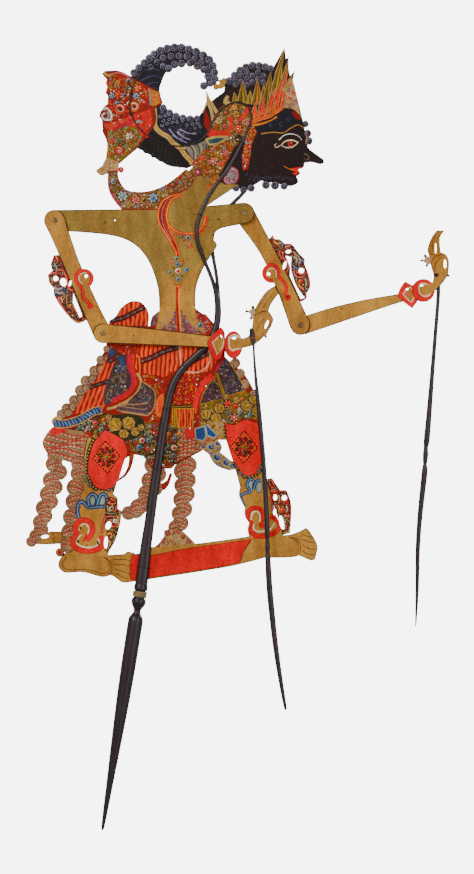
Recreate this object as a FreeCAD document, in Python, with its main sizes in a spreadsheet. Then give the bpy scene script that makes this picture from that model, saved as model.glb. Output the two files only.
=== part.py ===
"""Flat rod puppet: a perforated rawhide figure held in a split horn rod, with two jointed hide arms
and two horn arm rods.

Frame: millimetres, +Z up, +X to the right as the figure is seen from its front, front towards -Y.
The sheet of the body lies in the XZ plane. The origin is the middle of the handle's grip.
"""
import FreeCAD, Part
import math
import os
from FreeCAD import Matrix, Placement, Rotation, Vector

doc = FreeCAD.newDocument("rod_puppet")

# ---------------------------------------------------------------------------- driving dimensions
SIZES = {
    "hide_thickness": 1.5,
    "arm_hide_thickness": 1.2,
    "shoulder_radius": 10.5,
    "elbow_radius": 9.9,
    "pin_hole_radius": 1.56,
    "pin_shaft_radius": 1.5,
    "pin_head_radius": 3.0,
    "pin_head_height": 1.0,
    "washer_radius": 4.0,
    "washer_bore_radius": 1.45,
    "washer_height": 0.9,
    "spacer_bore_radius": 1.58,
    "spacer_height": 1.6,
    "grip_radius": 7.5,
    "grip_length": 30.0,
    "rod_lean": 9.0,
    "neck_radius": 3.4,
    "split_start": 50.0,
    "slit_width": 1.5,
    "binding_thread_radius": 0.85,
    "binding_major_radius": 6.47,
    "stitch_thickness": 0.5,
    "stitch_width": 1.2,
    "stitch_gap": 0.05,
    "stitch_hole_radius": 0.75,
    "tie_hole_radius": 0.68,
    "tie_thread_radius": 0.6,
    "knot_radius": 1.5,
    "knot_height": 0.4,
    "paddle_thickness": 1.6,
    "arm_rod_slope": 0.021,
}

sheet = doc.addObject("Spreadsheet::Sheet", "Sizes")
for row, (alias, value) in enumerate(SIZES.items(), start=1):
    sheet.set(f"A{row}", alias)
    sheet.set(f"B{row}", str(value))
    sheet.setAlias(f"B{row}", alias)
doc.recompute()


def size(alias):
    """A driving dimension read back from the sheet."""
    return float(getattr(sheet, alias))


# Pivots in the XZ plane.
LEFT_SHOULDER = (-78.4, 416.5)
LEFT_ELBOW = (-29.7, 303.5)
LEFT_TIE = (119.6, 298.8)
RIGHT_SHOULDER = (111.1, 423.8)
RIGHT_ELBOW = (167.3, 312.0)
RIGHT_TIE = (303.5, 362.0)

# Where the middle of each arm sheet lies in Y at its two ends. The left arm hangs in front.
LEFT_UPPER_Y = (-1.75, -4.25)
LEFT_FOREARM_Y = -5.8
RIGHT_UPPER_Y = (3.2, 5.0)
RIGHT_FOREARM_Y = 6.5
LEFT_ROD_Y = -7.35
RIGHT_ROD_Y = 8.05


# ---------------------------------------------------------------------------- flat outline helpers
def point(x, z):
    return Vector(x, 0, z)


def flat_face(wire):
    """Face in the plane Y = 0 that looks towards +Y, whichever way round its wire was drawn."""
    face = Part.Face(Part.Plane(Vector(0, 0, 0), Vector(0, 1, 0)), wire)
    face.validate()
    return face


def outline(start, *strokes):
    """A closed face. Each stroke runs on from the last point: one point is a straight line, more
    are a smooth curve through them. A straight line closes the outline."""
    edges = []
    last = point(*start)
    for stroke in strokes:
        if len(stroke) == 1:
            target = point(*stroke[0])
            edges.append(Part.makeLine(last, target))
        else:
            through = [last] + [point(*place) for place in stroke]
            curve = Part.BSplineCurve()
            curve.interpolate(through)
            edges.append(curve.toShape())
            target = through[-1]
        last = target
    if last.distanceToPoint(point(*start)) > 0.01:
        edges.append(Part.makeLine(last, point(*start)))
    return flat_face(Part.Wire(edges))


def polygon(*places):
    """A closed face with straight sides."""
    corners = [point(*place) for place in places]
    return flat_face(Part.makePolygon(corners + corners[:1]))


def disc(x, z, radius):
    return flat_face(Part.Wire(Part.makeCircle(radius, point(x, z), Vector(0, 1, 0))))


def oval(x, z, half_width, half_height, turn=0.0):
    """An upright ellipse, turned clockwise by so many degrees as seen from the front."""
    stretch = Matrix(half_width, 0, 0, 0, 0, 1, 0, 0, 0, 0, half_height, 0, 0, 0, 0, 1)
    circle = Part.Wire(Part.makeCircle(1, Vector(0, 0, 0), Vector(0, 1, 0)))
    ellipse = circle.transformGeometry(stretch)
    ellipse.rotate(Vector(0, 0, 0), Vector(0, 1, 0), turn)
    ellipse.translate(point(x, z))
    return flat_face(Part.Wire(ellipse.Edges))


def lobes(*places):
    """Discs for a row of curls, each given as x, z and radius."""
    return [disc(*place) for place in places]


def joined(faces, holes=()):
    """One flat face from overlapping ones, less its holes."""
    whole = faces[0].multiFuse(faces[1:]).removeSplitter()
    return whole.cut(list(holes)) if holes else whole


def sheet_of_hide(name, flat_shape, thickness_alias):
    """A plate of hide, centred on Y = 0, whose thickness is bound to the sheet of sizes."""
    flat = doc.addObject("Part::Feature", name + "_outline")
    flat.Shape = flat_shape
    plate = doc.addObject("Part::Extrusion", name + "_plate")
    plate.Base = flat
    plate.DirMode = "Custom"
    plate.Dir = Vector(0, 1, 0)
    plate.Symmetric = True
    plate.Solid = True
    plate.setExpression("LengthFwd", "Sizes." + thickness_alias)
    return plate


def pin_holes(name, plate, drillings):
    """Cut round holes through a plate. A drilling is its place and the alias of its radius."""
    drills = []
    for number, (place, radius_alias) in enumerate(drillings, start=1):
        drill = doc.addObject("Part::Cylinder", f"{name}_drill_{number}")
        drill.Height = 10
        drill.setExpression("Radius", "Sizes." + radius_alias)
        drill.Placement = Placement(Vector(place[0], -5, place[1]), Rotation(Vector(1, 0, 0), -90))
        drills.append(drill)
    tools = doc.addObject("Part::Compound", name + "_drills")
    tools.Links = drills
    cut = doc.addObject("Part::Cut", name)
    cut.Base = plate
    cut.Tool = tools
    cut.Label = name
    return cut


subparts = []


def keep(obj, label):
    """Name a finished sub-part and list it for writing."""
    obj.Label = label
    subparts.append(obj)
    return obj


# ---------------------------------------------------------------------------- split horn rod
# Stations along the rod: x, z, width across, depth of one half from the hide outwards.
SHARED_RUN = [
    (7.8, 49.4, 12.6, 4.9), (9.2, 60, 12.3, 4.8), (10.5, 70, 12.0, 4.5), (12.9, 90, 11.0, 3.9),
    (15.8, 110, 10.2, 3.6), (18.6, 130, 9.6, 3.4), (21.4, 150, 9.3, 3.3), (24.2, 168, 9.0, 3.3),
    (27.2, 188, 8.7, 3.3), (30.2, 208, 8.4, 3.2), (33.6, 228, 8.0, 3.2), (38.0, 247, 7.7, 3.2),
    (44.0, 260, 7.6, 3.2), (52.0, 270.5, 7.6, 3.2), (61.0, 279, 7.5, 3.2), (70.0, 287.5, 7.2, 3.2),
    (77.0, 296.5, 7.0, 3.1), (82.3, 307, 6.8, 3.1), (84.7, 319, 6.7, 3.0), (84.9, 331, 6.2, 3.0),
]
FRONT_PRONG = [
    (83.2, 343, 4.9, 2.8), (80.2, 354, 4.1, 2.6), (76.2, 365, 3.9, 2.4), (71.6, 376, 3.9, 2.3),
    (67.2, 387, 4.0, 2.1), (64.1, 398, 4.1, 2.0), (63.8, 410, 4.1, 1.9), (67.0, 422, 4.0, 1.8),
    (72.2, 434, 3.9, 1.7), (78.2, 445, 3.8, 1.6), (85.6, 455.5, 3.8, 1.5), (93.4, 465.5, 3.7, 1.4),
    (100.3, 477, 3.4, 1.3), (106.6, 489, 2.7, 1.2), (112.0, 500.5, 2.2, 1.2),
    (116.2, 511, 2.0, 1.1), (118.2, 520.5, 1.9, 1.1), (115.0, 530, 1.8, 1.1),
    (106.0, 534.6, 1.8, 1.1), (96.0, 532.6, 1.8, 1.1), (87.2, 526.5, 1.8, 1.1),
    (80.8, 517.5, 1.8, 1.1), (76.0, 506.5, 1.7, 1.1), (68.0, 497, 1.7, 1.1),
    (55.5, 491.6, 1.6, 1.1), (42.0, 490.8, 1.6, 1.0), (28.5, 494.2, 1.5, 1.0),
    (16.0, 500.5, 1.5, 1.0), (5.5, 509.5, 1.5, 1.0), (-1.0, 521.5, 1.5, 1.0),
    (-3.2, 535.5, 1.5, 1.0), (-1.0, 549.5, 1.4, 0.9), (6.5, 561.5, 1.3, 0.9),
    (17.0, 570, 1.2, 0.8), (29.0, 576, 1.0, 0.7),
]
BACK_PRONG = [
    (84.9, 343, 4.4, 2.8), (84.2, 355, 3.7, 2.6), (82.6, 367, 3.5, 2.4), (80.2, 380, 3.6, 2.2),
    (78.8, 393, 3.7, 2.0), (80.6, 406, 3.7, 1.9), (85.8, 417.5, 3.8, 1.7), (93.6, 427.5, 3.9, 1.5),
    (102.2, 436, 3.9, 1.4), (110.4, 444.5, 3.8, 1.4), (117.0, 455, 3.6, 1.3),
    (122.4, 467.5, 3.3, 1.2), (126.8, 481, 2.9, 1.1), (130.2, 494.5, 2.4, 1.0),
    (132.6, 507, 1.6, 0.8),
]
SCROLL = (105.6, 498.4, 3.9, 2.1)

# Thread stitches on the rod: the station they sit at, given as an index into each run.
ROD_STITCH_STATIONS = (2, 7, 10, 13)
FRONT_STITCH_STATIONS = (4, 7, 10, 15, 18, 20, 24, 29, 33)
BACK_STITCH_STATIONS = (3, 6, 11, 13)


def tangent(stations, index):
    """Direction of a run at one of its stations, in the XZ plane."""
    before = stations[max(index - 1, 0)]
    after = stations[min(index + 1, len(stations) - 1)]
    return Vector(after[0] - before[0], 0, after[1] - before[1]).normalize()


def section_frame(x, y, z, along, half_width, depth):
    """Matrix that carries a unit section in XY to a station: X across the rod, Y along row Y."""
    across = Vector(along.z, 0, -along.x)
    return Matrix(
        across.x * half_width, 0, along.x, x,
        0, depth, 0, y,
        across.z * half_width, 0, along.z, z,
        0, 0, 0, 1)


def half_section(side):
    """Unit half disc on the +Y side or the -Y side of a straight line."""
    bow = Part.Arc(Vector(-1, 0, 0), Vector(0, side, 0), Vector(1, 0, 0)).toShape()
    return Part.Wire([bow, Part.makeLine(Vector(1, 0, 0), Vector(-1, 0, 0))])


def half_rod(stations, side):
    """One half of the split rod: flat against the hide and round outside."""
    flat_y = side * size("slit_width") / 2
    wires = []
    for index, (x, z, width, depth) in enumerate(stations):
        frame = section_frame(x, flat_y, z, tangent(stations, index), width / 2, depth)
        wires.append(half_section(side).transformGeometry(frame))
    return Part.makeLoft(wires, True, False)


def handle_solid():
    """Spiked handle, turned about its own axis, then leaned."""
    grip = size("grip_radius")
    half_grip = size("grip_length") / 2
    neck = size("neck_radius")
    spike = Part.BSplineCurve()
    spike.interpolate([
        Vector(1.1, 0, -194.5), Vector(2.1, 0, -182), Vector(3.6, 0, -145),
        Vector(5.3, 0, -103), Vector(6.8, 0, -60), Vector(7.35, 0, -30), Vector(grip, 0, -half_grip)])
    shoulder = Part.BSplineCurve()
    shoulder.interpolate([
        Vector(grip, 0, half_grip), Vector(7.1, 0, 18.5), Vector(4.6, 0, 23),
        Vector(neck, 0, 26.5), Vector(5.0, 0, 30.2), Vector(7.2, 0, 35), Vector(6.9, 0, 38.6)])
    groove_radius = size("binding_major_radius") - size("binding_thread_radius") - 0.02
    edges = [
        Part.makeLine(Vector(0, 0, -195.5), Vector(1.1, 0, -194.5)),
        spike.toShape(),
        Part.makeLine(Vector(grip, 0, -half_grip), Vector(grip, 0, half_grip)),
        shoulder.toShape(),
        Part.makeLine(Vector(6.9, 0, 38.6), Vector(groove_radius, 0, 39.6)),
        Part.makeLine(Vector(groove_radius, 0, 39.6), Vector(groove_radius, 0, 47.4)),
        Part.makeLine(Vector(groove_radius, 0, 47.4), Vector(6.9, 0, 48.2)),
        Part.makeLine(Vector(6.9, 0, 48.2), Vector(6.6, 0, 53.2)),
        Part.makeLine(Vector(6.6, 0, 53.2), Vector(0, 0, 53.2)),
        Part.makeLine(Vector(0, 0, 53.2), Vector(0, 0, -195.5)),
    ]
    profile = Part.Face(Part.Wire(edges))
    solid = profile.revolve(Vector(0, 0, 0), Vector(0, 0, 1), 360)
    solid.rotate(Vector(0, 0, 0), Vector(0, 1, 0), size("rod_lean"))
    return solid


def scroll_solid():
    """Carved horn scroll beside the front prong at the ear."""
    x, z, outer, inner = SCROLL
    front = -size("slit_width") / 2
    ring = disc(x, z, outer).cut(disc(x, z, inner))
    ring.translate(Vector(0, front, 0))
    return ring.extrude(Vector(0, -1.1, 0))


front_half = half_rod(SHARED_RUN + FRONT_PRONG, -1)
back_half = half_rod(SHARED_RUN + BACK_PRONG, 1)
main_rod = doc.addObject("Part::Feature", "main_rod")
main_rod.Shape = handle_solid().multiFuse([front_half, back_half, scroll_solid()])
keep(main_rod, "main_rod")

wraps = []
for wrap_number in range(4):
    wrap = doc.addObject("Part::Torus", f"binding_wrap_{wrap_number + 1}")
    wrap.setExpression("Radius1", "Sizes.binding_major_radius")
    wrap.setExpression("Radius2", "Sizes.binding_thread_radius")
    height = 41.0 + 1.65 * wrap_number
    lean = math.radians(size("rod_lean"))
    centre = Vector(height * math.sin(lean), 0, height * math.cos(lean))
    wrap.Placement = Placement(centre, Rotation(Vector(0, 1, 0), size("rod_lean")))
    wraps.append(wrap)
rod_binding = doc.addObject("Part::MultiFuse", "rod_binding")
rod_binding.Shapes = wraps
keep(rod_binding, "rod_binding")


def stitch_spans(station, low_y, high_y):
    """Half width and Y span of a thread loop that goes round the rod between two Y levels."""
    gap = size("stitch_gap")
    return station[2] / 2 + gap + 0.25, low_y - gap, high_y + gap


def stitch_solid(stations, index, low_y, high_y):
    """A flat band of thread in a closed loop: outer block less inner block."""
    station = stations[index]
    half_inner, low, high = stitch_spans(station, low_y, high_y)
    thread = size("stitch_thickness")
    length = size("stitch_width")
    inner = Part.makeBox(2 * half_inner, high - low, 3 * length,
                         Vector(-half_inner, low, -1.5 * length))
    outer = Part.makeBox(2 * (half_inner + thread), high - low + 2 * thread, length,
                         Vector(-half_inner - thread, low - thread, -length / 2))
    loop = outer.cut(inner)
    along = tangent(stations, index)
    loop.rotate(Vector(0, 0, 0), Vector(0, 1, 0), math.degrees(math.atan2(along.x, along.z)))
    loop.translate(point(station[0], station[1]))
    return loop


def stitch_holes(stations, index):
    """The two holes in the hide that a stitch passes through."""
    station = stations[index]
    along = tangent(stations, index)
    reach = stitch_spans(station, 0, 0)[0] + size("stitch_thickness") / 2
    return [disc(station[0] + side * reach * along.z, station[1] - side * reach * along.x,
                 size("stitch_hole_radius")) for side in (-1, 1)]


half_hide = size("hide_thickness") / 2
shared_front = SHARED_RUN + FRONT_PRONG
shared_back = SHARED_RUN + BACK_PRONG
front_indexes = [len(SHARED_RUN) + index for index in FRONT_STITCH_STATIONS]
back_indexes = [len(SHARED_RUN) + index for index in BACK_STITCH_STATIONS]

STITCH_GROUPS = {
    "rod_stitches": [
        stitch_solid(SHARED_RUN, index, -half_hide - SHARED_RUN[index][3],
                     half_hide + SHARED_RUN[index][3]) for index in ROD_STITCH_STATIONS],
    "front_prong_stitches": [
        stitch_solid(shared_front, index, -half_hide - shared_front[index][3], half_hide)
        for index in front_indexes],
    "back_prong_stitches": [
        stitch_solid(shared_back, index, -half_hide, half_hide + shared_back[index][3])
        for index in back_indexes],
}
for group_name, loops in STITCH_GROUPS.items():
    group = doc.addObject("Part::Feature", group_name)
    group.Shape = Part.makeCompound(loops)
    keep(group, group_name)

thread_holes = []
for index in ROD_STITCH_STATIONS:
    thread_holes += stitch_holes(SHARED_RUN, index)
for index in front_indexes:
    thread_holes += stitch_holes(shared_front, index)
for index in back_indexes:
    thread_holes += stitch_holes(shared_back, index)


# ---------------------------------------------------------------------------- body of hide
def trunk():
    return [
        outline(
            (-78.4, 427), [(26, 428)], [(56, 466)], [(75, 490)], [(100, 480)], [(98, 447)],
            [(85, 438.5), (74, 431)], [(100, 433.4), (111.1, 434.3)], [(111.1, 413.3)],
            [(99, 411), (88, 408.5), (82, 404), (80.6, 397)], [(84, 392), (80.6, 385)],
            [(71.5, 371), (65, 356), (62.6, 344), (62.5, 328)], [(62, 300)], [(26, 300)],
            [(26.2, 328), (24.5, 351), (15, 377), (0, 393.5), (-20, 401.2), (-50, 404.6),
             (-78.4, 406)]),
        disc(*LEFT_SHOULDER, size("shoulder_radius")),
        disc(*RIGHT_SHOULDER, size("shoulder_radius")),
    ]


def headdress():
    mask = outline(
        (-31, 563), [(-28, 566)], [(-14, 566), (-3, 561)], [(27, 545)], [(28, 540), (30, 534)],
        [(22, 528)], [(22, 512), (5, 489)], [(-14, 473)], [(-15, 463)], [(-27, 463)],
        [(-32, 461.5), (-36.8, 466), (-31, 471)], [(-27, 479)], [(-26, 494), (-30.5, 505)],
        [(-31, 516), (-33.6, 521.5), (-30, 529), (-25.5, 533)], [(-25, 541)], [(-27.5, 544)],
        [(-26, 550)], [(-27.5, 554)], [(-26, 557)])
    ribbon = outline(
        (-25, 466), [(-25, 450), (-20, 438), (-11, 427)], [(40, 427)], [(62, 462)], [(53, 468)],
        [(37, 455), (22, 447.5), (7, 445), (-7, 447.5), (-14, 458), (-15, 466)])
    ring = outline(
        (-2, 560), [(11, 575), (24, 585), (41, 590), (57, 588.5), (68, 585), (78, 576),
                    (83, 564), (82, 552)],
        [(71, 549)], [(73, 560), (66, 571), (57, 573.5), (45, 572), (33, 564.5), (27, 550)],
        [(26, 543)], [(8, 540)])
    curls = lobes(
        (1, 564, 3.6), (6, 569, 3.6), (11.5, 574, 3.6), (16.5, 578.5, 3.8), (21.5, 582.5, 3.9),
        (27.5, 586, 4), (34.5, 588.2, 4), (41.5, 589.2, 4), (48.5, 589, 4), (55.5, 587.3, 4),
        (63, 585, 4), (70, 581.5, 4), (76, 577, 4), (79.5, 571, 4), (81, 564.5, 4),
        (81.5, 558, 3.9), (70.8, 551, 3.6), (75, 560.5, 3.6), (71, 567.5, 3.7), (64.5, 571, 3.8),
        (57, 574, 3.6), (48.5, 573.5, 3.7), (41.5, 572.5, 3.7), (35.5, 568.5, 3.7))
    nape = outline(
        (22, 532), [(30, 532.5)], [(37, 525.5), (47, 521), (58, 519.6), (66, 520.5)], [(70, 527)],
        [(73.5, 536)], [(72.6, 547.5)], [(78.5, 535.5)], [(92, 520)], [(80, 480)], [(54, 468.5)],
        [(47, 469.5)], [(37, 470.8), (28, 475.5), (16, 482.5), (5, 489)], [(10, 500)])
    fringe = lobes((47, 472, 3), (41, 473.5, 3), (34.5, 475, 3.2), (27.5, 478.5, 3.2),
                   (20.5, 482.4, 3.2), (13, 486.6, 3.2), (8, 490, 3))
    link = outline((80, 549), [(88, 548)], [(93, 551)], [(96, 556)], [(87, 557.4)], [(82, 555)])
    return [mask, ribbon, ring, nape, link, disc(-12, 467.2, 3)] + curls + fringe


def head():
    """Dark head in profile, in the stylised manner of flat puppets, with its crown and curls."""
    skull = outline(
        (78.5, 536), [(91, 545)], [(92, 553)], [(104, 563), (117, 571.5), (130, 571.5), (140, 569)],
        [(151.5, 589.5)], [(153, 578)], [(155.6, 579.5)], [(155.5, 568)], [(157, 561)],
        [(161.8, 566.5)], [(160, 557)], [(169.5, 518)], [(174, 497)],
        [(175, 489.5), (182, 483.5), (190.5, 477.5)], [(190.8, 474), (187, 472.6)],
        [(178, 474.8), (171.5, 474)], [(170.5, 469.8), (165, 467.2)], [(167.2, 463.4), (163.4, 460.6)],
        [(165, 454.5), (157.5, 450.8), (146, 453)], [(128, 456)], [(118, 450)], [(98, 447.5)],
        [(88, 455)], [(72, 500)])
    curls = lobes(
        (96.5, 556, 3.6), (101.5, 561.5, 3.6), (107, 566.5, 3.6), (113, 569.5, 3.7),
        (119.5, 571.3, 3.7), (126, 571, 3.7), (132.3, 570, 3.6), (137.5, 568.5, 3.2),
        (172.4, 513, 3), (174.5, 503.5, 3.4), (175.6, 496, 3.6),
        (103, 449, 3.4), (110.5, 447, 3.4), (118, 449, 3.6), (133, 452, 3.8), (142, 451.5, 3.9),
        (151, 450.8, 3.4))
    return [skull] + curls


def skirt():
    hump = outline(
        (14.5, 306), [(15.8, 323), (9, 334), (-2, 335.6), (-12, 329), (-17, 321), (-24, 316)],
        [(-24, 306)])
    cloth = outline(
        (17, 311), [(19, 320), (26, 326)], [(62, 329)], [(69, 323.5)], [(73, 322.5)], [(82, 312)],
        [(91, 292), (92, 280)], [(112, 262), (121, 246)], [(126.5, 240)],
        [(128.5, 215), (130.5, 180), (131, 160)], [(108, 160)], [(93, 197)], [(85, 197)],
        [(68, 185.5)], [(42, 172)], [(38.5, 168.2)], [(19, 168.2)], [(10.5, 180.5)],
        [(-1, 183)], [(-8, 178)], [(-14, 158)], [(-45, 158)], [(-61, 174)], [(-84, 181)],
        [(-90.5, 193), (-86, 204), (-79, 211)], [(-78, 220)], [(-66, 227)], [(-27, 288)],
        [(-25, 311)])
    side_curls = lobes(
        (-26.5, 288, 3.6), (-32, 277, 4.8), (-38.5, 266, 5.6), (-47, 256, 5.8), (-52.5, 246.5, 5.8),
        (-58.5, 236.5, 5.8), (-66, 228.5, 5.6), (-71.5, 222.8, 5), (-76, 215.3, 5.4),
        (102.3, 273.8, 5.2), (107, 263.4, 5.2), (111.5, 252.8, 5.4), (120.5, 243, 4.6))
    blue_ribbon = outline(
        (66, 190), [(76, 182.5)], [(80, 174.8), (86, 170), (96, 166.6)], [(104, 168)], [(102, 174)],
        [(96, 178), (87, 185)], [(89, 191), (84, 198)])
    return [hump, cloth, blue_ribbon] + side_curls


def tails():
    """Long ribbons that hang in curls from the skirt."""
    far_left = lobes(
        (-77, 182, 9), (-79, 173, 8.5), (-73.5, 165, 8), (-82, 157, 8.5), (-78, 150, 8),
        (-85, 143, 8.5), (-82.5, 135.5, 8), (-89, 129, 8.5), (-88, 121, 7.6), (-92.5, 115, 7.8),
        (-92, 107.5, 7.6), (-97, 101, 7), (-101.5, 95.5, 5.6))
    left = lobes(
        (-54, 171, 8), (-54.5, 162, 8), (-57, 149, 9), (-57, 134, 9), (-59, 119, 9),
        (-60, 105.5, 8))
    left_band = polygon((-54, 176), (-40, 176), (-40, 86), (-62, 90), (-64, 104), (-54, 140))
    link = outline((-90, 102), [(-83, 105.4), (-72, 105.4)], [(-64, 100)], [(-66, 94)],
                   [(-84, 92.6), (-100, 93)])
    centre = lobes(
        (20, 172, 9), (24.5, 163, 9), (17, 156.5, 9), (22, 149, 8), (13.5, 143.5, 9), (12, 134, 9),
        (5.5, 130, 8.6), (3, 126.5, 8), (-4.5, 124, 7.2))
    right = lobes(
        (55, 172, 9), (49.5, 166, 9), (54.5, 157, 8.6), (49.5, 151.5, 8.5), (53.5, 143, 8.6),
        (48.5, 137.5, 8.5), (51, 128, 8.5), (46.5, 123.5, 8.2), (47.5, 114, 8.2), (42.8, 109.5, 7.8))
    sickle = outline((30, 146), [(35.5, 151.5), (39.6, 163.6)], [(36.5, 163.8)],
                     [(33.5, 156.5), (28, 153.5)])
    return far_left + left + [left_band, link] + centre + right + [sickle]


def legs():
    left_leg = outline(
        (-46, 200), [(-10, 190)], [(-10, 176), (-15, 158), (-19.5, 143)], [(-15.3, 139)],
        [(-15, 128)], [(-11.5, 126.5)], [(-12.5, 115), (-17, 98), (-24, 85.5)], [(-26, 78)],
        [(-62, 82)], [(-63, 100)])
    left_foot = outline(
        (-66, 86), [(-73, 78), (-74.5, 71), (-68, 64.4), (-50, 64.8), (-31, 60), (-21, 61.5),
                    (-11, 54.6), (-2, 55)],
        [(2, 84)], [(-5, 85.7)], [(-9, 83)], [(-25, 82)])
    bar = outline(
        (-6, 83), [(7, 83.4)], [(18, 90)], [(65, 93.6), (118, 101)], [(128, 101)], [(128, 78.2)],
        [(100, 71.2), (60, 64.4), (14, 57.4)], [(-4, 54.8)])
    flower_panel = outline(
        (18, 88), [(25, 93), (31, 101)], [(31, 106.5)], [(44, 110)], [(52, 104)], [(58, 98)],
        [(65, 91)])
    right_leg = outline(
        (92, 205), [(94, 194), (101, 172), (107, 150)], [(106, 141), (111.8, 129)],
        [(111.8, 121), (116, 114)], [(114.5, 107), (119, 100)], [(148, 100)],
        [(149, 110), (143, 121)], [(139, 140)], [(134, 158)], [(131, 162)], [(128.5, 205)])
    right_foot = outline(
        (112, 98), [(158, 102.5)], [(168, 106.4), (173, 109.4)], [(178, 104), (184.5, 91),
                                                                (182, 78)],
        [(178, 76.5), (166, 81.5)], [(157, 79.6), (131, 79.2)], [(112, 74)])
    right_crest = outline(
        (133, 158), [(139, 159)], [(147, 147)], [(153.5, 147)], [(158.5, 131), (157, 104)],
        [(150, 102)], [(146, 116)], [(138, 140)])
    heel_knob = disc(-73, 84.6, 4.4)
    return [left_leg, left_foot, bar, flower_panel, right_leg, right_foot, right_crest, heel_knob]


def body_openings():
    """Openwork of the body: windows large enough to see through from a distance."""
    return [
        oval(-88, 100.4, 4.0, 1.7, -8),
        oval(-24.6, 111.6, 2.6, 4.2, 20),
        oval(-27, 94.6, 1.9, 6.2, 4),
        oval(142.2, 139.6, 1.9, 3.2),
        oval(151.3, 139.2, 2.6, 2.6),
        oval(141.7, 125, 1.5, 3.2, 4),
        oval(148.6, 114.5, 2.2, 7.2, -12),
        disc(85, 554, 1.5),
        disc(-18, 416.5, 1.2),
        disc(*SCROLL[:2], 1.2),
    ]


body_faces = trunk() + headdress() + head() + skirt() + tails() + legs()
body_plate = sheet_of_hide("body_hide", joined(body_faces, body_openings() + thread_holes),
                           "hide_thickness")
keep(pin_holes("body_hide", body_plate,
               [(LEFT_SHOULDER, "pin_hole_radius"), (RIGHT_SHOULDER, "pin_hole_radius")]),
     "body_hide")


# ---------------------------------------------------------------------------- arms of hide
def left_upper_arm_face():
    limb = outline(
        (-88.4, 413), [(-80, 396), (-68, 368), (-52.5, 331), (-39.3, 301)], [(-20.5, 306)],
        [(-33, 329), (-51, 369), (-59.5, 392), (-68.2, 419)])
    crest = outline(
        (-68, 372), [(-73, 382)], [(-79, 381.6)], [(-82, 372.5)], [(-80.4, 366)], [(-85, 362)],
        [(-83.5, 354), (-79, 348.5)], [(-78, 340), (-68, 325), (-56, 313.6), (-46, 317)],
        [(-50, 326)], [(-58, 346)])
    windows = [
        oval(-77, 358.2, 2.6, 2.6), oval(-69.4, 354.6, 3.2, 4.2, -15), oval(-62.6, 353.4, 1.2, 3.0, 15),
        outline((-59.4, 343.5), [(-52.6, 326.5)], [(-50.8, 321), (-53, 319.5)], [(-59.8, 334)]),
        disc(-46.6, 360.6, 1.7),
    ]
    return joined([
        limb, crest, disc(*LEFT_SHOULDER, size("shoulder_radius")),
        disc(*LEFT_ELBOW, size("elbow_radius")), disc(-48.6, 358.4, 9.7)], windows)


def left_forearm_face():
    limb = outline(
        (-30, 313.3), [(0, 310.2), (40, 305.8), (76, 301.2)], [(92, 301)], [(92, 289)],
        [(76, 289.3), (30, 291.3), (-30, 293.7)])
    cuff = outline((74, 294), [(80, 303), (88, 309.8)], [(92, 303), (91, 287)], [(87.5, 277.5)],
                   [(82, 276.2)], [(77, 284)])
    hand = outline(
        (100, 299), [(109, 298.4), (115.5, 301), (119.3, 311), (119.8, 319)],
        [(122.5, 329), (132, 344), (142, 351)], [(146, 343.5)], [(138.5, 333.5), (135.4, 325.6)],
        [(140, 318.5), (138.8, 312), (133, 301.8)], [(130.6, 300)],
        [(126, 295.6), (119, 291.2), (108, 288.4)], [(100, 288.6)])
    charm = polygon((122, 328), (119.4, 330), (117.5, 327), (113.6, 325.4), (117.4, 322.8),
                    (117.6, 318.4), (121.5, 319.5))
    charm_balls = lobes((119.8, 329.6, 1.7), (113.6, 325.4, 1.4), (118, 318.6, 1.6))
    windows = [oval(133.6, 312.4, 1.3, 4.6, 22), oval(87.4, 299.8, 1.7, 1.5), oval(101, 298.6, 2.2, 1.2)]
    return joined([
        limb, cuff, oval(100.4, 292, 9.4, 13.7), hand, charm, disc(132.6, 300.2, 1.4),
        disc(*LEFT_ELBOW, size("elbow_radius"))] + charm_balls, windows)


def right_upper_arm_face():
    limb = outline(
        (120.4, 428.5), [(138, 395), (155, 362), (170, 330), (177.2, 315)], [(157.3, 309)],
        [(152, 325), (142, 352), (127, 384), (103.6, 416.4)])
    crest = outline(
        (136, 398), [(139.8, 402.6)], [(142, 398.2)], [(147, 398)], [(152, 393.4)], [(158.5, 393.8)],
        [(166, 384)], [(172, 378)], [(171.6, 373.4)], [(176, 362), (177.4, 351), (173.5, 343.6)],
        [(173.6, 338.6), (167, 335)], [(155, 360)], [(140, 380)])
    windows = [
        outline((152.5, 381.4), [(158.5, 380)], [(158, 368), (162.6, 353), (169, 343)],
                [(171.4, 339.4), (167.6, 338.4)], [(157, 361)], [(157.4, 370)]),
        oval(155.4, 385.6, 2.8, 1.8, -12), oval(151.6, 371.8, 1.5, 4.4, 16),
        oval(168.4, 366.6, 2.8, 2.6), disc(135.6, 363.2, 1.8),
    ]
    return joined([
        limb, crest, disc(*RIGHT_SHOULDER, size("shoulder_radius")),
        disc(*RIGHT_ELBOW, size("elbow_radius")), disc(138.8, 364, 9.9)], windows)


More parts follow.
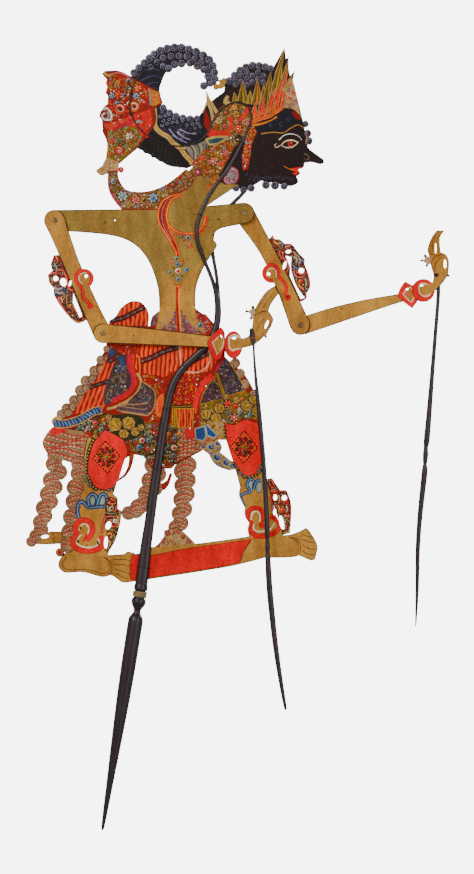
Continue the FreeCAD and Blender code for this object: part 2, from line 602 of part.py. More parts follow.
def right_forearm_face():
    limb = outline(
        (172, 321.4), [(200, 330), (232, 337.6), (266, 343.4)], [(284, 346)], [(284, 337)],
        [(268, 335), (230, 322.4), (172, 302.6)])
    cuff = outline((264, 340.8), [(268, 350), (272.4, 355.8)], [(284, 350)], [(285.6, 337)],
                   [(279.6, 328.8)], [(273, 333.6)])
    hand = outline(
        (292, 353), [(299, 354), (301, 361), (298.4, 371)], [(296.6, 381)],
        [(295, 388), (298, 398), (304, 407)], [(311.8, 406.6)], [(307.2, 399), (308, 385)],
        [(313.5, 382.4), (316.4, 375), (315.4, 362)], [(310.6, 355)], [(304.5, 347.8)], [(298, 343)],
        [(292, 341)])
    charm = polygon((298, 380), (292.4, 381.8), (292, 378.6), (288.4, 376.8), (293, 374.4),
                    (294.2, 371.6), (298, 373.6))
    charm_balls = lobes((292.4, 381.6, 1.5), (288.6, 376.8, 1.2), (294.2, 371.8, 1.4))
    windows = [oval(312.4, 373.4, 1.5, 4.6), oval(303.1, 389, 0.9, 5.4),
               oval(274.6, 348, 1.5, 1.1, -20), oval(289, 351.8, 1.6, 1)]
    return joined([
        limb, cuff, disc(290.6, 346.8, 11.6), hand, charm, disc(316, 361.7, 1.3),
        disc(*RIGHT_ELBOW, size("elbow_radius"))] + charm_balls, windows)


def sloped_placement(shoulder, elbow, levels):
    """Carry a plate at Y = 0 so that its middle passes through one level at the shoulder and
    another at the elbow."""
    run = point(elbow[0] - shoulder[0], elbow[1] - shoulder[1])
    drop = levels[1] - levels[0]
    turn_axis = run.cross(Vector(0, 1, 0))
    angle = math.degrees(math.atan2(drop, run.Length))
    turn = Placement(Vector(0, 0, 0), Rotation(turn_axis, angle), point(*shoulder))
    return Placement(Vector(0, levels[0], 0), Rotation()).multiply(turn)


def arm_piece(name, face, drillings, placement):
    plate = sheet_of_hide(name, face, "arm_hide_thickness")
    piece = pin_holes(name, plate, drillings)
    piece.Placement = placement
    return keep(piece, name)


arm_piece("left_upper_arm", left_upper_arm_face(),
          [(LEFT_SHOULDER, "pin_hole_radius"), (LEFT_ELBOW, "pin_hole_radius")],
          sloped_placement(LEFT_SHOULDER, LEFT_ELBOW, LEFT_UPPER_Y))
arm_piece("left_forearm", left_forearm_face(),
          [(LEFT_ELBOW, "pin_hole_radius"), (LEFT_TIE, "tie_hole_radius")],
          Placement(Vector(0, LEFT_FOREARM_Y, 0), Rotation()))
arm_piece("right_upper_arm", right_upper_arm_face(),
          [(RIGHT_SHOULDER, "pin_hole_radius"), (RIGHT_ELBOW, "pin_hole_radius")],
          sloped_placement(RIGHT_SHOULDER, RIGHT_ELBOW, RIGHT_UPPER_Y))
arm_piece("right_forearm", right_forearm_face(),
          [(RIGHT_ELBOW, "pin_hole_radius"), (RIGHT_TIE, "tie_hole_radius")],
          Placement(Vector(0, RIGHT_FOREARM_Y, 0), Rotation()))


# ---------------------------------------------------------------------------- pins and collars
def turned_along_y(kind, name, place, y):
    obj = doc.addObject(kind, name)
    obj.Placement = Placement(Vector(place[0], y, place[1]), Rotation(Vector(1, 0, 0), -90))
    return obj


def make_pin(name, place, head_y, far_y):
    """Headed pin along Y. The head's inner face is at head_y and the shaft ends at far_y."""
    top = turned_along_y("Part::Cylinder", name + "_head", place, head_y - size("pin_head_height"))
    top.setExpression("Radius", "Sizes.pin_head_radius")
    top.setExpression("Height", "Sizes.pin_head_height")
    shaft = turned_along_y("Part::Cylinder", name + "_shaft", place, head_y - 0.5)
    shaft.setExpression("Radius", "Sizes.pin_shaft_radius")
    shaft.Height = far_y - head_y + 0.5
    both = doc.addObject("Part::Fuse", name)
    both.Base = top
    both.Tool = shaft
    return keep(both, name)


def make_collar(name, place, near_y, bore_alias, height_alias):
    """Round collar with a bore, its near face at near_y."""
    rim = turned_along_y("Part::Cylinder", name + "_rim", place, near_y)
    rim.setExpression("Radius", "Sizes.washer_radius")
    rim.setExpression("Height", "Sizes." + height_alias)
    bore = turned_along_y("Part::Cylinder", name + "_bore", place, near_y - 1)
    bore.setExpression("Radius", "Sizes." + bore_alias)
    bore.Height = 5
    collar = doc.addObject("Part::Cut", name)
    collar.Base = rim
    collar.Tool = bore
    return keep(collar, name)


# Name, pivot, level of the head's inner face, level of the washer's near face.
PINS = (
    ("left_shoulder", LEFT_SHOULDER, -2.47, 0.82),
    ("left_elbow", LEFT_ELBOW, -6.48, -3.53),
    ("right_shoulder", RIGHT_SHOULDER, -0.82, 3.9),
    ("right_elbow", RIGHT_ELBOW, 4.3, 7.18),
)
for joint_name, place, head_y, washer_y in PINS:
    make_pin(joint_name + "_pin", place, head_y, washer_y + size("washer_height") + 0.1)
    make_collar(joint_name + "_washer", place, washer_y, "washer_bore_radius", "washer_height")
make_collar("right_shoulder_spacer", RIGHT_SHOULDER, 0.82, "spacer_bore_radius", "spacer_height")


# ---------------------------------------------------------------------------- arm rods and ties
# Stations along an arm rod: x, z, width. The first stations are the flat paddle with the eye.
LEFT_ROD = [
    (117.9, 308.5, 2.4), (118.4, 306, 4.4), (119.6, 298.8, 5.0), (120.3, 293.5, 3.6),
    (120.6, 289, 2.4), (121.2, 278, 2.5), (122.6, 260, 3.1), (124.6, 240, 3.9), (126.6, 220, 4.4),
    (128.3, 200, 4.6), (130.0, 180, 4.7), (131.4, 160, 4.7), (132.7, 138, 4.8), (133.7, 116, 4.9),
    (134.1, 104, 4.9), (134.3, 97.5, 3.7), (134.4, 91, 4.9), (134.5, 84.5, 3.8), (134.8, 78, 5.5),
    (136.2, 52, 6.1), (138.6, 26, 6.0), (141.4, 0, 5.6), (144.9, -26, 5.0), (148.7, -50, 4.2),
    (151.9, -68, 3.1), (152.5, -71.5, 1.6),
]
RIGHT_ROD = [
    (303.0, 369.5, 2.4), (303.1, 367, 4.4), (303.9, 361, 5.0), (305.4, 353.5, 4.4),
    (305.9, 345, 3.9), (305.0, 330, 3.8), (303.6, 312, 3.9), (302.2, 294, 4.0), (300.8, 276, 4.2),
    (299.4, 258, 4.5), (298.0, 240, 5.0), (296.6, 222, 5.5), (295.2, 205, 6.0), (294.3, 196, 6.1),
    (293.6, 189.5, 4.5), (293.3, 183, 5.6), (292.9, 176.5, 4.9), (292.6, 172.5, 4.1),
    (292.4, 166, 6.0), (290.8, 150, 5.9), (288.4, 128, 5.4), (286.6, 106, 4.9), (285.5, 84, 4.5),
    (285.2, 62, 4.0), (284.8, 40, 3.2), (284.0, 20, 2.0), (283.6, 9.5, 1.2),
]


def arm_rod_solid(stations, tie, level, side):
    """Tapered rod that slopes away from the sheet, with a flat paddle at the hand."""
    wires = []
    for index, (x, z, width) in enumerate(stations):
        reach = max(tie[1] - z, 0)
        y = level + side * size("arm_rod_slope") * reach
        depth = min(width / 2, size("paddle_thickness") / 2 - 0.05 + size("arm_rod_slope") * reach)
        frame = section_frame(x, y, z, tangent(stations, index), width / 2, depth)
        circle = Part.Wire(Part.makeCircle(1, Vector(0, 0, 0), Vector(0, 0, 1)))
        wires.append(circle.transformGeometry(frame))
    return Part.makeLoft(wires, True, True)


def make_arm_rod(name, stations, tie, level, side):
    blank = doc.addObject("Part::Feature", name + "_blank")
    blank.Shape = arm_rod_solid(stations, tie, level, side)
    eye = turned_along_y("Part::Cylinder", name + "_eye", tie, level - 3)
    eye.setExpression("Radius", "Sizes.tie_hole_radius")
    eye.Height = 6
    rod = doc.addObject("Part::Cut", name)
    rod.Base = blank
    rod.Tool = eye
    return keep(rod, name)


def make_hand_tie(name, place, near_y, far_y):
    """Thread through hand and rod, with a flat knot outside each."""
    thread = turned_along_y("Part::Cylinder", name + "_thread", place, near_y - 0.2)
    thread.setExpression("Radius", "Sizes.tie_thread_radius")
    thread.Height = far_y - near_y + 0.4
    front_knot = turned_along_y("Part::Cylinder", name + "_front_knot", place,
                                near_y - size("knot_height"))
    back_knot = turned_along_y("Part::Cylinder", name + "_back_knot", place, far_y)
    for knot in (front_knot, back_knot):
        knot.setExpression("Radius", "Sizes.knot_radius")
        knot.setExpression("Height", "Sizes.knot_height")
    tie = doc.addObject("Part::MultiFuse", name)
    tie.Shapes = [thread, front_knot, back_knot]
    return keep(tie, name)


make_arm_rod("left_arm_rod", LEFT_ROD, LEFT_TIE, LEFT_ROD_Y, -1)
make_arm_rod("right_arm_rod", RIGHT_ROD, RIGHT_TIE, RIGHT_ROD_Y, 1)
make_hand_tie("left_hand_tie", LEFT_TIE, LEFT_ROD_Y - 0.85, LEFT_FOREARM_Y + 0.65)
make_hand_tie("right_hand_tie", RIGHT_TIE, RIGHT_FOREARM_Y - 0.65, RIGHT_ROD_Y + 0.85)


# ---------------------------------------------------------------------------- checks and writing
doc.recompute()
for obj in doc.Objects:
    if "Invalid" in obj.State or "Error" in obj.State:
        raise RuntimeError(f"{obj.Name} failed: {obj.State}")
os.makedirs("parts", exist_ok=True)
for piece in subparts:
    shape = piece.Shape
    if shape.isNull() or not shape.isValid():
        raise RuntimeError(f"{piece.Label} has no valid shape")
    print(f"{piece.Label}: {len(shape.Solids)} solid(s), {shape.Volume:.1f} mm3")
    shape.exportStep(os.path.join("parts", piece.Label + ".step"))
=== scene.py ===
import math
import random

import bpy
import numpy as np
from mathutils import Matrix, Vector
from mathutils.geometry import delaunay_2d_cdt


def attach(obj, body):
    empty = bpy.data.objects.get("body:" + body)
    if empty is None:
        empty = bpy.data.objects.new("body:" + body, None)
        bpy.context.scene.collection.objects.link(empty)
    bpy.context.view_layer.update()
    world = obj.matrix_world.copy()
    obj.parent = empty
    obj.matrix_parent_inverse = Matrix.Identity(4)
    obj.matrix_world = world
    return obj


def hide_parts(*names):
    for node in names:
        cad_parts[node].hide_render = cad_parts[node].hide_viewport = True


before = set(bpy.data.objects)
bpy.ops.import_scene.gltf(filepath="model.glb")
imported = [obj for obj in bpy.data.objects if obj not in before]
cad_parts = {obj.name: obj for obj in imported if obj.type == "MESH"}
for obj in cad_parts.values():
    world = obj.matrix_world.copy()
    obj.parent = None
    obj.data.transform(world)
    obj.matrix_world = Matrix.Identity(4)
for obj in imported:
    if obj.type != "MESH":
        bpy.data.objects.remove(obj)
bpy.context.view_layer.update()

MM = 0.001
TURN = 2 * math.pi
rng = random.Random(11)

# Places in mm: x to the viewer's right, z up, y away from the viewer, 0 in the middle of the body.
LEFT_SHOULDER = (-78.4, 416.5)
LEFT_ELBOW = (-29.7, 303.5)
LEFT_TIE = (119.6, 298.8)
RIGHT_SHOULDER = (111.1, 423.8)
RIGHT_ELBOW = (167.3, 312.0)
RIGHT_TIE = (303.5, 362.0)
PIN_HOLE = 1.56          # radius of a pin's hole
TIE_HOLE = 0.68          # radius of a thread's hole
SHOULDER_DISC = 10.5     # radius of the hide round a shoulder's pin
ELBOW_DISC = 9.9         # the same at an elbow
BODY_THICKNESS = 1.5
ARM_THICKNESS = 1.2
HANDLE_AXIS = (math.sin(math.radians(9)), 0, math.cos(math.radians(9)))
INTO_SHEET = (0, 1, 0)   # the axis that every pin lies on
HALF_SLIT = 0.76         # half the width of the slit that holds the hide
ROD_TAPER = 0.021        # how fast an arm rod thickens away from its eye

# ------------------------------------------------------------------ paint colours, as sRGB codes
HIDE_INKS = {"hide": "CC9448", "trunk": "A58541", "hide_pale": "D2AC66", "hide_dark": "7E5418",
             "edge": "3E280E", "tan": "C4A268", "gold": "BE9230", "cream": "FFEBC0", "white": "FFFCF2",
             "hair": "181520", "hair_light": "A09AB8", "hair_mid": "504A72", "blue": "28508E",
             "pale_blue": "86A4BE", "purple": "463442", "mauve": "7E5A60", "lilac": "AE90A4",
             "curl": "A67E54", "curl_light": "D8AE8A", "curl_dark": "5A3C34", "grey": "8C8276",
             "teal": "2C5A60", "mint": "A2B4A2"}
OPAQUE_INKS = {"olive": "6E6116", "amber": "E0861C", "black": "120D0C", "face": "241513",
               "face_light": "4A322C", "brown": "4A2212", "rust": "96340F", "red": "DC1408",
               "scarlet": "EE2410", "deep_red": "8A1409", "orange": "F0600E", "flame": "F8801C",
               "peach": "F2A66C", "pink": "DF8680", "rose": "C8304C", "magenta": "B42470", "leaf": "2A2E12",
               "curl_red": "B23A26"}


def linear(code):
    """Linear colour of a six-digit sRGB code."""
    parts = [int(code[i:i + 2], 16) / 255 for i in (0, 2, 4)]
    return [p / 12.92 if p <= 0.04045 else ((p + 0.055) / 1.055) ** 2.4 for p in parts]


def mixed(ink):
    """Linear colour of an ink. Opaque paints have their saturation raised, stains and hide don't."""
    if ink in HIDE_INKS:
        return linear(HIDE_INKS[ink])
    parts = linear(OPAQUE_INKS[ink])
    grey = 0.30 * parts[0] + 0.55 * parts[1] + 0.15 * parts[2]
    return [max(0.0015, grey + (p - grey) * 1.32) for p in parts]


# ------------------------------------------------------------------ plane shapes, in mm (x, z)
def smooth(points, closed=False, steps=4):
    """Catmull-Rom curve through the points."""
    count = len(points)
    spans = count if closed else count - 1
    result = []
    for i in range(spans):
        if closed:
            a, b, c, d = (points[(i + k) % count] for k in (-1, 0, 1, 2))
        else:
            a, b, c, d = (points[min(max(i + k, 0), count - 1)] for k in (-1, 0, 1, 2))
        for step in range(steps):
            t = step / steps
            result.append(tuple(
                0.5 * (2 * b[n] + (c[n] - a[n]) * t
                       + (2 * a[n] - 5 * b[n] + 4 * c[n] - d[n]) * t * t
                       + (3 * b[n] - a[n] - 3 * c[n] + d[n]) * t ** 3)
                for n in range(len(b))))
    if not closed:
        result.append(tuple(points[-1]))
    return result


def outline(start, *strokes, steps=4):
    """Closed shape: a stroke of one point is a straight line, a longer one a smooth curve."""
    places = [start]
    for stroke_points in strokes:
        if len(stroke_points) == 1:
            places.append(stroke_points[0])
        else:
            places += smooth([places[-1]] + list(stroke_points), steps=steps)[1:]
    return places


def ellipse(x, z, a, b, turn=0.0, count=14):
    """Closed ellipse with half axes a and b."""
    c, s = math.cos(turn), math.sin(turn)
    return [(x + a * math.cos(t) * c - b * math.sin(t) * s,
             z + a * math.cos(t) * s + b * math.sin(t) * c)
            for t in (TURN * k / count for k in range(count))]


def circle(x, z, r, count=None):
    """Closed circle; a larger one gets more corners."""
    return ellipse(x, z, r, r, 0.3, count or max(7, min(28, int(8 + r * 3))))


def stroke(points, width, tip=None):
    """A drawn line as a closed shape. width runs to tip along it."""
    tip = width if tip is None else tip
    left, right = [], []
    last = len(points) - 1
    for i, (x, z) in enumerate(points):
        ax, az = points[max(i - 1, 0)]
        bx, bz = points[min(i + 1, last)]
        length = math.hypot(bx - ax, bz - az) or 1.0
        half = (width + (tip - width) * i / max(last, 1)) / 2
        nx, nz = -(bz - az) / length * half, (bx - ax) / length * half
        left.append((x + nx, z + nz))
        right.append((x - nx, z - nz))
    return left + right[::-1]


def inset(places, depth):
    """The shape moved inwards by a small depth."""
    area = sum(a[0] * b[1] - b[0] * a[1] for a, b in zip(places, places[1:] + places[:1]))
    sign = 1 if area > 0 else -1
    result = []
    count = len(places)
    for i in range(count):
        ax, az = places[i - 1]
        bx, bz = places[(i + 1) % count]
        length = math.hypot(bx - ax, bz - az) or 1.0
        x, z = places[i]
        result.append((x - sign * (bz - az) / length * depth, z + sign * (bx - ax) / length * depth))
    return result


def spaced(points, pitch):
    """Evenly spaced (x, z, direction) along a line."""
    result = []
    carry = pitch / 2
    for (ax, az), (bx, bz) in zip(points, points[1:]):
        length = math.hypot(bx - ax, bz - az)
        while carry < length:
            t = carry / length
            result.append((ax + (bx - ax) * t, az + (bz - az) * t, math.atan2(bz - az, bx - ax)))
            carry += pitch
        carry -= length
    return result


def winding(px, pz, places):
    """True for each point that lies inside the closed shape."""
    a = np.array(places)
    b = np.roll(a, -1, axis=0)
    result = np.zeros(len(px), dtype=bool)
    step = max(1, int(3e6 / len(a)))
    for first in range(0, len(px), step):
        x = px[first:first + step, None]
        z = pz[first:first + step, None]
        side = (b[:, 0] - a[:, 0]) * (z - a[:, 1]) - (x - a[:, 0]) * (b[:, 1] - a[:, 1])
        up = (a[:, 1] <= z) & (b[:, 1] > z) & (side > 0)
        down = (a[:, 1] > z) & (b[:, 1] <= z) & (side < 0)
        result[first:first + step] = up.sum(axis=1) != down.sum(axis=1)
    return result


def middle_and_reach(places):
    """Centre of a shape's box and half the box's diagonal."""
    xs = [p[0] for p in places]
    zs = [p[1] for p in places]
    reach = math.hypot(max(xs) - min(xs), max(zs) - min(zs)) / 2
    return (min(xs) + max(xs)) / 2, (min(zs) + max(zs)) / 2, reach


def wavy_line(places, turn, shift, height, rate, phase, steps):
    """A sine wave across a shape, shifted sideways from its middle."""
    mx, mz, reach = middle_and_reach(places)
    c, s = math.cos(turn), math.sin(turn)
    line = []
    for step in range(steps + 1):
        u = (step / steps * 2 - 1) * reach
        v = shift + height * math.sin(u * rate + phase)
        line.append((mx + u * c - v * s, mz + u * s + v * c))
    return line


def grid_in(places, pitch, margin=0.0, turn=0.0):
    """Points of a staggered grid inside a shape."""
    shape = inset(places, margin) if margin else places
    mx, mz, reach = middle_and_reach(shape)
    count = int(reach / pitch) + 2
    c, s = math.cos(turn), math.sin(turn)
    spots = []
    for row in range(-count, count + 1):
        for column in range(-count, count + 1):
            u = (column + (row % 2) / 2) * pitch
            v = row * pitch * 0.86
            spots.append((mx + u * c - v * s, mz + u * s + v * c))
    px = np.array([p[0] for p in spots])
    pz = np.array([p[1] for p in spots])
    keep = winding(px, pz, shape)
    return [spot for spot, inside in zip(spots, keep) if inside]


# ------------------------------------------------------------------ artwork on a sheet
class Artwork:
    """Shapes on a sheet in drawing order. ground adds hide, paint colours it, holes opens it."""

    def __init__(self):
        self.shapes = []

    def add(self, kind, places, ink=None, clip=None, tone=1.0):
        """tone under 1 darkens the ink and over 1 mixes cream into it."""
        shade = (1.0 + rng.uniform(-0.07, 0.07)) * min(tone, 1.0)
        pale = max(tone - 1.0, 0.0)
        colour = ink and [c * shade * (1 - pale) + cream * pale for c,
                          cream in zip(mixed(ink), mixed("cream"))]
        self.shapes.append((kind, list(places), colour, clip))

    def ground(self, places, ink):
        """Adds hide and colours it."""
        self.add("ground", places, ink)

    def paint(self, places, ink, clip=None, tone=1.0):
        """Colours the hide that is there."""
        self.add("paint", places, ink, clip, tone)

    def line(self, points, ink, width, tip=None, clip=None, tone=1.0):
        """Paints a smooth line whose width runs to tip."""
        self.paint(stroke(smooth(points), width, tip), ink, clip, tone)

    def rimmed(self, points, ink, width, rim, grow=0.9):
        """Paints a smooth line with a rim of another ink."""
        self.line(points, rim, width + grow)
        self.line(points, ink, width)

    def holes(self, shapes):
        """Cuts openings right through."""
        for places in shapes:
            self.add("hole", places)

    def mass(self, parts, ink, edge="edge", depth=0.9):
        """Hide made of overlapping shapes, with one dark edge line round them all."""
        for part in parts:
            self.ground(part, edge)
        for part in parts:
            self.paint(inset(part, depth), ink)


def swirl(art, x, z, r, ink, start=0.0, flip=1, turns=1.3, width=0.7, clip=None):
    """A painted spiral that winds inwards."""
    count = 9 + int(r)
    places = []
    for i in range(count + 1):
        t = i / count
        angle = start + flip * TURN * turns * t
        reach = r * (1 - 0.85 * t)
        places.append((x + reach * math.cos(angle), z + reach * math.sin(angle)))
    art.paint(stroke(places, width, width * 0.6), ink, clip)


def comma(art, x, z, length, angle, ink, bend=0.5, width=1.0, clip=None, shadow="black"):
    """A tapered curved brush stroke with a dark rim."""
    places = []
    for i in range(5):
        t = i / 4
        turn = angle + bend * (t - 0.5) * 2
        step = (t - 0.5) * length
        places.append((x + step * math.cos(turn), z + step * math.sin(turn)))
    if shadow:
        art.paint(stroke(places, width + 0.7, 0.7), shadow, clip)
    art.paint(stroke(places, width, 0.25), ink, clip)


def commas(art, rows, length, bend, width, shadow):
    """Loose brush strokes given as rows of place, angle and ink."""
    for x, z, angle, ink in rows:
        comma(art, x, z, length, angle, ink, bend, width, None, shadow)


def flower(art, x, z, r, petal, heart, petals=6, field="black", clip=None):
    """Small rosette of brush-stroke petals, dark at the root and pale at the tip, round a gem."""
    if field:
        art.paint(ellipse(x, z, r * 1.15, r * 1.05, rng.uniform(0, 3), 11), field, clip)
    start = rng.uniform(0, TURN)
    for k in range(petals):
        angle = start + TURN * k / petals + rng.uniform(-0.12, 0.12)
        c, s = math.cos(angle), math.sin(angle)
        reach = r * rng.uniform(0.58, 0.70)
        for grow, size, turn, tone in ((1.0, 1.0, 0.5, 0.55), (1.06, 0.74, 0.5, 1.0),
                                       (1.24, 0.42, 1.2, 1.38)):
            art.paint(ellipse(x + reach * c * grow, z + reach * s * grow, r * 0.42 * size, r * 0.28 * size,
                              angle + turn, 8), petal, clip, tone)
    jewel(art, x, z, r * 0.46, petal, heart, clip)


def blossoms(art, rows, petals=6, field="black", clip=None):
    """Flowers at given places; every third one is a plain gem."""
    for k, (x, z, r, petal, heart) in enumerate(rows):
        if k % 3 == 1:
            jewel(art, x, z, r * 0.86, petal, heart, clip)
        else:
            flower(art, x, z, r, petal, heart, petals, field, clip)


def eye(art, x, z, r, ink, heart):
    """Large curled rosette: coloured disc with painted shade at its lower right, cream spiral and dark heart.
    """
    art.paint(circle(x, z, r * 1.14), "brown")
    art.paint(circle(x, z, r), ink)
    # A darker copy of the disc set low and right: painted shade, which leaves the upper left lighter.
    art.paint(circle(x + r * 0.1, z - r * 0.1, r * 0.72), ink, None, 0.6)
    swirl(art, x, z, r * 0.82, "cream", 2.2, -1, 1.25, r * 0.16)
    art.paint(circle(x, z, r * 0.36), "black")
    art.paint(circle(x, z, r * 0.26), heart)


def jewel(art, x, z, r, ring, heart, clip=None):
    """Painted gem: dark rim, pale ring, dark middle with a coloured heart, painted shade at its lower right
    and a painted glint at its upper left.
    """
    art.paint(circle(x, z, r), "black", clip)
    art.paint(circle(x, z, r * 0.84), ring, clip)
    # The dark middle sits a little low and right: painted shade on the gem's lower right.
    art.paint(circle(x + r * 0.08, z - r * 0.08, r * 0.56), "black", clip)
    art.paint(circle(x, z, r * 0.44), heart, clip)
    # White dot at the upper left: a painted glint.
    art.paint(circle(x - r * 0.22, z + r * 0.28, r * 0.14, 6), "white", clip)


def jewels(art, rows):
    """Gems given as rows of place, radius, ring and heart."""
    for row in rows:
        jewel(art, *row)


def leaf_scroll(art, x, z, size, angle, ink, light, dark="brown", flip=1, clip=None):
    """Curled leaf: a tapering body with a rolled tip and a fine light line along it."""
    body = []
    for k in range(12):
        t = k / 11
        turn = angle + flip * (t * 4.6)
        reach = size * (0.62 - 0.44 * t)
        body.append((x + reach * math.cos(turn), z + reach * math.sin(turn)))
    art.paint(stroke(body, size * 0.36, size * 0.14), dark, clip)
    art.paint(stroke(body, size * 0.24, size * 0.07), ink, clip)
    art.paint(stroke(body[1:9], size * 0.07, size * 0.04), light, clip)
    x2, z2 = body[0]
    c, s = math.cos(angle + flip * 1.4), math.sin(angle + flip * 1.4)
    art.paint(stroke([(x2, z2), (x2 - c * size * 0.28, z2 - s * size * 0.28)], size * 0.22, 0.2), dark, clip)
    art.paint(stroke([(x2, z2), (x2 - c * size * 0.24, z2 - s * size * 0.24)], size * 0.14, 0.15), light,
              clip)


def beads(art, path, width, field, bead, pitch=1.7, clip=None, rim=None):
    """A painted band with a row of round beads along it."""
    line = smooth(path, steps=5) if len(path) > 2 else path
    if rim:
        art.paint(stroke(line, width + 0.9), rim, clip)
    art.paint(stroke(line, width), field, clip)
    for x, z, _ in spaced(line, pitch):
        art.paint(circle(x, z, width * 0.27, 6), bead, clip)


def punched(art, path, pitch=2.0, length=1.1, width=0.55):
    """A row of small chisel cuts right through the hide."""
    line = smooth(path, steps=5) if len(path) > 2 else path
    for x, z, angle in spaced(line, pitch):
        art.holes([ellipse(x, z, length / 2, width / 2, angle, 6)])


def stripes(art, region, angle, pitch, inks, wave=0.5, fill=0.62):
    """Wavy painted stripes clipped to a region."""
    count = int(middle_and_reach(region)[2] / pitch) + 1
    for k in range(-count, count + 1):
        line = wavy_line(region, angle, k * pitch, wave, 0.32, rng.uniform(0, TURN), 12)
        art.paint(stroke(line, pitch * fill * rng.uniform(0.8, 1.15)), inks[k % len(inks)], region)


def filigree(art, region, field, inks, pitch=4.2, dark="brown", flowers=0.0, turn=0.2, cuts=0.06):
    """Close-set scrolls, leaves, gems and small flowers, with a few fine cuts through the hide."""
    if field:
        art.paint(region, field)
    for x, z in grid_in(region, pitch, 0.2, turn):
        x += rng.uniform(-0.16, 0.16) * pitch
        z += rng.uniform(-0.16, 0.16) * pitch
        pick = rng.random()
        ink = rng.choice(inks)
        rest = (pick - flowers) / max(1 - flowers, 0.01)
        flip = rng.choice((-1, 1))
        if pick < flowers:
            flower(art, x, z, pitch * 0.54, ink, rng.choice(inks), 5, dark, region)
        elif rest < 0.34:
            leaf_scroll(art, x, z, pitch * 0.86, rng.uniform(0, TURN), ink, rng.choice(("cream", ink, ink)),
                        dark, flip, region)
        elif rest < 0.70:
            comma(art, x, z, pitch * 0.92, rng.uniform(0, TURN), ink, flip * rng.uniform(0.5, 1.1),
                  pitch * 0.32, region, dark)
        elif rest < 0.86:
            swirl(art, x, z, pitch * 0.42, ink, rng.uniform(0, TURN), flip, 1.1, pitch * 0.19, region)
        else:
            jewel(art, x, z, pitch * 0.36, rng.choice(("cream", ink, ink)), ink, region)
    for x, z in grid_in(region, pitch, 1.4, turn + 0.5):
        if rng.random() < cuts * 0.10:
            art.holes([ellipse(x, z, 0.55, 0.26, rng.uniform(0, TURN), 6)])


def hair_curl(art, x, z, r, start, flip=1):
    """One tight curl of hair: black disc, pale ring with a faint painted highlight at its upper left, and
    pale spiral.
    """
    art.ground(circle(x, z, r * 1.12), "hair")
    art.paint(circle(x, z, r * 0.88), "hair_light")
    # The black middle sits a little low and right, so the pale ring is wider at the upper left: a faint
    # painted highlight.
    art.paint(circle(x + r * 0.04, z - r * 0.04, r * 0.76), "hair")
    swirl(art, x, z, r * 0.56, "hair_light", start, flip, 1.15, r * 0.15)


def scallops(art, path, size, clip=None, spacing=0.92):
    """Row of small overlapping locks, each with a red crown and a pale lower lip."""
    line = smooth(path, steps=5) if len(path) > 2 else path
    for x, z, angle in spaced(line, size * spacing):
        turn = angle + rng.uniform(-0.2, 0.2)
        c, s = math.cos(turn), math.sin(turn)
        def at(u, v):
            return x + size * (u * c - v * s), z + size * (u * s + v * c)
        art.paint(ellipse(*at(0, 0), size * 0.60, size * 0.52, turn, 10), "curl_dark", clip)
        art.paint(ellipse(*at(0, 0.03), size * 0.52, size * 0.43, turn, 10), "curl", clip)
        art.paint(ellipse(*at(0, -0.14), size * 0.40, size * 0.20, turn, 9), "curl_light", clip)
        art.paint(stroke([at(-0.42, 0.02), at(-0.2, 0.22), at(0.04, 0.27), at(0.28, 0.18), at(0.42, 0.0)],
                         size * 0.36, size * 0.16), "curl_red", clip)
        art.paint(stroke([at(-0.2, 0.14), at(0.05, 0.2), at(0.24, 0.1)], size * 0.10, size * 0.05), "pink",
                  clip)


def tail(art, lobes_list):
    """Hanging ribbon of overlapping round curls, each crossed by a row of red-topped locks."""
    for x, z, r in lobes_list:
        art.ground(circle(x, z, r), "curl_dark")
    for x, z, r in lobes_list:
        art.paint(circle(x, z, r - 0.8), "curl", None, 0.92)
    for k, (x, z, r) in enumerate(lobes_list):
        flip = 1 if k % 2 else -1
        inner = circle(x, z, r - 0.9)
        for reach, ink, width in ((0.88, "curl_light", 0.6), (0.72, "curl_dark", 0.5)):
            rim = [(x + flip * r * reach * math.cos(a), z + r * reach * math.sin(a))
                   for a in np.linspace(-0.5 * math.pi, 0.4 * math.pi, 9)]
            art.paint(stroke(rim, width, width * 0.5), ink)
        for rise, reach in ((0.46, 0.62), (-0.10, 0.80)):
            row = [(x + r * u * reach, z + r * (rise + 0.22 * flip * u - 0.18 * u * u))
                   for u in np.linspace(-1, 1, 7)]
            scallops(art, row, r * 0.42, inner, 0.85)
        art.paint(stroke([(x - 0.62 * r, z - 0.34 * r), (x - 0.1 * r, z - 0.48 * r),
                          (x + 0.56 * r, z - 0.30 * r)], 0.8, 0.4), "curl_light", inner)


def side_curl(art, x, z, r, flip=1):
    """One round curl of the hip frills."""
    art.ground(circle(x, z, r), "curl_dark")
    art.paint(circle(x, z, r - 0.7), "curl")
    swirl(art, x, z, r * 0.74, "curl_light", 0.6, flip, 1.3, r * 0.16)
    swirl(art, x + 0.2, z - 0.2, r * 0.54, "curl_dark", 1.2, flip, 1.1, r * 0.13)
    swirl(art, x + 0.3, z - 0.3, r * 0.30, "lilac", 2.4, flip, 0.9, r * 0.15)


def ring_cuff(art, band, width, start="red"):
    """Painted band in the given red ink, with a darker red rim."""
    line = smooth(band, steps=6)
    art.paint(stroke(line, width + 0.9), "deep_red")
    art.paint(stroke(line, width), start)


def draw_crest(art, region, lines, gems, inks):
    """A flame-shaped crest: fine scrolls, bold tapering curls and gems."""
    filigree(art, inset(region, 0.6), "brown", inks, 2.7, "brown", 0.0, 0.5, 0.0)
    for line, ink, width in lines:
        art.line(line, "brown", width + 0.9, width * 0.6 + 0.9)
        art.line(line, ink, width, width * 0.6)
        art.line(line, ink, width * 0.30, width * 0.1, tone=1.5)
    jewels(art, gems)


# ------------------------------------------------------------------ drawing the body
def belly_stripe(art, dark_line, pale_line, top):
    """Red stripe down the belly, with a pale line and a row of orange dots."""
    art.paint(stroke(dark_line, 3.8, 3.2), "deep_red")
    art.paint(stroke(pale_line, 1.9, 1.6), "peach")
    for z in range(305, top, 2):
        art.paint(ellipse(43.9, z, 0.55, 0.7, 0, 6), "orange")


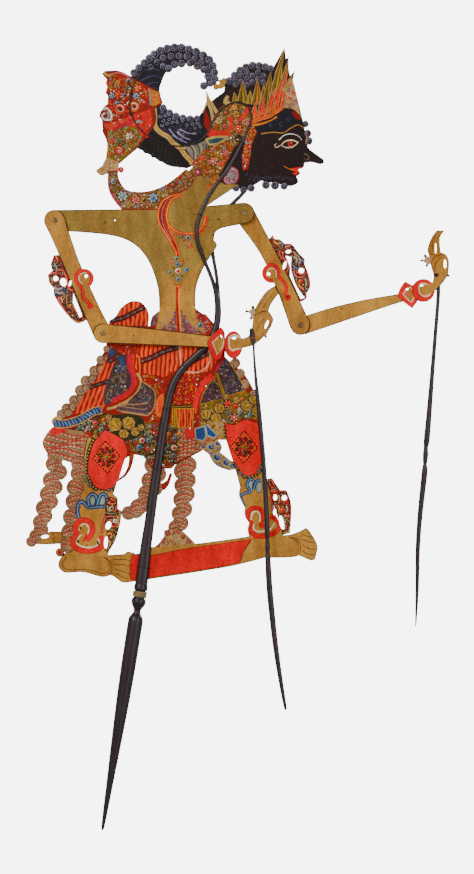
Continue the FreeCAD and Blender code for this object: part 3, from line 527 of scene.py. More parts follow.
def draw_trunk(art):
    """Neck, shoulders, chest and belly."""
    hide = outline((-78.4, 427), [(22, 428)], [(27, 439), (36, 445), (47, 448)], [(56, 466)], [(75, 490)],
                   [(100, 480)], [(98, 447)], [(85, 438.5), (74, 431)], [(100, 433.4), (111.1, 434.3)],
                   [(111.1, 413.3)], [(99, 411), (88, 408.5), (82, 404), (80.6, 397)],
                   [(84, 392), (80.6, 385)], [(71.5, 371), (65, 356), (62.6, 344), (62.5, 328)],
                   [(62, 300)], [(26, 300)], [(26.2, 328), (24.5, 351), (15, 377), (0, 393.5), (-20, 401.2),
                                              (-50, 404.6), (-78.4, 406)])
    art.mass([hide, circle(*LEFT_SHOULDER, SHOULDER_DISC), circle(*RIGHT_SHOULDER, SHOULDER_DISC)], "trunk")
    art.paint(outline((26.6, 372), [(30, 350), (28, 328)], [(28, 302)], [(61, 302)],
                      [(61.4, 344), (64, 362), (70, 378)], [(58, 366), (46, 352), (34, 362)]), "hide")
    for x, z, r in ((-18, 416.5, 1.6), (-28, 414.5, 1.2), (-31, 408, 0.8), (103, 428.5, 0.9),
                    (-60, 421, 0.7)):
        art.paint(circle(x, z, r), "hide_dark")
    art.holes([circle(-18, 416.5, 0.8, 8)])


def draw_collar_bands(art):
    """Curved collar: a rust band of beads between three orange rims."""
    outer = smooth([(48, 443), (38, 441), (30, 436), (26, 428), (25, 420), (27, 412), (32, 404), (38, 394),
                    (43, 385), (43.5, 381)])
    inner = smooth([(48, 441), (40, 438.5), (35.5, 431), (33.6, 422), (35, 413.5), (40, 407.5), (47, 404.4),
                    (55, 403.4), (62, 404.2), (67, 407), (70.5, 412), (72.5, 421)])
    fold = smooth([(48, 441), (40, 438.5), (35.5, 431), (33.6, 422), (34.4, 413), (37.5, 405), (41.5, 397),
                   (45, 389), (46.6, 381.5)])
    band = outer + fold[::-1]
    art.paint(inset(band, -0.5), "deep_red")
    art.paint(band, "rust")
    for shift, ink, bead_size in ((0.30, "deep_red", 0.0), (0.42, "lilac", 0.62), (0.68, "brown", 0.0),
                                  (0.70, "flame", 0.5)):
        middle_line = []
        for k in range(0, min(len(outer), len(fold)) - 6):
            a, b = outer[k], fold[k]
            middle_line.append((a[0] + (b[0] - a[0]) * shift, a[1] + (b[1] - a[1]) * shift))
        if bead_size:
            for x, z, _ in spaced(middle_line, 1.9):
                art.paint(circle(x, z, bead_size, 6), ink, band)
        else:
            art.paint(stroke(middle_line, 1.9, 1.0), ink, band)
    for line, width in ((outer, 1.9), (fold, 1.3), (inner, 2.0)):
        art.paint(stroke(line, width + 0.8), "deep_red")
        art.paint(stroke(line, width), "orange")
        art.paint(stroke(line, width * 0.42), "peach")


def draw_necklace(art):
    """Beads, flames and gems under the collar, and the stripe down the belly."""
    for x, z, _ in spaced(smooth([(39, 403), (46, 401.4), (54, 400.6), (62, 401), (68, 404), (73, 411),
                                  (75, 419)]), 2.4):
        art.paint(circle(x, z, 1.2), "deep_red")
        art.paint(circle(x, z, 0.75, 7), "flame")
    commas(art, ((71, 409, 1.2, "orange"), (73.5, 414, 1.4, "flame"), (74.5, 419, 1.6, "orange"),
                 (69, 406, 0.8, "red")), 5.0, 0.8, 1.6, "deep_red")
    jewels(art, ((43.4, 378.6, 2.4, "mint", "teal"), (44.4, 372.8, 2.5, "pale_blue", "teal"),
                 (45, 366, 3.5, "cream", "red"), (36.5, 365, 2.5, "mint", "olive"),
                 (53.5, 367.4, 2.8, "pale_blue", "teal"), (45, 357.8, 2.8, "mint", "teal"),
                 (55, 399.4, 2.9, "mint", "teal"), (48.6, 400.2, 2.0, "grey", "teal"),
                 (57.4, 392.6, 2.0, "pink", "red"), (49, 376.8, 2.0, "peach", "red"),
                 (39, 374.4, 1.9, "pink", "red")))
    commas(art, ((51, 373.4, 0.8, "rose"), (48.6, 370.6, 0.3, "teal"), (40.6, 369.8, 2.2, "olive"),
                 (40.8, 361.6, 1.0, "olive"), (49.4, 361.6, 2.2, "teal"), (41.5, 356, 1.9, "peach"),
                 (48.8, 356, 1.2, "flame"), (42, 352.4, 1.2, "flame"), (48.4, 352.4, 1.9, "orange"),
                 (43, 382, 2.4, "peach"), (38.4, 378, 0.8, "orange"), (42.6, 398.6, 0.6, "flame"),
                 (47.6, 396.8, 2.6, "peach"), (52, 396.4, 0.4, "rose"), (59.4, 389.6, 1.0, "red"),
                 (55, 390, 2.2, "rose"), (60.4, 397.4, 0.4, "pink"), (50, 403, 0.1, "orange")), 3.8, 0.7,
           1.2, "brown")
    belly_stripe(art, [(44.8, 352), (44.6, 338), (44.8, 324), (46.6, 303)],
                 [(46.2, 351), (46, 338), (46.6, 324), (48, 303)], 351)
    art.paint(circle(45, 350.6, 2.3), "deep_red")
    art.paint(circle(45, 350.6, 1.7), "flame")


def draw_belly(art):
    """Hide under the navel, with rings and small flowers beside the stripe."""
    belly = outline((26, 331), [(62, 331)], [(63.4, 322), (67, 313), (73, 303)], [(21, 303)], [(25, 316)])
    art.paint(belly, "hide")
    cluster = outline((43, 329), [(39, 325), (37, 317), (30, 313), (25, 306), (24, 302)], [(74, 302)],
                      [(66, 309), (60, 313), (55, 320), (50, 328)], [(46, 330)])
    art.paint(inset(cluster, 1.6), "mauve", belly)
    filigree(art, cluster, None, ("pink", "lilac", "rose", "rose", "curl_light", "red"), 2.9, "brown", 0.0,
             0.1, 0.0)
    jewel(art, 67, 312, 3.2, "mint", "teal")
    jewel(art, 63.4, 320, 2.0, "peach", "red")
    for x, z, r in ((37, 321.5, 3.6), (31, 314, 3.0), (56.5, 317.5, 3.2), (36, 310, 2.6), (62, 309, 2.6)):
        ring = circle(x, z, r, 18)
        art.paint(stroke(ring + ring[:1], 1.0), "hide_dark", belly)
        art.paint(stroke(ring + ring[:1], 0.45), "curl_light", belly)
    belly_stripe(art, [(44.7, 331), (44.8, 324), (46.6, 303)], [(46.4, 331), (46.6, 324), (48, 303)], 331)


def draw_tails(art):
    """Hanging ribbons of curls behind the legs, the link and the sickle."""
    far_left = (
        (-77, 182, 9), (-79, 173, 8.5), (-73.5, 165, 8), (-82, 157, 8.5), (-78, 150, 8),
        (-85, 143, 8.5), (-82.5, 135.5, 8), (-89, 129, 8.5), (-88, 121, 7.6), (-92.5, 115, 7.8),
        (-92, 107.5, 7.6), (-97, 101, 7), (-101.5, 95.5, 5.6))
    centre = (
        (20, 172, 9), (24.5, 163, 9), (17, 156.5, 9), (22, 149, 8), (13.5, 143.5, 9), (12, 134, 9),
        (5.5, 130, 8.6), (3, 126.5, 8), (-4.5, 124, 7.2))
    right = (
        (55, 172, 9), (49.5, 166, 9), (54.5, 157, 8.6), (49.5, 151.5, 8.5), (53.5, 143, 8.6),
        (48.5, 137.5, 8.5), (51, 128, 8.5), (46.5, 123.5, 8.2), (47.5, 114, 8.2), (42.8, 109.5, 7.8))
    link = outline((-90, 102), [(-83, 105.4), (-72, 105.4)], [(-64, 100)], [(-66, 94)],
                   [(-84, 92.6), (-100, 93)])
    art.mass([link], "hide")
    for x, z, r, start, flip in ((-93, 97, 3.0, 0.4, 1), (-70, 99.6, 3.4, 2.4, -1), (-79, 97, 2.4, 1.2, 1),
                                 (-80, 102.6, 1.6, 3.0, -1)):
        swirl(art, x, z, r, "brown", start, flip, 1.2, 0.7)
    for run in (far_left, centre, right):
        tail(art, run)
    sickle = outline((30, 146), [(35.5, 151.5), (39.6, 163.6)], [(36.5, 163.8)], [(33.5, 156.5), (28, 153.5)])
    art.mass([sickle], "rust", "deep_red", 0.5)


# One ribbon of curls hangs in front of the left leg: place and radius of each curl.
LEFT_TAIL = ((-54, 173, 8), (-54.7, 163.5, 8), (-57.6, 149.5, 9), (-58.8, 135.5, 9), (-61.4, 120, 9),
             (-63.6, 105.5, 8.4), (-65.4, 91.8, 7.6))


RIGHT_ANKLE_CREST = outline(
    (133, 158), [(139, 159)], [(147, 147)], [(153.5, 147)], [(158.5, 131), (157, 104)], [(150, 102)],
    [(146, 116)], [(138, 140)])


def draw_legs(art):
    """Hide of the legs, feet, foot bar and right ankle crest, and the bar's red paint and panel."""
    left_leg = outline(
        (-46, 200), [(-10, 190)], [(-10, 176), (-15, 158), (-19.5, 143)], [(-15.3, 139)], [(-15, 128)],
        [(-11.5, 126.5)], [(-12.5, 115), (-17, 98), (-24, 85.5)], [(-26, 78)], [(-62, 82)], [(-63, 100)])
    left_band = [(-54, 176), (-40, 176), (-40, 86), (-62, 90), (-64, 104), (-54, 140)]
    left_foot = outline(
        (-66, 86), [(-73, 78), (-74.5, 71), (-68, 64.4), (-50, 64.8), (-31, 60), (-21, 61.5), (-11, 54.6),
                    (-2, 55)],
        [(2, 84)], [(-5, 85.7)], [(-9, 83)], [(-25, 82)])
    bar = outline(
        (-6, 83), [(7, 83.4)], [(18, 90)], [(65, 93.6), (118, 101)], [(128, 101)], [(128, 78.2)],
        [(100, 71.2), (60, 64.4), (14, 57.4)], [(-4, 54.8)])
    panel = outline(
        (18, 88), [(25, 93), (31, 101)], [(31, 106.5)], [(44, 110)], [(52, 104)], [(58, 98)], [(65, 91)])
    right_leg = outline(
        (92, 205), [(94, 194), (101, 172), (107, 150)], [(106, 141), (111.8, 129)],
        [(111.8, 121), (116, 114)], [(114.5, 107), (117, 97)], [(150, 98)], [(149, 110), (143, 121)],
        [(139, 140)], [(134, 158)], [(131, 162)], [(128.5, 205)])
    right_foot = outline(
        (112, 98), [(158, 102.5)], [(168, 106.4), (173, 109.4)], [(178, 104), (184.5, 91), (182, 78)],
        [(178, 76.5), (166, 81.5)], [(157, 79.6), (131, 79.2)], [(112, 74)])
    art.mass([left_leg, left_band, left_foot, bar, panel, right_leg, right_foot, RIGHT_ANKLE_CREST,
              circle(-73, 84.6, 4.4)], "hide")
    tail(art, LEFT_TAIL)
    red = outline(
        (4, 82), [(18, 81.5), (50, 87.6), (80, 92), (110, 96.4), (119, 98)], [(112, 89), (107, 75)],
        [(90, 71), (60, 66.2), (30, 61.6), (8, 58.2)], [(-2, 57)], [(-3, 68), (-1, 82)])
    art.paint(inset(red, -0.5), "brown")
    art.paint(red, "red")
    filigree(art, inset(panel, 1.4), "tan", ("pink", "rose", "olive", "curl_light"), 3.2, "hide_dark", 0.1,
             0.3, 0.0)
    blossoms(art, ((29, 96.5, 3.0, "pink", "red"), (25, 92, 2.0, "rose", "olive"),
                   (35, 104, 2.6, "rose", "cream"), (43, 105.5, 2.8, "pink", "olive"),
                   (50, 100.4, 2.6, "rose", "olive"), (56, 96, 2.4, "pink", "red")), 6, "brown")


def draw_soles(art):
    """Soles, toes and toe lines."""
    for line in ([(-66, 80), (-70.5, 74), (-68, 68.4), (-60, 67.2), (-50, 67.7), (-39.5, 66), (-31, 63.4),
                  (-25.5, 64.8), (-23, 69.6), (-23.6, 74.4), (-27.6, 79)],
                 [(-30, 80), (-24, 77), (-21, 71), (-22, 64.5), (-26, 62)],
                 [(-19, 77.5), (-10, 77.6), (-2, 76.5)], [(-19, 73), (-10, 72.2), (-3, 70.5)],
                 [(-18, 68), (-10, 65.5), (-3, 63)], [(-17, 63.6), (-11, 60.5), (-4, 58)],
                 [(155, 100), (162, 97), (165.5, 91), (164.5, 84.5)],
                 [(158, 100), (164.5, 97), (167.5, 91), (166.5, 83.5)],
                 [(168, 103), (175, 100.5), (180, 100)], [(169, 98), (176, 95), (182.5, 94.5)],
                 [(169.5, 92), (176, 88.5), (183, 88)], [(169, 86.5), (175, 83), (181.5, 82.5)],
                 [(107, 75), (111, 86), (118, 96)]):
        art.line(line, "edge", 0.75, 0.5)


def pricked_lozenge(art, x, z, turn, cloth):
    """Two rows of dots in a lozenge, with a dark flowered middle."""
    half_width, half_height = 13.4, 16.2
    diamond = [(x + half_width * math.cos(a + turn), z + half_height * math.sin(a + turn))
               for a in (0, TURN / 4, TURN / 2, 3 * TURN / 4, TURN)]
    for size, ink in ((1.0, "black"), (0.86, "amber")):
        line = [(x + (px - x) * size, z + (pz - z) * size) for px, pz in diamond]
        for px, pz, _ in spaced(line, 2.9):
            art.paint(circle(px, pz, 0.95, 7), ink, cloth)
    for ring, count, length, inks in (
            (7.4, 9, 5.0, ("rose", "olive", "deep_red")), (4.4, 6, 4.4, ("gold", "pink", "olive"))):
        for k in range(count):
            a = TURN * k / count + turn
            px, pz = x + ring * math.cos(a), z + ring * 1.12 * math.sin(a)
            art.paint(circle(px, pz, 2.1), ("brown", "black")[k % 2], cloth)
            comma(art, px, pz, length, a + 0.6, inks[k % 3], 0.7, 1.6, cloth, "black")
    jewel(art, x, z, 2.3, "gold", "olive", cloth)


def thigh_cloth(art, cloth, thigh, halo, border, x, z, turn):
    """Red cloth with a dark dotted border of gold pearls, each with a painted glint, and a lozenge round (x,
    z).
    """
    art.paint(inset(cloth, -halo), "leaf", thigh)
    for px, pz, _ in spaced(inset(cloth, -border) + [inset(cloth, -1.7)[0]], 3.3):
        art.paint(circle(px, pz, 1.15), "black", thigh)
        art.paint(circle(px, pz, 0.85, 8), "gold", thigh)
        # White dot at each pearl's upper left: a painted glint.
        art.paint(circle(px - 0.2, pz + 0.25, 0.35, 6), "white", thigh)
    art.paint(inset(cloth, -0.6), "brown")
    art.paint(cloth, "scarlet")
    pricked_lozenge(art, x, z, turn, cloth)


def draw_thigh_cloths(art):
    """The two red thigh cloths, and the small dark flowers beside them."""
    left_cloth = outline(
        (-28, 207), [(-20, 203), (-10, 197), (-5.5, 187)], [(-8, 176), (-14, 158)],
        [(-20, 150), (-28, 147.4)], [(-38, 151), (-45, 165)], [(-44, 178), (-39, 194), (-33, 201)])
    right_cloth = outline((92, 214), [(101, 212), (112, 217), (124, 214)], [(128.6, 196), (128.8, 176)],
                          [(124, 164), (112, 161)], [(102, 174), (95, 192)])
    left_thigh = [(-46, 200), (-6, 196), (-6, 176), (-19, 146), (-48, 146)]
    right_thigh = [(90, 213), (129, 215), (129, 158), (105, 157), (99, 172), (91, 200)]
    thigh_cloth(art, left_cloth, left_thigh, 4.0, 2.0, -26.5, 180, 0.1)
    thigh_cloth(art, right_cloth, right_thigh, 3.2, 1.7, 111, 190, -0.05)
    for x, z, r in ((-47, 156, 2.2), (-43, 152, 2.4), (-46, 161, 1.8), (-24, 147, 2), (-19, 150, 1.6),
                    (103, 171, 1.8), (107, 164, 2.2), (112, 160.5, 1.8), (126, 166, 2), (127, 171, 1.6)):
        flower(art, x, z, r, "grey", "olive", 5, "black")


def draw_knee_scrolls(art):
    """Blue scrolls round pale ovals on the knees."""
    knees = outline((-60, 160), [(-14, 160)], [(60, 160)], [(129, 164)], [(138, 120)], [(60, 118)],
                    [(-60, 118)])
    for x, z, a, b in ((-40.5, 137, 4.4, 5.6), (-31, 137, 4.4, 5.4), (118, 151, 4, 6), (126, 150, 3.4, 6)):
        art.paint(ellipse(x, z, a, b), "black", knees)
        art.paint(ellipse(x, z, a - 0.6, b - 0.6), "mint", knees)
    for path, width in (
            ([(-54, 119), (-55.5, 127), (-54, 134), (-50, 135), (-46, 131), (-43, 130)], 3.4),
            ([(-43, 130), (-45, 138), (-41, 143), (-37, 141), (-36, 135), (-38, 131)], 3.2),
            ([(-36, 131), (-33, 141), (-29, 143), (-26, 139), (-27, 132)], 3.2),
            ([(-44, 129), (-36, 130), (-27, 130), (-25, 126)], 2.6),
            ([(107, 141), (112, 144), (117, 145), (114, 152), (117, 158), (121, 155), (120, 147)], 2.4),
            ([(120, 147), (124, 156), (128, 157)], 2.4), ([(107, 141), (109, 135), (112, 130)], 2.6)):
        art.rimmed(path, "blue", width, "black")
        art.line(path, "pale_blue", width * 0.34)
    for x, z in ((-62, 96), (-46, 92), (130, 118), (123, 112)):
        art.paint(circle(x, z, 0.8, 7), "hide_dark")


def draw_ankle_bands(art):
    """Red ankle bands with cream lines and a curled tongue."""
    left_band_line = [(-33, 101), (-30.5, 95), (-33, 89), (-42, 86.2), (-52, 86.8), (-59, 91), (-60, 98),
                      (-56, 103), (-58, 109), (-54, 115.5), (-48, 117), (-42, 114), (-40, 107), (-43, 101),
                      (-47, 97)]
    ring_cuff(art, left_band_line, 4.6, "scarlet")
    art.line([(-53.6, 106.6), (-52.6, 111), (-49, 113.2), (-45.4, 111.6), (-43.8, 107), (-46, 102.4)],
             "cream", 1.5)
    art.line([(-35, 99), (-34, 94), (-40, 90), (-49, 90), (-56, 94), (-54, 100), (-51, 102)], "cream", 1.6)
    art.line([(-46.4, 104), (-47, 100), (-49, 95.4)], "red", 1.8, 2.4)
    for x, z in ((-55, 95.5), (-35, 94), (-52.5, 109)):
        art.paint(ellipse(x, z, 1.0, 2.0, 0.4, 10), "black")
    ring_cuff(art, [(120, 101), (131, 101), (141, 104), (146.5, 111), (143, 118), (137, 121)], 4.2)
    ring_cuff(art, [(122, 102.5), (117, 106), (118, 113), (116, 118), (114.5, 123), (118, 128), (124, 129),
                    (129, 126), (130, 120), (128, 114), (130, 109)], 4.0)
    art.line([(118.4, 117), (118.4, 121), (120.4, 125), (124.6, 125.4), (127, 121.6), (126.4, 115)],
             "cream", 1.6)
    art.line([(121.4, 113), (120.2, 108.6), (124, 105.8), (131, 105.8), (138, 108.6), (141.4, 114)],
             "cream", 1.6)


def draw_ankle_crests(art):
    """The painted lines and gems of both flame-shaped ankle crests."""
    left_crest = outline((-27, 140), [(-22, 141)], [(-15.3, 138)], [(-13, 122), (-14, 108)],
                         [(-19, 92), (-25, 84)], [(-29, 86)], [(-27, 104)], [(-29, 122)])
    draw_crest(art, left_crest, (([(-22.5, 139), (-20.4, 137), (-17.4, 137)], "red", 2.4),
                                 ([(-25, 134.6), (-21, 133), (-17, 134)], "orange", 2.2),
                                 ([(-25.4, 131), (-25, 127.6), (-22.4, 125)], "gold", 1.8),
                                 ([(-17.4, 130.6), (-17, 127.6), (-19.4, 125.4)], "orange", 1.6),
                                 ([(-26, 124), (-20, 123.4), (-14.6, 124.6)], "leaf", 2.8),
                                 ([(-26, 120), (-22.4, 121), (-18, 120)], "rose", 2.0),
                                 ([(-27, 121), (-30, 112), (-31, 103)], "red", 2.2),
                                 ([(-15.6, 121), (-14.4, 116), (-15, 110)], "peach", 1.8),
                                 ([(-22.8, 112), (-20, 110.6), (-17, 111)], "red", 2.0),
                                 ([(-24.4, 107), (-20.6, 107.6), (-17, 105.6)], "olive", 1.8),
                                 ([(-25.4, 102.4), (-23, 104), (-21, 101.4), (-23, 99.4)], "peach", 1.8),
                                 ([(-19, 103), (-18.4, 99), (-20.4, 95)], "olive", 2.0),
                                 ([(-23.8, 97), (-22.6, 93), (-24.6, 90)], "gold", 1.9),
                                 ([(-26.4, 92), (-26, 88), (-27.4, 86)], "orange", 1.6)),
               ((-21.7, 128.6, 2.7, "cream", "purple"), (-17.8, 116, 2.5, "white", "mint"),
                (-22, 116.6, 1.6, "peach", "red")), ("tan", "olive", "orange", "pink", "hide_pale"))
    draw_crest(art, RIGHT_ANKLE_CREST, (([(138.4, 158), (139.8, 154.6), (141.4, 151.6)], "red", 2.2),
                                        ([(136.4, 154), (138, 150.4), (141, 149)], "rose", 2.0),
                                        ([(141.6, 154.6), (144.4, 150.6), (147, 147)], "black", 1.2),
                                        ([(146.6, 146), (150, 146.4), (153.6, 146)], "scarlet", 2.4),
                                        ([(137.6, 146), (140, 145.6), (143, 145.2)], "orange", 1.8),
                                        ([(145.6, 142), (146.6, 138), (145.6, 134)], "hide_pale", 1.8),
                                        ([(155.4, 143), (157.6, 137), (158, 130), (157.6, 118)], "scarlet",
                                         1.9), ([(137.6, 134), (139.4, 130), (138.8, 126.4)], "pink", 1.8),
                                        ([(145, 131.6), (146.6, 128.6), (145.4, 125)], "peach", 1.6),
                                        ([(153, 131), (154.6, 128), (153.4, 125)], "mint", 1.8),
                                        ([(152.6, 122), (155, 120), (157, 121)], "orange", 1.8),
                                        ([(153.4, 118.6), (155.4, 116.6), (157.4, 117.4)], "olive", 1.7),
                                        ([(153.6, 114.4), (155.4, 113), (157.4, 113.4)], "black", 1.4),
                                        ([(157, 111), (155, 105), (150.6, 104)], "gold", 1.8),
                                        ([(137, 141), (139, 133.6), (141.6, 129.6)], "red", 1.6)),
               ((149.6, 126.7, 2.7, "flame", "red"), (142.4, 133.2, 1.5, "mint", "olive")),
               ("scarlet", "olive", "orange", "pink", "cream"))
    art.paint(circle(-73, 84.6, 2.4), "rose")


def gold_leaf(art, x, z, size, angle):
    """Broad gilded leaf: fanned veins inside a rolled, lobed edge."""
    rim = []
    for k in range(15):
        t = k / 14
        a = angle + (t - 0.5) * 4.4
        reach = size * (0.50 + 0.05 * math.sin(k * 2.6))
        rim.append((x + reach * math.cos(a), z + reach * math.sin(a)))
    root = (x - size * 0.50 * math.cos(angle), z - size * 0.50 * math.sin(angle))
    body = rim + [root]
    art.paint(inset(body, -0.7), "black")
    art.paint(body, "hide_pale")
    art.paint(inset(body, 0.8), "gold")
    for k in range(1, 14, 2):
        px, pz = rim[k]
        qx, qz = root[0] + (px - root[0]) * 0.86, root[1] + (pz - root[1]) * 0.86
        art.paint(stroke([root, (qx, qz)], 0.35, 0.75), ("brown", "hide_pale")[k % 4 // 2], body)
    flip = 1 if math.sin(angle) > 0 else -1
    swirl(art, rim[2][0], rim[2][1], size * 0.16, "brown", angle, flip, 1.2, 0.5)
    swirl(art, rim[12][0], rim[12][1], size * 0.16, "brown", angle, -flip, 1.2, 0.5)


def pleat_stripes(art, region, angle):
    """Orange folds over red, each with a light ridge and a dark side."""
    art.paint(region, "deep_red")
    pitch = 4.4
    count = int(middle_and_reach(region)[2] / pitch) + 1
    for k in range(-count, count + 1):
        phase = rng.uniform(0, TURN)
        for shift, width, ink in ((0.0, 3.4, "red"), (0.2, 2.5, "orange"), (0.5, 1.1, "flame"),
                                  (-1.9, 0.5, "brown")):
            line = wavy_line(region, angle, k * pitch + shift, 0.55, 0.42, phase, 16)
            art.paint(stroke(line, width), ink, region)


def dark_band(art, path, width, clip):
    """Dark cross band with a row of grey-violet dots between two rust lines."""
    line = smooth(path, steps=5)
    art.paint(stroke(line, width + 1.4), "deep_red", clip)
    art.paint(stroke(line, width), "black", clip)
    for k, (x, z, _) in enumerate(spaced(line, 2.5)):
        art.paint(circle(x, z, width * 0.27, 8), ("mauve", "grey", "rust")[k % 3], clip)
        art.paint(circle(x, z, width * 0.12, 6), "black", clip)


def draw_cloth(art):
    """Hide of the skirt and of the hump behind the waist, with the round curls along the hips."""
    hump = outline(
        (14.5, 306), [(15.8, 323), (9, 334), (-2, 335.6), (-12, 329), (-17, 321), (-24, 316)], [(-24, 306)])
    cloth = outline((17, 311), [(19, 320), (26, 326)], [(62, 329)], [(69, 323.5)], [(73, 322.5)],
                    [(82, 312)], [(91, 292), (92, 280)], [(112, 262), (121, 246)], [(126.5, 240)],
                    [(128.5, 215), (130.5, 180), (131, 160)], [(108, 160)], [(93, 197)], [(85, 197)],
                    [(68, 185.5)], [(42, 172)], [(38.5, 168.2)], [(19, 168.2)], [(10.5, 180.5)],
                    [(-1, 183)], [(-8, 178)], [(-14, 158)], [(-45, 158)], [(-61, 174)], [(-84, 181)],
                    [(-90.5, 193), (-86, 204), (-79, 211)], [(-78, 220)], [(-66, 227)], [(-27, 288)],
                    [(-25, 311)])
    art.mass([hump], "rust", "edge", 0.8)
    pleat_stripes(art, inset(hump, 0.8), math.pi / 2 - 0.05)
    dark_band(art, [(-23, 316), (-10, 319), (2, 325), (13, 331)], 4.4, inset(hump, 0.8))
    art.mass([cloth], "rust", "edge", 0.8)
    for region in (outline((-84, 184), [(-60, 178)], [(-44, 178)], [(-44, 158), (-52, 162), (-60, 172)],
                           [(-84, 178)]), outline((62, 206), [(90, 214)], [(104, 200)], [(98, 180)],
                                                  [(84, 190)], [(66, 184)])):
        filigree(art, region, "curl", ("pink", "curl_red", "hide_pale", "rose", "curl_light"), 3.2,
                 "curl_dark", 0.0, 0.2, 0.0)
    for row in ((-26.5, 288, 3.6), (-32, 277, 4.8), (-38.5, 266, 5.6), (-47, 256, 5.8), (-52.5, 246.5, 5.8),
                (-58.5, 236.5, 5.8), (-66, 228.5, 5.6), (-71.5, 222.8, 5)):
        side_curl(art, *row, flip=-1)
        side_curl(art, row[0] + 6.6, row[1] + 1.6, row[2] * 0.84, -1)
    for row in ((102.3, 273.8, 5.2), (107, 263.4, 5.2), (111.5, 252.8, 5.4), (120.5, 243, 4.6)):
        side_curl(art, *row)
        side_curl(art, row[0] - 5.4, row[1] - 3.4, row[2] * 0.8)


def draw_sashes(art):
    """Striped sash cloths with dark cross bands, at the left hip and round the waist."""
    left_sash = outline((-20, 292), [(-27, 278), (-37, 258), (-52, 237), (-61, 223)], [(-30, 226)],
                        [(-24, 240), (-20, 256), (-10, 274)], [(-8, 292)])
    pleat_stripes(art, left_sash, math.radians(70))
    dark_band(art, [(-44, 249), (-33, 253), (-20, 257)], 3.6, left_sash)
    art.paint(ellipse(-21, 283, 8, 6, -0.4), "purple", left_sash)
    art.paint(ellipse(-23, 285, 4.4, 3.2, -0.4), "blue", left_sash)
    dark_band(art, [(-25, 275), (-16, 280), (-8, 286)], 4.2, left_sash)
    waist = outline((-22, 293), [(92, 291)], [(88, 283), (77, 266)],
                    [(55, 262), (40, 266), (28, 258), (8, 262)], [(-2, 274), (-12, 284)])
    art.paint(waist, "deep_red")
    pleat_stripes(art, waist, math.radians(86))
    dark_band(art, [(6, 275), (18, 279), (30, 285), (46, 290)], 4.8, waist)
    dark_band(art, [(54, 272), (64, 278), (76, 284)], 4.2, waist)
    filigree(art, outline((-22, 292), [(7, 292)], [(6, 282)], [(-6, 284)], [(-17, 286)]), "rust",
             ("red", "rose", "orange", "scarlet"), 3.0, "brown", 0.0, 0.1, 0.0)
    for path in ([(46.5, 292), (47, 281), (48.6, 270)],
                 [(75, 291), (77, 283), (76.5, 275), (71, 267.5), (62, 264.4), (50, 266)]):
        art.line(path, "pink", 1.4, tone=1.5)


def draw_floral_leaf(art):
    """Flowered leaf with blue and crimson rims."""
    leaf = outline((-8, 282), [(-17, 272), (-22, 258), (-27, 244), (-27, 234)],
                   [(-16, 238), (-6, 246), (-4, 258), (-5, 270)])
    art.paint(inset(leaf, -2.2), "purple")
    filigree(art, leaf, "purple", ("olive", "lilac", "grey", "gold", "mauve", "mint"), 3.2, "black", 0.22,
             0.3, 0.3)
    art.line([(-13, 280), (-10, 274), (-15, 264)], "blue", 4.2, 1.5)
    art.line([(-3, 283), (-3, 272), (1, 260), (0, 250), (-8, 242), (-20, 237)], "rose", 6.6, 4.2)
    art.line([(-1, 283), (-1, 272), (3, 259), (1, 249), (-8, 240), (-22, 234)], "red", 2.6, 2.2)
    beads(art, [(6, 280), (7, 268), (6, 258)], 4.0, "deep_red", "flame", 2.0, None, "brown")
    art.line([(4, 264), (8, 256), (5, 246), (-4, 237), (-18, 230), (-26, 228)], "hide_pale", 2.6)


def draw_apron(art):
    """Panels of the apron left of the rod."""
    apron = outline((10, 264), [(30, 260), (36, 250), (33, 238), (30, 222), (28, 212)], [(14, 212)],
                    [(20, 228), (21, 244), (10, 256)])
    filigree(art, apron, "rust", ("red", "rose", "gold", "peach"), 3.4, "brown", 0.0, 0.9, 0.2)
    art.paint(outline((24, 238), [(29, 243), (31, 238), (29, 222), (24, 221), (22, 228)]), "flame")
    art.paint(outline((25.4, 236), [(28, 239), (29, 232), (27, 224), (25, 226)]), "orange")
    grey_panel = outline((9, 255), [(20, 247), (22, 240), (20, 228), (14, 222)], [(-12, 226)],
                         [(-4, 236), (6, 246)])
    art.paint(inset(grey_panel, -1.2), "tan")
    filigree(art, grey_panel, "purple", ("mauve", "olive", "grey", "teal", "rust"), 2.8, "black", 0.0, 0.2,
             0.05)
    beads(art, [(-16, 229), (-2, 227), (12, 225)], 4.4, "mauve", "purple", 2.6, None, "tan")
    beads(art, [(-14, 234), (0, 232.4), (15, 234)], 1.2, "tan", "brown", 2.1)


def draw_striped_panel(art):
    """The panel right of the rod, with its striped square and beaded edge."""
    rear = outline((38, 262), [(48, 262), (60, 262), (76, 262)], [(78, 254), (70, 244), (66, 232)],
                   [(66, 205)], [(34, 205)], [(36, 232)])
    filigree(art, rear, "deep_red", ("red", "scarlet", "rose", "peach"), 3.2, "brown", 0.0, 0.4, 0.22)
    art.line([(80, 262), (70, 252), (64, 240), (62, 226)], "red", 6.4, 4.4)
    beads(art, [(36, 230), (48, 230.5), (60, 231)], 2.8, "black", "gold", 2.0, None, "brown")
    panel = [(44, 228), (60, 228), (59, 210), (45, 210)]
    art.paint(inset(panel, -1.4), "gold")
    art.paint(panel, "deep_red")
    stripes(art, panel, math.pi / 2, 2.8, ("flame", "orange"), 0.3, 0.55)
    beads(art, [(41, 229), (40.5, 218), (41, 208)], 3.4, "gold", "rust", 2.2, None, "olive")


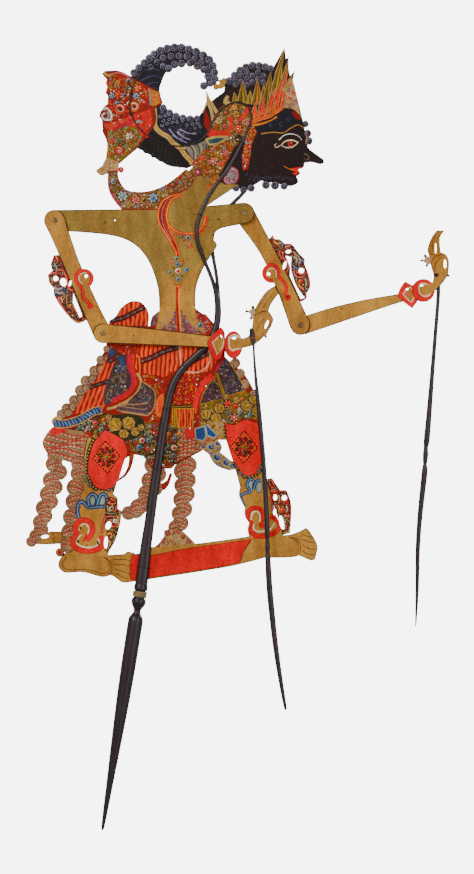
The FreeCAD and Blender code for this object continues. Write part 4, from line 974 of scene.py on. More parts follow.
def draw_hip_cloths(art):
    """Purple-brown hip cloths with gold bands, and the flowered band under them."""
    for region, inks in (
            (outline((90, 281), [(84, 268), (82, 256)], [(92, 240)], [(112, 247)], [(104, 262), (96, 275)]),
             ("purple", "mauve", "grey", "black")),
            (outline((80, 257), [(72, 246), (67, 233)], [(92, 239)], [(86, 250)]),
             ("mauve", "lilac", "rust", "black"))):
        art.paint(inset(region, -0.9), "gold")
        filigree(art, region, "purple", inks, 2.5, "black", 0.0, 0.2, 0.0)
    beads(art, [(84, 264), (87, 253), (92, 240)], 3.0, "gold", "olive", 2.0, None, "brown")
    art.line([(91, 281), (86, 272), (82, 264)], "rose", 3.4, 2.2)
    band = outline((67, 232), [(92, 238), (112, 246)], [(126, 238)], [(127.5, 216)], [(112, 219), (98, 213)],
                   [(80, 208), (66, 210)])
    filigree(art, band, "olive", ("gold", "amber", "hide_pale", "gold"), 4.4, "brown", 0.0, 0.7, 0.25)
    blossoms(art, ((94.5, 234, 3.6, "peach", "red"), (101, 219, 4.2, "pink", "red"),
                   (112, 215, 3.4, "rose", "cream"), (107, 227, 2.8, "cream", "teal"),
                   (95, 216, 3.0, "mint", "teal"), (118, 224, 3.4, "mint", "teal"),
                   (104.5, 211.5, 3.0, "mint", "teal"), (86, 220, 3.0, "gold", "rust"),
                   (78, 226, 2.8, "gold", "rust"), (121, 234, 3.2, "amber", "red"),
                   (109, 238, 2.6, "amber", "red")), 6, "black")


def draw_middle_field(art):
    """Flowered field across the middle."""
    field = outline((-70, 208), [(-50, 216), (-28, 222)], [(-20, 214)], [(-16, 204), (-4, 198)], [(-2, 186)],
                    [(10, 182)], [(20, 170)], [(38, 170)], [(46, 184)], [(48, 208)], [(30, 214), (14, 214)],
                    [(-6, 222), (-30, 220)])
    filigree(art, field, "olive", ("red", "mint", "rose", "gold", "teal", "pink"), 4.0, "black", 0.28, 0.15,
             0.2)
    blossoms(art, ((-38, 214, 3.6, "pink", "red"), (-32, 207, 3.4, "mint", "teal"),
                   (-45, 208, 3.0, "mint", "rose"), (-38, 200, 2.8, "gold", "red"),
                   (2, 199, 3.2, "pale_blue", "teal"), (9.5, 195.5, 3.6, "pink", "red"),
                   (15.5, 194.5, 3.2, "mint", "teal"), (5.5, 189, 3.2, "pale_blue", "blue"),
                   (12, 204, 3.4, "grey", "teal"), (40, 188, 3.8, "cream", "red"),
                   (40, 180, 3.2, "mint", "teal"), (35, 194, 2.8, "peach", "red"),
                   (36, 204, 3.0, "peach", "rose"), (20, 186, 2.8, "rose", "cream"),
                   (21, 204, 4.0, "red", "cream"), (34, 178, 2.8, "amber", "red"),
                   (44, 196, 2.8, "amber", "rose")), 6, "black")


def draw_dark_fields(art):
    """Dark green fields with gems, under the left ribbon and on both sides of the rod."""
    for region, inks in (([(-66, 206), (-50, 215), (-38, 221), (-26, 224), (-20, 214), (-22, 204),
                           (-34, 201), (-42, 204), (-50, 206)], ("mint", "red", "cream", "rose", "gold")),
                         ([(-3, 203), (6, 206), (18, 206), (25, 200), (25, 184), (16, 181), (8, 182),
                           (2, 187), (-2, 194)], ("mint", "rose", "gold", "red")),
                         ([(31, 208), (50, 208), (51, 184), (42, 174), (33, 171), (31, 186)],
                          ("mint", "rose", "gold", "red"))):
        filigree(art, region, "leaf", inks, 3.0, "leaf", 0.12, 0.2, 0.0)
    jewels(art, ((1.7, 199.7, 3.0, "pale_blue", "teal"), (9, 196.7, 3.2, "cream", "red"),
                 (15.6, 196.7, 2.9, "pale_blue", "teal"), (6, 190, 2.9, "pale_blue", "blue"),
                 (12.6, 201.8, 2.6, "grey", "teal"), (15, 188.6, 2.6, "pink", "red"),
                 (41, 198, 3.0, "grey", "teal"), (41, 189.4, 3.2, "cream", "red"),
                 (40.5, 181.4, 3.0, "grey", "teal"), (35.4, 203, 2.5, "peach", "red"),
                 (46, 203, 2.5, "peach", "red"), (35.8, 190.6, 2.4, "grey", "teal"),
                 (47, 192, 2.2, "pink", "red"), (-38, 214, 3.0, "pink", "red"),
                 (-32, 207.6, 2.8, "mint", "teal"), (-45, 209, 2.6, "mint", "red"),
                 (-29, 217, 2.8, "peach", "red"), (-53, 210, 2.2, "grey", "teal")))


def draw_gold_leaves(art):
    """Gold leaves on dark green over the left thigh, and across the right hip."""
    art.paint(outline((-26, 222), [(-2, 223)], [(10, 219), (12, 208)], [(2, 198), (-14, 197)],
                      [(-22, 206)]), "leaf")
    for x, z, size, angle in ((-17.5, 212, 14, 2.3), (-4.5, 213.5, 13, 0.7), (-9, 203.8, 9.5, 4.4),
                              (2, 205.5, 8.5, 5.6), (-24, 219.5, 6.5, 2.6), (7.5, 209.5, 7, 0.2)):
        gold_leaf(art, x, z, size, angle)
    for x, z, size, angle in ((73, 222, 10.5, 1.9), (83, 219.5, 10.5, 4.9), (86, 228.5, 10.5, 1.1),
                              (77, 213.5, 7, 4.0), (103.5, 236.5, 7, 1.9), (113, 231, 11, 0.6),
                              (120, 237, 9, 0.9), (122.5, 226, 9.5, 5.9), (70.5, 213.5, 6, 3.0),
                              (93, 239.5, 6, 1.5)):
        gold_leaf(art, x, z, size, angle)
    blossoms(art, ((94.5, 233.4, 3.8, "orange", "red"), (102.4, 230.8, 3.6, "orange", "red"),
                   (101, 219.6, 4.2, "pink", "cream"), (95.4, 224.6, 3.0, "grey", "teal"),
                   (107.6, 222.6, 3.4, "grey", "teal"), (94.6, 215.4, 3.0, "grey", "teal"),
                   (113, 215.6, 3.2, "rose", "cream"), (117, 221.4, 2.8, "pale_blue", "teal"),
                   (105, 212.6, 3.0, "peach", "red")), 6, "black")


def draw_left_ribbon(art):
    """Blue ribbon on the left, with rows of locks under it."""
    pleats = outline((-78, 210), [(-87, 203), (-90, 193), (-84, 183)], [(-62, 176)], [(-46, 178)],
                     [(-42, 200)], [(-50, 206)])
    art.paint(inset(pleats, 0.4), "curl")
    for k in range(7):
        z = 204 - k * 4.4
        wave = [(-90 + u * 50, z + 2.0 * math.sin(u * 7 + k * 1.3) - u * 3) for u in np.linspace(0, 1, 12)]
        scallops(art, wave, 4.6, inset(pleats, 0.6))
    art.paint(outline((-79, 211), [(-84, 205)], [(-78, 202), (-66, 206)], [(-72, 211)]), "red",
              inset(pleats, -2))
    ribbon = [(-79, 214), (-70, 213), (-60, 215), (-50, 219), (-40, 225), (-31, 227)]
    art.ground(stroke(smooth(ribbon), 9, 8.4), "hide_pale")
    art.ground(circle(-76, 215.3, 5.4), "hide_pale")
    art.line(ribbon, "brown", 6.8, 6.6)
    art.line(ribbon, "blue", 6.0, 5.8, tone=0.8)
    for k, (x, z, angle) in enumerate(spaced(smooth(ribbon), 3.4)):
        lean = angle + 1.9 + rng.uniform(-0.25, 0.25)
        c, s = math.cos(lean) * 2.9, math.sin(lean) * 2.9
        places = smooth([(x - c, z - s), (x + rng.uniform(0.2, 1.6), z), (x + c, z + s)], steps=3)
        art.paint(stroke(places, rng.uniform(0.8, 1.9), 0.7), ("pale_blue", "mint", "lilac")[k % 3], None,
                  0.86)


def draw_right_ribbon(art):
    """Ringed grey-blue ribbon on the right, with three blue panels above it."""
    right_ribbon = outline(
        (66, 190), [(76, 182.5)], [(80, 174.8), (86, 170), (96, 166.6)], [(104, 168)], [(102, 174)],
        [(96, 178), (87, 185)], [(89, 191), (84, 198)])
    art.mass([right_ribbon], "grey", "edge", 0.7)
    for region, ink in (
            (outline((62, 208), [(72, 211)], [(73, 201), (70, 196)], [(63, 198)]), "blue"),
            (outline((73, 213), [(84, 202)], [(80, 199), (74, 202)]), "blue"),
            (outline((84, 213), [(89, 206)], [(84, 203)]), "blue")):
        art.paint(inset(region, -0.8), "hide_pale")
        art.paint(region, "pale_blue")
        art.paint(inset(region, 0.9), ink, None, 0.94)
    for x, z, r, lean in (
            (71.5, 191.5, 4.4, 0.4), (79, 190.4, 5.0, 0.2), (85.4, 193.6, 3.8, 0.0), (77.6, 182.8, 4.4, 0.6),
            (84.6, 180, 5.6, -0.4), (93.6, 174.6, 5.0, -0.6), (99.2, 171.2, 3.4, -0.5)):
        art.paint(ellipse(x, z, r * 1.28, r * 1.18, lean), "hide_dark", right_ribbon)
        art.paint(ellipse(x, z, r * 1.16, r * 1.06, lean), "hide_pale", right_ribbon)
        art.paint(ellipse(x, z, r * 0.82, r * 0.72, lean), "pale_blue", right_ribbon)
        art.paint(ellipse(x - r * 0.12, z - r * 0.1, r * 0.60, r * 0.44, lean), "blue", right_ribbon)
        swirl(art, x + r * 0.2, z + r * 0.1, r * 0.5, "curl_light", 0.6 + lean, 1, 1.1, r * 0.15,
              right_ribbon)
    filigree(art, [(80, 214), (92, 217), (99, 209), (94, 197), (86, 197), (85, 203)], "hide_pale",
             ("gold", "mint", "leaf", "red"), 3.4, "brown", 0.1, 0.2, 0.0)


def draw_flounce(art):
    """Rows of locks under the striped panel, with a red patch above them."""
    flounce = outline((49, 208), [(61, 208)], [(63, 196)], [(68, 187)], [(44, 176)])
    art.paint(flounce, "curl")
    for k in range(8):
        z = 206 - k * 4.2
        wave = [(42 + u * 30, z + 1.6 * math.sin(u * 6 + k) + u * 2) for u in np.linspace(0, 1, 9)]
        scallops(art, wave, 4.6, flounce)
    art.paint(outline((51.6, 209), [(61, 208.6)], [(61.6, 200), (57, 198)], [(52, 200)]), "rose")
    art.paint(outline((52.6, 207.8), [(60, 207.4)], [(60.4, 201), (56.6, 199.6)], [(53, 201)]), "red")


def draw_frills(art):
    """Flowered frills on both sides of the belly."""
    frill = outline((62, 329), [(69, 323.5), (74, 322), (82, 312)], [(88, 300)], [(92, 292)], [(66, 293)],
                    [(64, 304)])
    filigree(art, inset(frill, 0.8), "rust", ("rose", "red", "lilac", "mint", "pink"), 3.1, "brown", 0.15,
             0.4, 0.2)
    left_frill = outline((17, 311), [(19, 320), (26, 326)], [(26, 311)])
    filigree(art, inset(left_frill, 0.7), "mauve", ("rust", "lilac"), 2.6, "brown", 0, 0.1, 0)


def draw_crescent(art):
    """Thin flamed crescent between the legs."""
    crescent = smooth([(1.5, 186), (0.6, 178), (-2.4, 168), (-8, 160), (-17, 154.6)])
    crescent += smooth([(-16, 157), (-9, 163), (-5.4, 170), (-4, 178), (-5, 186)])
    art.mass([crescent], "rust", "brown", 0.6)
    for k, (x, z, angle) in enumerate(spaced(smooth([(-1, 184), (-2, 175), (-5, 168), (-9, 161.6),
                                                     (-14, 157)]), 2.6)):
        comma(art, x, z, 3.4, angle + 0.9, ("red", "gold", "orange", "leaf")[k % 4], 0.5, 1.3, crescent,
              "brown")


def draw_curled_horn(art):
    """The horn of hair: link, ring and nape of hide, and rows of tight curls."""
    ring = outline(
        (-2, 560), [(11, 575), (24, 585), (41, 590), (57, 588.5), (68, 585), (78, 576), (83, 564), (82, 552)],
        [(71, 549)], [(73, 560), (66, 571), (57, 573.5), (45, 572), (33, 564.5), (27, 550)], [(26, 543)],
        [(8, 540)])
    nape = outline((22, 532), [(30, 532.5)], [(37, 525.5), (47, 521), (58, 519.6), (66, 520.5)],
                   [(70, 527)], [(73.5, 536)], [(72.6, 547.5)], [(78.5, 535.5)], [(92, 520)], [(80, 480)],
                   [(54, 468.5)], [(47, 469.5)], [(37, 470.8), (28, 475.5), (16, 482.5), (5, 489)],
                   [(10, 500)])
    link = outline((80, 549), [(88, 548)], [(93, 551)], [(96, 556)], [(87, 557.4)], [(82, 555)])
    art.mass([link, circle(91, 556.5, 2.6), circle(83, 549.6, 2.6)], "hide", "edge", 0.6)
    art.ground(ring, "hair")
    art.ground(nape, "hair")
    outer = ((1, 564, 3.6), (6, 569, 3.6), (11.5, 574, 3.6), (16.5, 578.5, 3.8), (21.5, 582.5, 3.9),
             (27.5, 586, 4), (34.5, 588.2, 4), (41.5, 589.2, 4), (48.5, 589, 4), (55.5, 587.3, 4),
             (63, 585, 4), (70, 581.5, 4), (76, 577, 4), (79.5, 571, 4), (81, 564.5, 4), (81.5, 558, 3.9))
    inner = ((70.8, 551, 3.6), (75, 560.5, 3.6), (71, 567.5, 3.7), (64.5, 571, 3.8), (57, 574, 3.6),
             (48.5, 573.5, 3.7), (41.5, 572.5, 3.7), (35.5, 568.5, 3.7))
    middle = ((30, 571, 3.2), (24, 575, 3.2), (18, 570, 3.0), (30, 579, 3.4), (38, 580.5, 3.6),
              (46, 581, 3.6), (54, 580.6, 3.6), (61.5, 578, 3.4), (68.5, 574.5, 3.4), (75, 568.5, 3.2),
              (77.5, 553.5, 3.2))
    for x, z, r in middle + outer + inner:
        hair_curl(art, x, z, r, rng.uniform(0, TURN), rng.choice((-1, 1)))
    for path in ([(4, 561), (12, 566), (20, 568), (27, 566)], [(8, 556), (16, 560), (24, 561), (29, 558)],
                 [(12, 550), (18, 554), (25, 554)], [(14, 546), (20, 549), (26, 548)]):
        art.line(path, "hair_mid", 0.8, 0.4)


def draw_bun(art):
    """Swirls and curls between the horn and the nape."""
    bun = outline((25, 527), [(31, 530), (38, 524), (48, 520), (58, 518), (68, 518)], [(71, 510), (72, 503)],
                  [(62, 500), (50, 492), (42, 494), (32, 503)], [(24, 513)])
    for x, z in grid_in(bun, 5.4, 1.6, 0.2):
        swirl(art, x, z, 2.1, "hair_light" if z > 511 or rng.random() < 0.3 else "hair_mid",
              rng.uniform(0, TURN), rng.choice((-1, 1)), 1.1, 0.55)
    for x, z, r in ((30, 529, 3.4), (36.5, 524, 3.4), (43, 520.8, 3.4), (50, 519, 3.4), (57, 518, 3.4),
                    (64, 518.5, 3)):
        hair_curl(art, x, z, r, rng.uniform(0, TURN))
    for path in ([(44, 505), (50, 500), (58, 497)], [(36, 508), (44, 499), (54, 494)],
                 [(47, 508), (54, 504), (64, 503)]):
        art.line(path, "hair_light", 1.6, 0.5)
    for x, z, r in ((47, 472, 3), (41, 473.5, 3), (34.5, 475, 3.2), (27.5, 478.5, 3.2), (20.5, 482.4, 3.2),
                    (13, 486.6, 3.2), (8, 490, 3)):
        art.ground(circle(x, z, r), "black")
        swirl(art, x, z, r * 0.6, "hair_mid", 0.5, 1, 1.0, 0.4)


def draw_hanging_hair(art):
    """Black hair under the horn, two wavy hide bands that cross it, and pale strands."""
    fall = outline((14, 508), [(24, 502), (36, 493), (46, 484), (55, 471)],
                   [(47, 471.5), (36, 475), (22, 483), (8, 491)])
    art.paint(fall, "black")
    for k in range(9):
        start = (18 + k * 3.8, 503 - k * 3.5)
        art.line([start, (start[0] - 1, start[1] - 6), (start[0] + 0.5, start[1] - 12)], "face_light", 0.6,
                 0.2, clip=fall)
    for path, width in (([(21, 530), (22, 520), (22, 511), (28, 504), (35, 500), (40, 494), (47, 489),
                          (52, 482), (57, 477), (60, 472)], 4.6),
                        ([(45, 489), (56, 489), (62, 482), (64, 475)], 3.4)):
        art.rimmed(path, "hide_pale", width, "edge", 1.1)
        art.line(path, "gold", width * 0.2)
    strands = outline((52, 492), [(62, 492), (74, 497), (78, 494)], [(72, 484), (66, 474)],
                      [(60, 478), (54, 486)])
    art.paint(strands, "grey")
    for k in range(7):
        line = smooth([(54 + k * 3.2, 493), (60 + k * 2.2, 487), (61 + k * 1.6, 478)])
        art.paint(stroke(line, 1.1, 0.6), ("black", "hide_pale", "teal")[k % 3], strands)


def draw_back_mask(art):
    """The flowered bird-like mask behind the hair: coloured zones, blossoms and three eyes."""
    mask = outline((-31, 563), [(-28, 566)], [(-14, 566), (-3, 561)], [(27, 545)], [(28, 540), (30, 534)],
                   [(22, 528)], [(22, 512), (5, 489)], [(-14, 473)], [(-15, 463)], [(-27, 463)],
                   [(-32, 461.5), (-36.8, 466), (-31, 471)], [(-27, 479)], [(-26, 494), (-30.5, 505)],
                   [(-31, 516), (-33.6, 521.5), (-30, 529), (-25.5, 533)], [(-25, 541)], [(-27.5, 544)],
                   [(-26, 550)], [(-27.5, 554)], [(-26, 557)])
    art.mass([mask], "rust", "edge", 0.8)
    zones = ((outline((-25, 562), [(-14, 563), (-2, 558), (4, 552)], [(-4, 540)], [(-24, 538)]), "rust",
              ("orange", "gold", "red", "mint", "peach"), 0.2),
             (outline((-30, 537), [(-8, 540)], [(4, 536)], [(-4, 516)], [(-29, 514)]), "deep_red",
              ("orange", "red", "cream", "flame", "rust"), 0.12),
             (outline((-30, 514), [(-16, 516), (0, 522), (18, 528)], [(20, 514)], [(10, 500)], [(0, 510)],
                      [(-24, 505)]), "red", ("scarlet", "orange", "flame", "magenta"), 0.0),
             (outline((-26, 506), [(-8, 511), (4, 509)], [(10, 500)], [(4, 490)], [(-14, 474)],
                      [(-23, 478)]), "olive", ("gold", "tan", "red", "pink", "mint"), 0.16),
             (outline((3, 556), [(16, 548), (17, 536)], [(8, 530)], [(-2, 532)], [(0, 546)]), "rust",
              ("red", "gold", "orange", "mint"), 0.1),
             (outline((15, 549), [(26, 545)], [(28, 534)], [(20, 530)], [(16, 534)]), "amber",
              ("flame", "gold", "amber"), 0.0), )
    for region, field, inks, flowers in zones:
        filigree(art, inset(region, 0.3), field, inks, 3.7, "brown", flowers, 0.3, 0.22)
    blossoms(art, ((4.8, 548.5, 3.6, "flame", "red"), (11.2, 534.5, 3.2, "scarlet", "pink"),
                   (-14.5, 542, 4.2, "orange", "red"), (-21, 541, 3.0, "pale_blue", "teal"),
                   (-15.5, 533.5, 3.4, "pale_blue", "blue"), (-6.5, 548, 3.0, "olive", "black"),
                   (-15.5, 554, 3.2, "peach", "red"), (-4.5, 556.5, 3.2, "pale_blue", "teal"),
                   (-3.5, 501, 3.8, "cream", "blue"), (-16.5, 502, 3.0, "gold", "black"),
                   (-15.5, 486.5, 4.0, "peach", "red"), (-10.5, 493.5, 3.0, "olive", "gold"),
                   (-21, 496, 2.8, "orange", "red"), (6, 520, 3.6, "scarlet", "red"),
                   (12, 508, 3.0, "flame", "red"), (-26, 511, 3.0, "orange", "red"),
                   (-8.5, 541.5, 3.0, "grey", "black"), (3, 541, 3.4, "pale_blue", "blue")), 6, "brown")
    for path, ink, width in (([(-31, 527), (-27, 529), (-22, 524), (-22, 518), (-28, 517), (-31, 521),
                               (-28, 524)], "white", 1.8), ([(-26, 525), (-24, 521), (-26, 519)], "mint",
                                                            1.6),
                             ([(-5, 556), (-1, 545), (-3, 533), (-3, 522)], "brown", 1.3),
                             ([(-20, 507), (-8, 512), (2, 517)], "rose", 2.2),
                             ([(2, 518), (8, 512), (13, 504), (14, 499)], "red", 3.2),
                             ([(-26, 562), (-14, 564), (-4, 560)], "pink", 1.6),
                             ([(-29, 564), (-24, 561), (-20, 563)], "hide_pale", 2.2),
                             ([(-26, 555), (-26, 546)], "orange", 2.0),
                             ([(3, 514), (6, 516), (9, 514)], "mint", 2.2),
                             ([(-27, 538), (-24, 536), (-25, 532)], "orange", 1.8),
                             ([(16, 547), (18, 540), (17, 532)], "pale_blue", 1.1),
                             ([(-24, 477), (-20, 473), (-17, 477)], "red", 1.6),
                             ([(-24, 494), (-25, 484), (-22, 476)], "gold", 1.6)):
        art.rimmed(path, ink, width, "brown", 0.8)
    foot = outline((-28, 480), [(-14, 474.6)], [(-14.6, 463.8)], [(-27, 463.8)],
                   [(-34, 462), (-35.6, 466), (-31, 470)])
    filigree(art, foot, "tan", ("pink", "mint", "red", "hide_pale"), 2.9, "hide_dark", 0.0, 0.2, 0.0)
    eye(art, -13, 527.6, 5.4, "orange", "purple")
    eye(art, 1.2, 530.2, 5.0, "flame", "purple")
    eye(art, -14, 486.5, 4.0, "scarlet", "cream")
    art.paint(circle(-31.5, 466, 3.4), "hide_pale")
    swirl(art, -31.5, 466, 2.6, "rust", 0.4, 1, 1.3, 0.9)
    art.ground(circle(-12, 467.2, 3), "rose")
    art.paint(circle(-12, 467.6, 1.4), "pink")


def draw_tail_ribbon(art):
    """Flowered ribbon that runs from under the back mask to the neck."""
    ribbon = outline(
        (-25, 466), [(-25, 450), (-20, 438), (-11, 427)], [(25, 427)], [(28, 435), (36, 441), (47, 443.8)],
        [(56, 449), (64, 460)], [(53, 468)],
        [(37, 455), (22, 447.5), (7, 445), (-7, 447.5), (-14, 458), (-15, 466)])
    art.mass([ribbon], "rust", "deep_red", 0.8)
    filigree(art, inset(ribbon, 0.9), "hide_dark", ("pink", "lilac", "tan", "rose", "hide_pale", "mint"),
             3.6, "brown", 0.12, 0.25, 0.3)
    blossoms(art, ((-10.5, 441, 5.2, "mint", "pale_blue"), (-19.5, 456, 4.2, "mint", "grey"),
                   (-17, 449, 3.0, "olive", "gold"), (3, 437, 4.0, "pink", "rose"),
                   (11, 437, 3.8, "gold", "brown"), (20, 439, 4.8, "pale_blue", "teal"),
                   (28.5, 447.6, 3.0, "lilac", "teal"), (40, 452, 4.0, "olive", "red"),
                   (27, 443.5, 3.0, "gold", "olive"), (-4.5, 432, 3.0, "gold", "black"),
                   (46, 460, 3.2, "orange", "red")), 7, "brown")
    art.line([(-24.4, 464), (-24, 450), (-19, 439), (-11, 428.5)], "rose", 1.3)
    punched(art, [(-13, 461), (-9, 452), (-3, 448.4), (8, 447), (22, 449.6), (36, 456), (48, 465)], 2.6,
            1.2, 0.5)


def flame(art, base, tip, width, ink, light, bend=0.0, rim="tan"):
    """A serrated tongue of the crown: tan rim, coloured body and fine lines drawn up to the tip."""
    bx, bz = base
    tx, tz = tip
    length = math.hypot(tx - bx, tz - bz)
    ax, az = (tx - bx) / length, (tz - bz) / length
    nx, nz = -az, ax

    def side(scale, reach):
        left, right = [], []
        for k in range(9):
            t = k / 9
            half = width / 2 * scale * (1 - t) ** 0.82
            half += (0.5 if k % 2 else -0.35) * scale * (1 - t)
            centre = bend * math.sin(math.pi * t)
            px, pz = bx + ax * length * t * reach, bz + az * length * t * reach
            left.append((px + nx * (half + centre), pz + nz * (half + centre)))
            right.append((px - nx * (half - centre), pz - nz * (half - centre)))
        return left + [(bx + ax * length * reach, bz + az * length * reach)] + right[::-1]

    for scale, reach, tint in ((1.12, 1.0, "brown"), (1.0, 0.98, rim), (0.80, 0.93, "brown"),
                               (0.70, 0.89, ink)):
        art.paint(side(scale, reach), tint)
    for share, tone in ((0.0, light), (0.30, "brown"), (-0.30, light)):
        line = [(bx + ax * length * t + nx * (share * width * 0.4 * (1 - t) + bend * math.sin(math.pi * t)),
                 bz + az * length * t + nz * (share * width * 0.4 * (1 - t) + bend * math.sin(math.pi * t)))
                for t in (0.0, 0.25, 0.5, 0.75)]
        art.paint(stroke(line, width * 0.10, width * 0.03), tone)


# The head with its crown, in profile.
SKULL = outline(
    (78.5, 536), [(91, 545)], [(92, 553)], [(104, 563), (117, 571.5), (130, 571.5), (140, 569)],
    [(151.5, 589.5)], [(153, 578)], [(155.6, 579.5)], [(155.5, 568)], [(157, 561)], [(161.8, 566.5)],
    [(160, 557)], [(169.5, 518)], [(174, 497)], [(175, 489.5), (182, 483.5), (190.5, 477.5)],
    [(190.8, 474), (187, 472.6)], [(178, 474.8), (171.5, 474)], [(170.5, 469.8), (165, 467.2)],
    [(167.2, 463.4), (163.4, 460.6)], [(165, 454.5), (157.5, 450.8), (146, 453)], [(128, 456)], [(118, 450)],
    [(98, 447.5)], [(88, 455)], [(72, 500)])


def draw_skull(art):
    """The head's hide, with tight curls over its top, along the brow and under the jaw."""
    art.ground(SKULL, "face")
    for x, z, r in ((96.5, 556, 3.6), (101.5, 561.5, 3.6), (107, 566.5, 3.6), (113, 569.5, 3.7),
                    (119.5, 571.3, 3.7), (126, 571, 3.7), (132.3, 570, 3.6), (137.5, 568.5, 3.2),
                    (172.4, 513, 3), (174.5, 503.5, 3.4), (175.6, 496, 3.6), (103, 449, 3.4),
                    (110.5, 447, 3.4), (118, 449, 3.6), (133, 452, 3.8), (142, 451.5, 3.9),
                    (151, 450.8, 3.4)):
        hair_curl(art, x, z, r, rng.uniform(0, TURN), rng.choice((-1, 1)))
    for x, z in grid_in(outline((92, 549), [(98, 556), (106, 563), (118, 568)], [(136, 566)], [(131, 552)],
                                [(116, 551)], [(104, 549)]), 6.4, 1.0, 0.5):
        hair_curl(art, x, z, 3.0, rng.uniform(0, TURN), rng.choice((-1, 1)))


def draw_crown(art):
    """The crown: flowered lattice at its front, flames behind it and beads under them."""
    lattice = outline((146, 524), [(152, 548), (158, 561)], [(160.6, 557)], [(169.5, 517)],
                      [(160, 527), (150, 528)])
    art.paint(lattice, "brown")
    art.paint(inset(lattice, 0.7), "tan")
    filigree(art, inset(lattice, 1.0), "tan", ("cream", "lilac", "flame", "pink", "grey", "peach"), 3.2,
             "rust", 0.2, 0.1, 0.4)
    art.paint(stroke([(160.6, 560), (165, 540), (169.2, 519)], 1.5), "hide_dark", SKULL)
    for base, tip, width, ink, light, bend in (((94, 533), (93, 541.5), 7, "tan", "gold", 0),
                                               ((103, 534), (101, 545), 8, "olive", "gold", 0),
                                               ((110, 533), (110.5, 557), 12, "olive", "gold", 0.5),
                                               ((117, 533), (117.4, 547), 8, "gold", "olive", 0.2),
                                               ((123, 532), (124.5, 559), 11, "olive", "amber", -0.4),
                                               ((130, 531), (131, 554), 9, "gold", "olive", 0.3),
                                               ((134, 532), (138, 566.5), 11, "olive", "gold", 0.4),
                                               ((139, 533), (146, 572), 9, "gold", "olive", 0.5),
                                               ((141, 533), (151.5, 589.5), 12, "olive", "gold", 1.2),
                                               ((145, 533), (155.4, 579), 8, "gold", "olive", 0.5),
                                               ((147, 529), (155.6, 573), 7.5, "red", "flame", 0.2),
                                               ((141, 527), (150, 562), 8, "red", "orange", 0.1),
                                               ((151, 545), (161.6, 566.4), 5, "tan", "gold", 0.1),
                                               ((135, 525), (143, 550), 8, "scarlet", "flame", 0.2),
                                               ((127, 521), (131, 543), 8.5, "red", "orange", 0.1),
                                               ((120, 518), (123, 536), 8, "red", "flame", 0.0),
                                               ((131, 521), (136, 536), 6, "orange", "amber", 0.0),
                                               ((124, 517), (126, 530), 6, "orange", "amber", 0.0),
                                               ((138, 523), (143, 537), 6, "flame", "amber", 0.0)):
        flame(art, base, tip, width, ink, light, bend)
    diadem = [(119, 515), (128, 518), (137, 521), (143, 525), (149, 529)]
    beads(art, diadem, 3.6, "amber", "red", 2.0, None, "brown")
    beads(art, [(119, 511.5), (128, 513), (138, 516), (144, 520)], 2.0, "peach", "rust", 1.7)


def draw_brow(art):
    """Dark hair over the brow, the line of the brow band, and the ornament on the temple."""
    brow_hair = outline((121, 510), [(134, 514), (144, 519), (152, 526), (160, 526), (168, 518)],
                        [(171, 511)], [(162, 512), (154, 507), (146, 504), (136, 506)], [(122, 504)])
    art.paint(brow_hair, "hair")
    art.paint(outline((158, 525), [(164, 524), (168, 517)], [(163, 518)]), "deep_red")
    for x, z, r in ((148, 512, 2.6), (156, 517, 2.4), (138, 511, 2.0)):
        swirl(art, x, z, r, "hair_mid", 1.0, 1, 1.1, 0.6)
    art.line([(128, 503), (140, 504.6), (150, 504), (158, 509), (165, 512), (171, 509)], "hide", 1.1, 0.8)
    temple = outline((118, 516), [(124, 505)], [(119, 492), (117, 478), (115, 468)], [(110, 466)],
                     [(109, 480), (112, 496)])
    filigree(art, temple, "rust", ("orange", "peach", "gold", "mint", "pink"), 3.0, "brown", 0.15, 0.2, 0.2)


def draw_ear_fan(art):
    """Ear ornament: a flowered fan inside the curve of the horn, and hide tongues behind it."""
    fan = outline((80, 498), [(77, 506), (79, 517), (86, 528), (97, 534), (108, 533), (116, 526), (118, 515)],
                  [(114, 504), (107, 494)], [(98, 488)], [(88, 492)])
    art.paint(inset(fan, -0.8), "brown")
    filigree(art, fan, "hide_dark", ("tan", "olive", "gold", "pink", "red", "hide_pale", "mint"), 3.4,
             "brown", 0.14, 0.3, 0.3)
    art.line([(116, 530), (112, 522), (106, 516)], "red", 4.2, 2)
    art.line([(97, 520), (98, 510), (91, 503)], "red", 3.8, 2)
    art.paint(outline((76, 517), [(79, 508), (88, 506), (98, 503)], [(92, 501), (80, 500), (74, 501)]), "red")
    art.paint(outline((72, 528), [(76, 519), (79, 510)], [(75, 505)], [(71, 512)]), "deep_red")
    blossoms(art, ((86, 516, 3.6, "hide_pale", "olive"), (93, 524, 3.6, "olive", "red"),
                   (103, 523, 3.6, "gold", "red"), (105, 508, 4.4, "orange", "cream"),
                   (92, 511, 3.0, "pink", "rose"), (112, 515, 3.2, "pink", "olive"),
                   (101, 529.5, 3.0, "peach", "red"), (96, 497, 3.0, "mint", "olive"),
                   (103, 515, 2.6, "pink", "rose")), 7, "brown")
    for path, width in (([(74, 546), (77, 536), (84, 524)], 3.4), ([(69, 524), (72, 531), (76, 536)], 2.2),
                        ([(74, 536), (78, 527), (80, 516)], 3.0), ([(95, 541), (92, 535), (98, 533)], 3.6)):
        art.rimmed(path, "hide_pale", width, "edge")


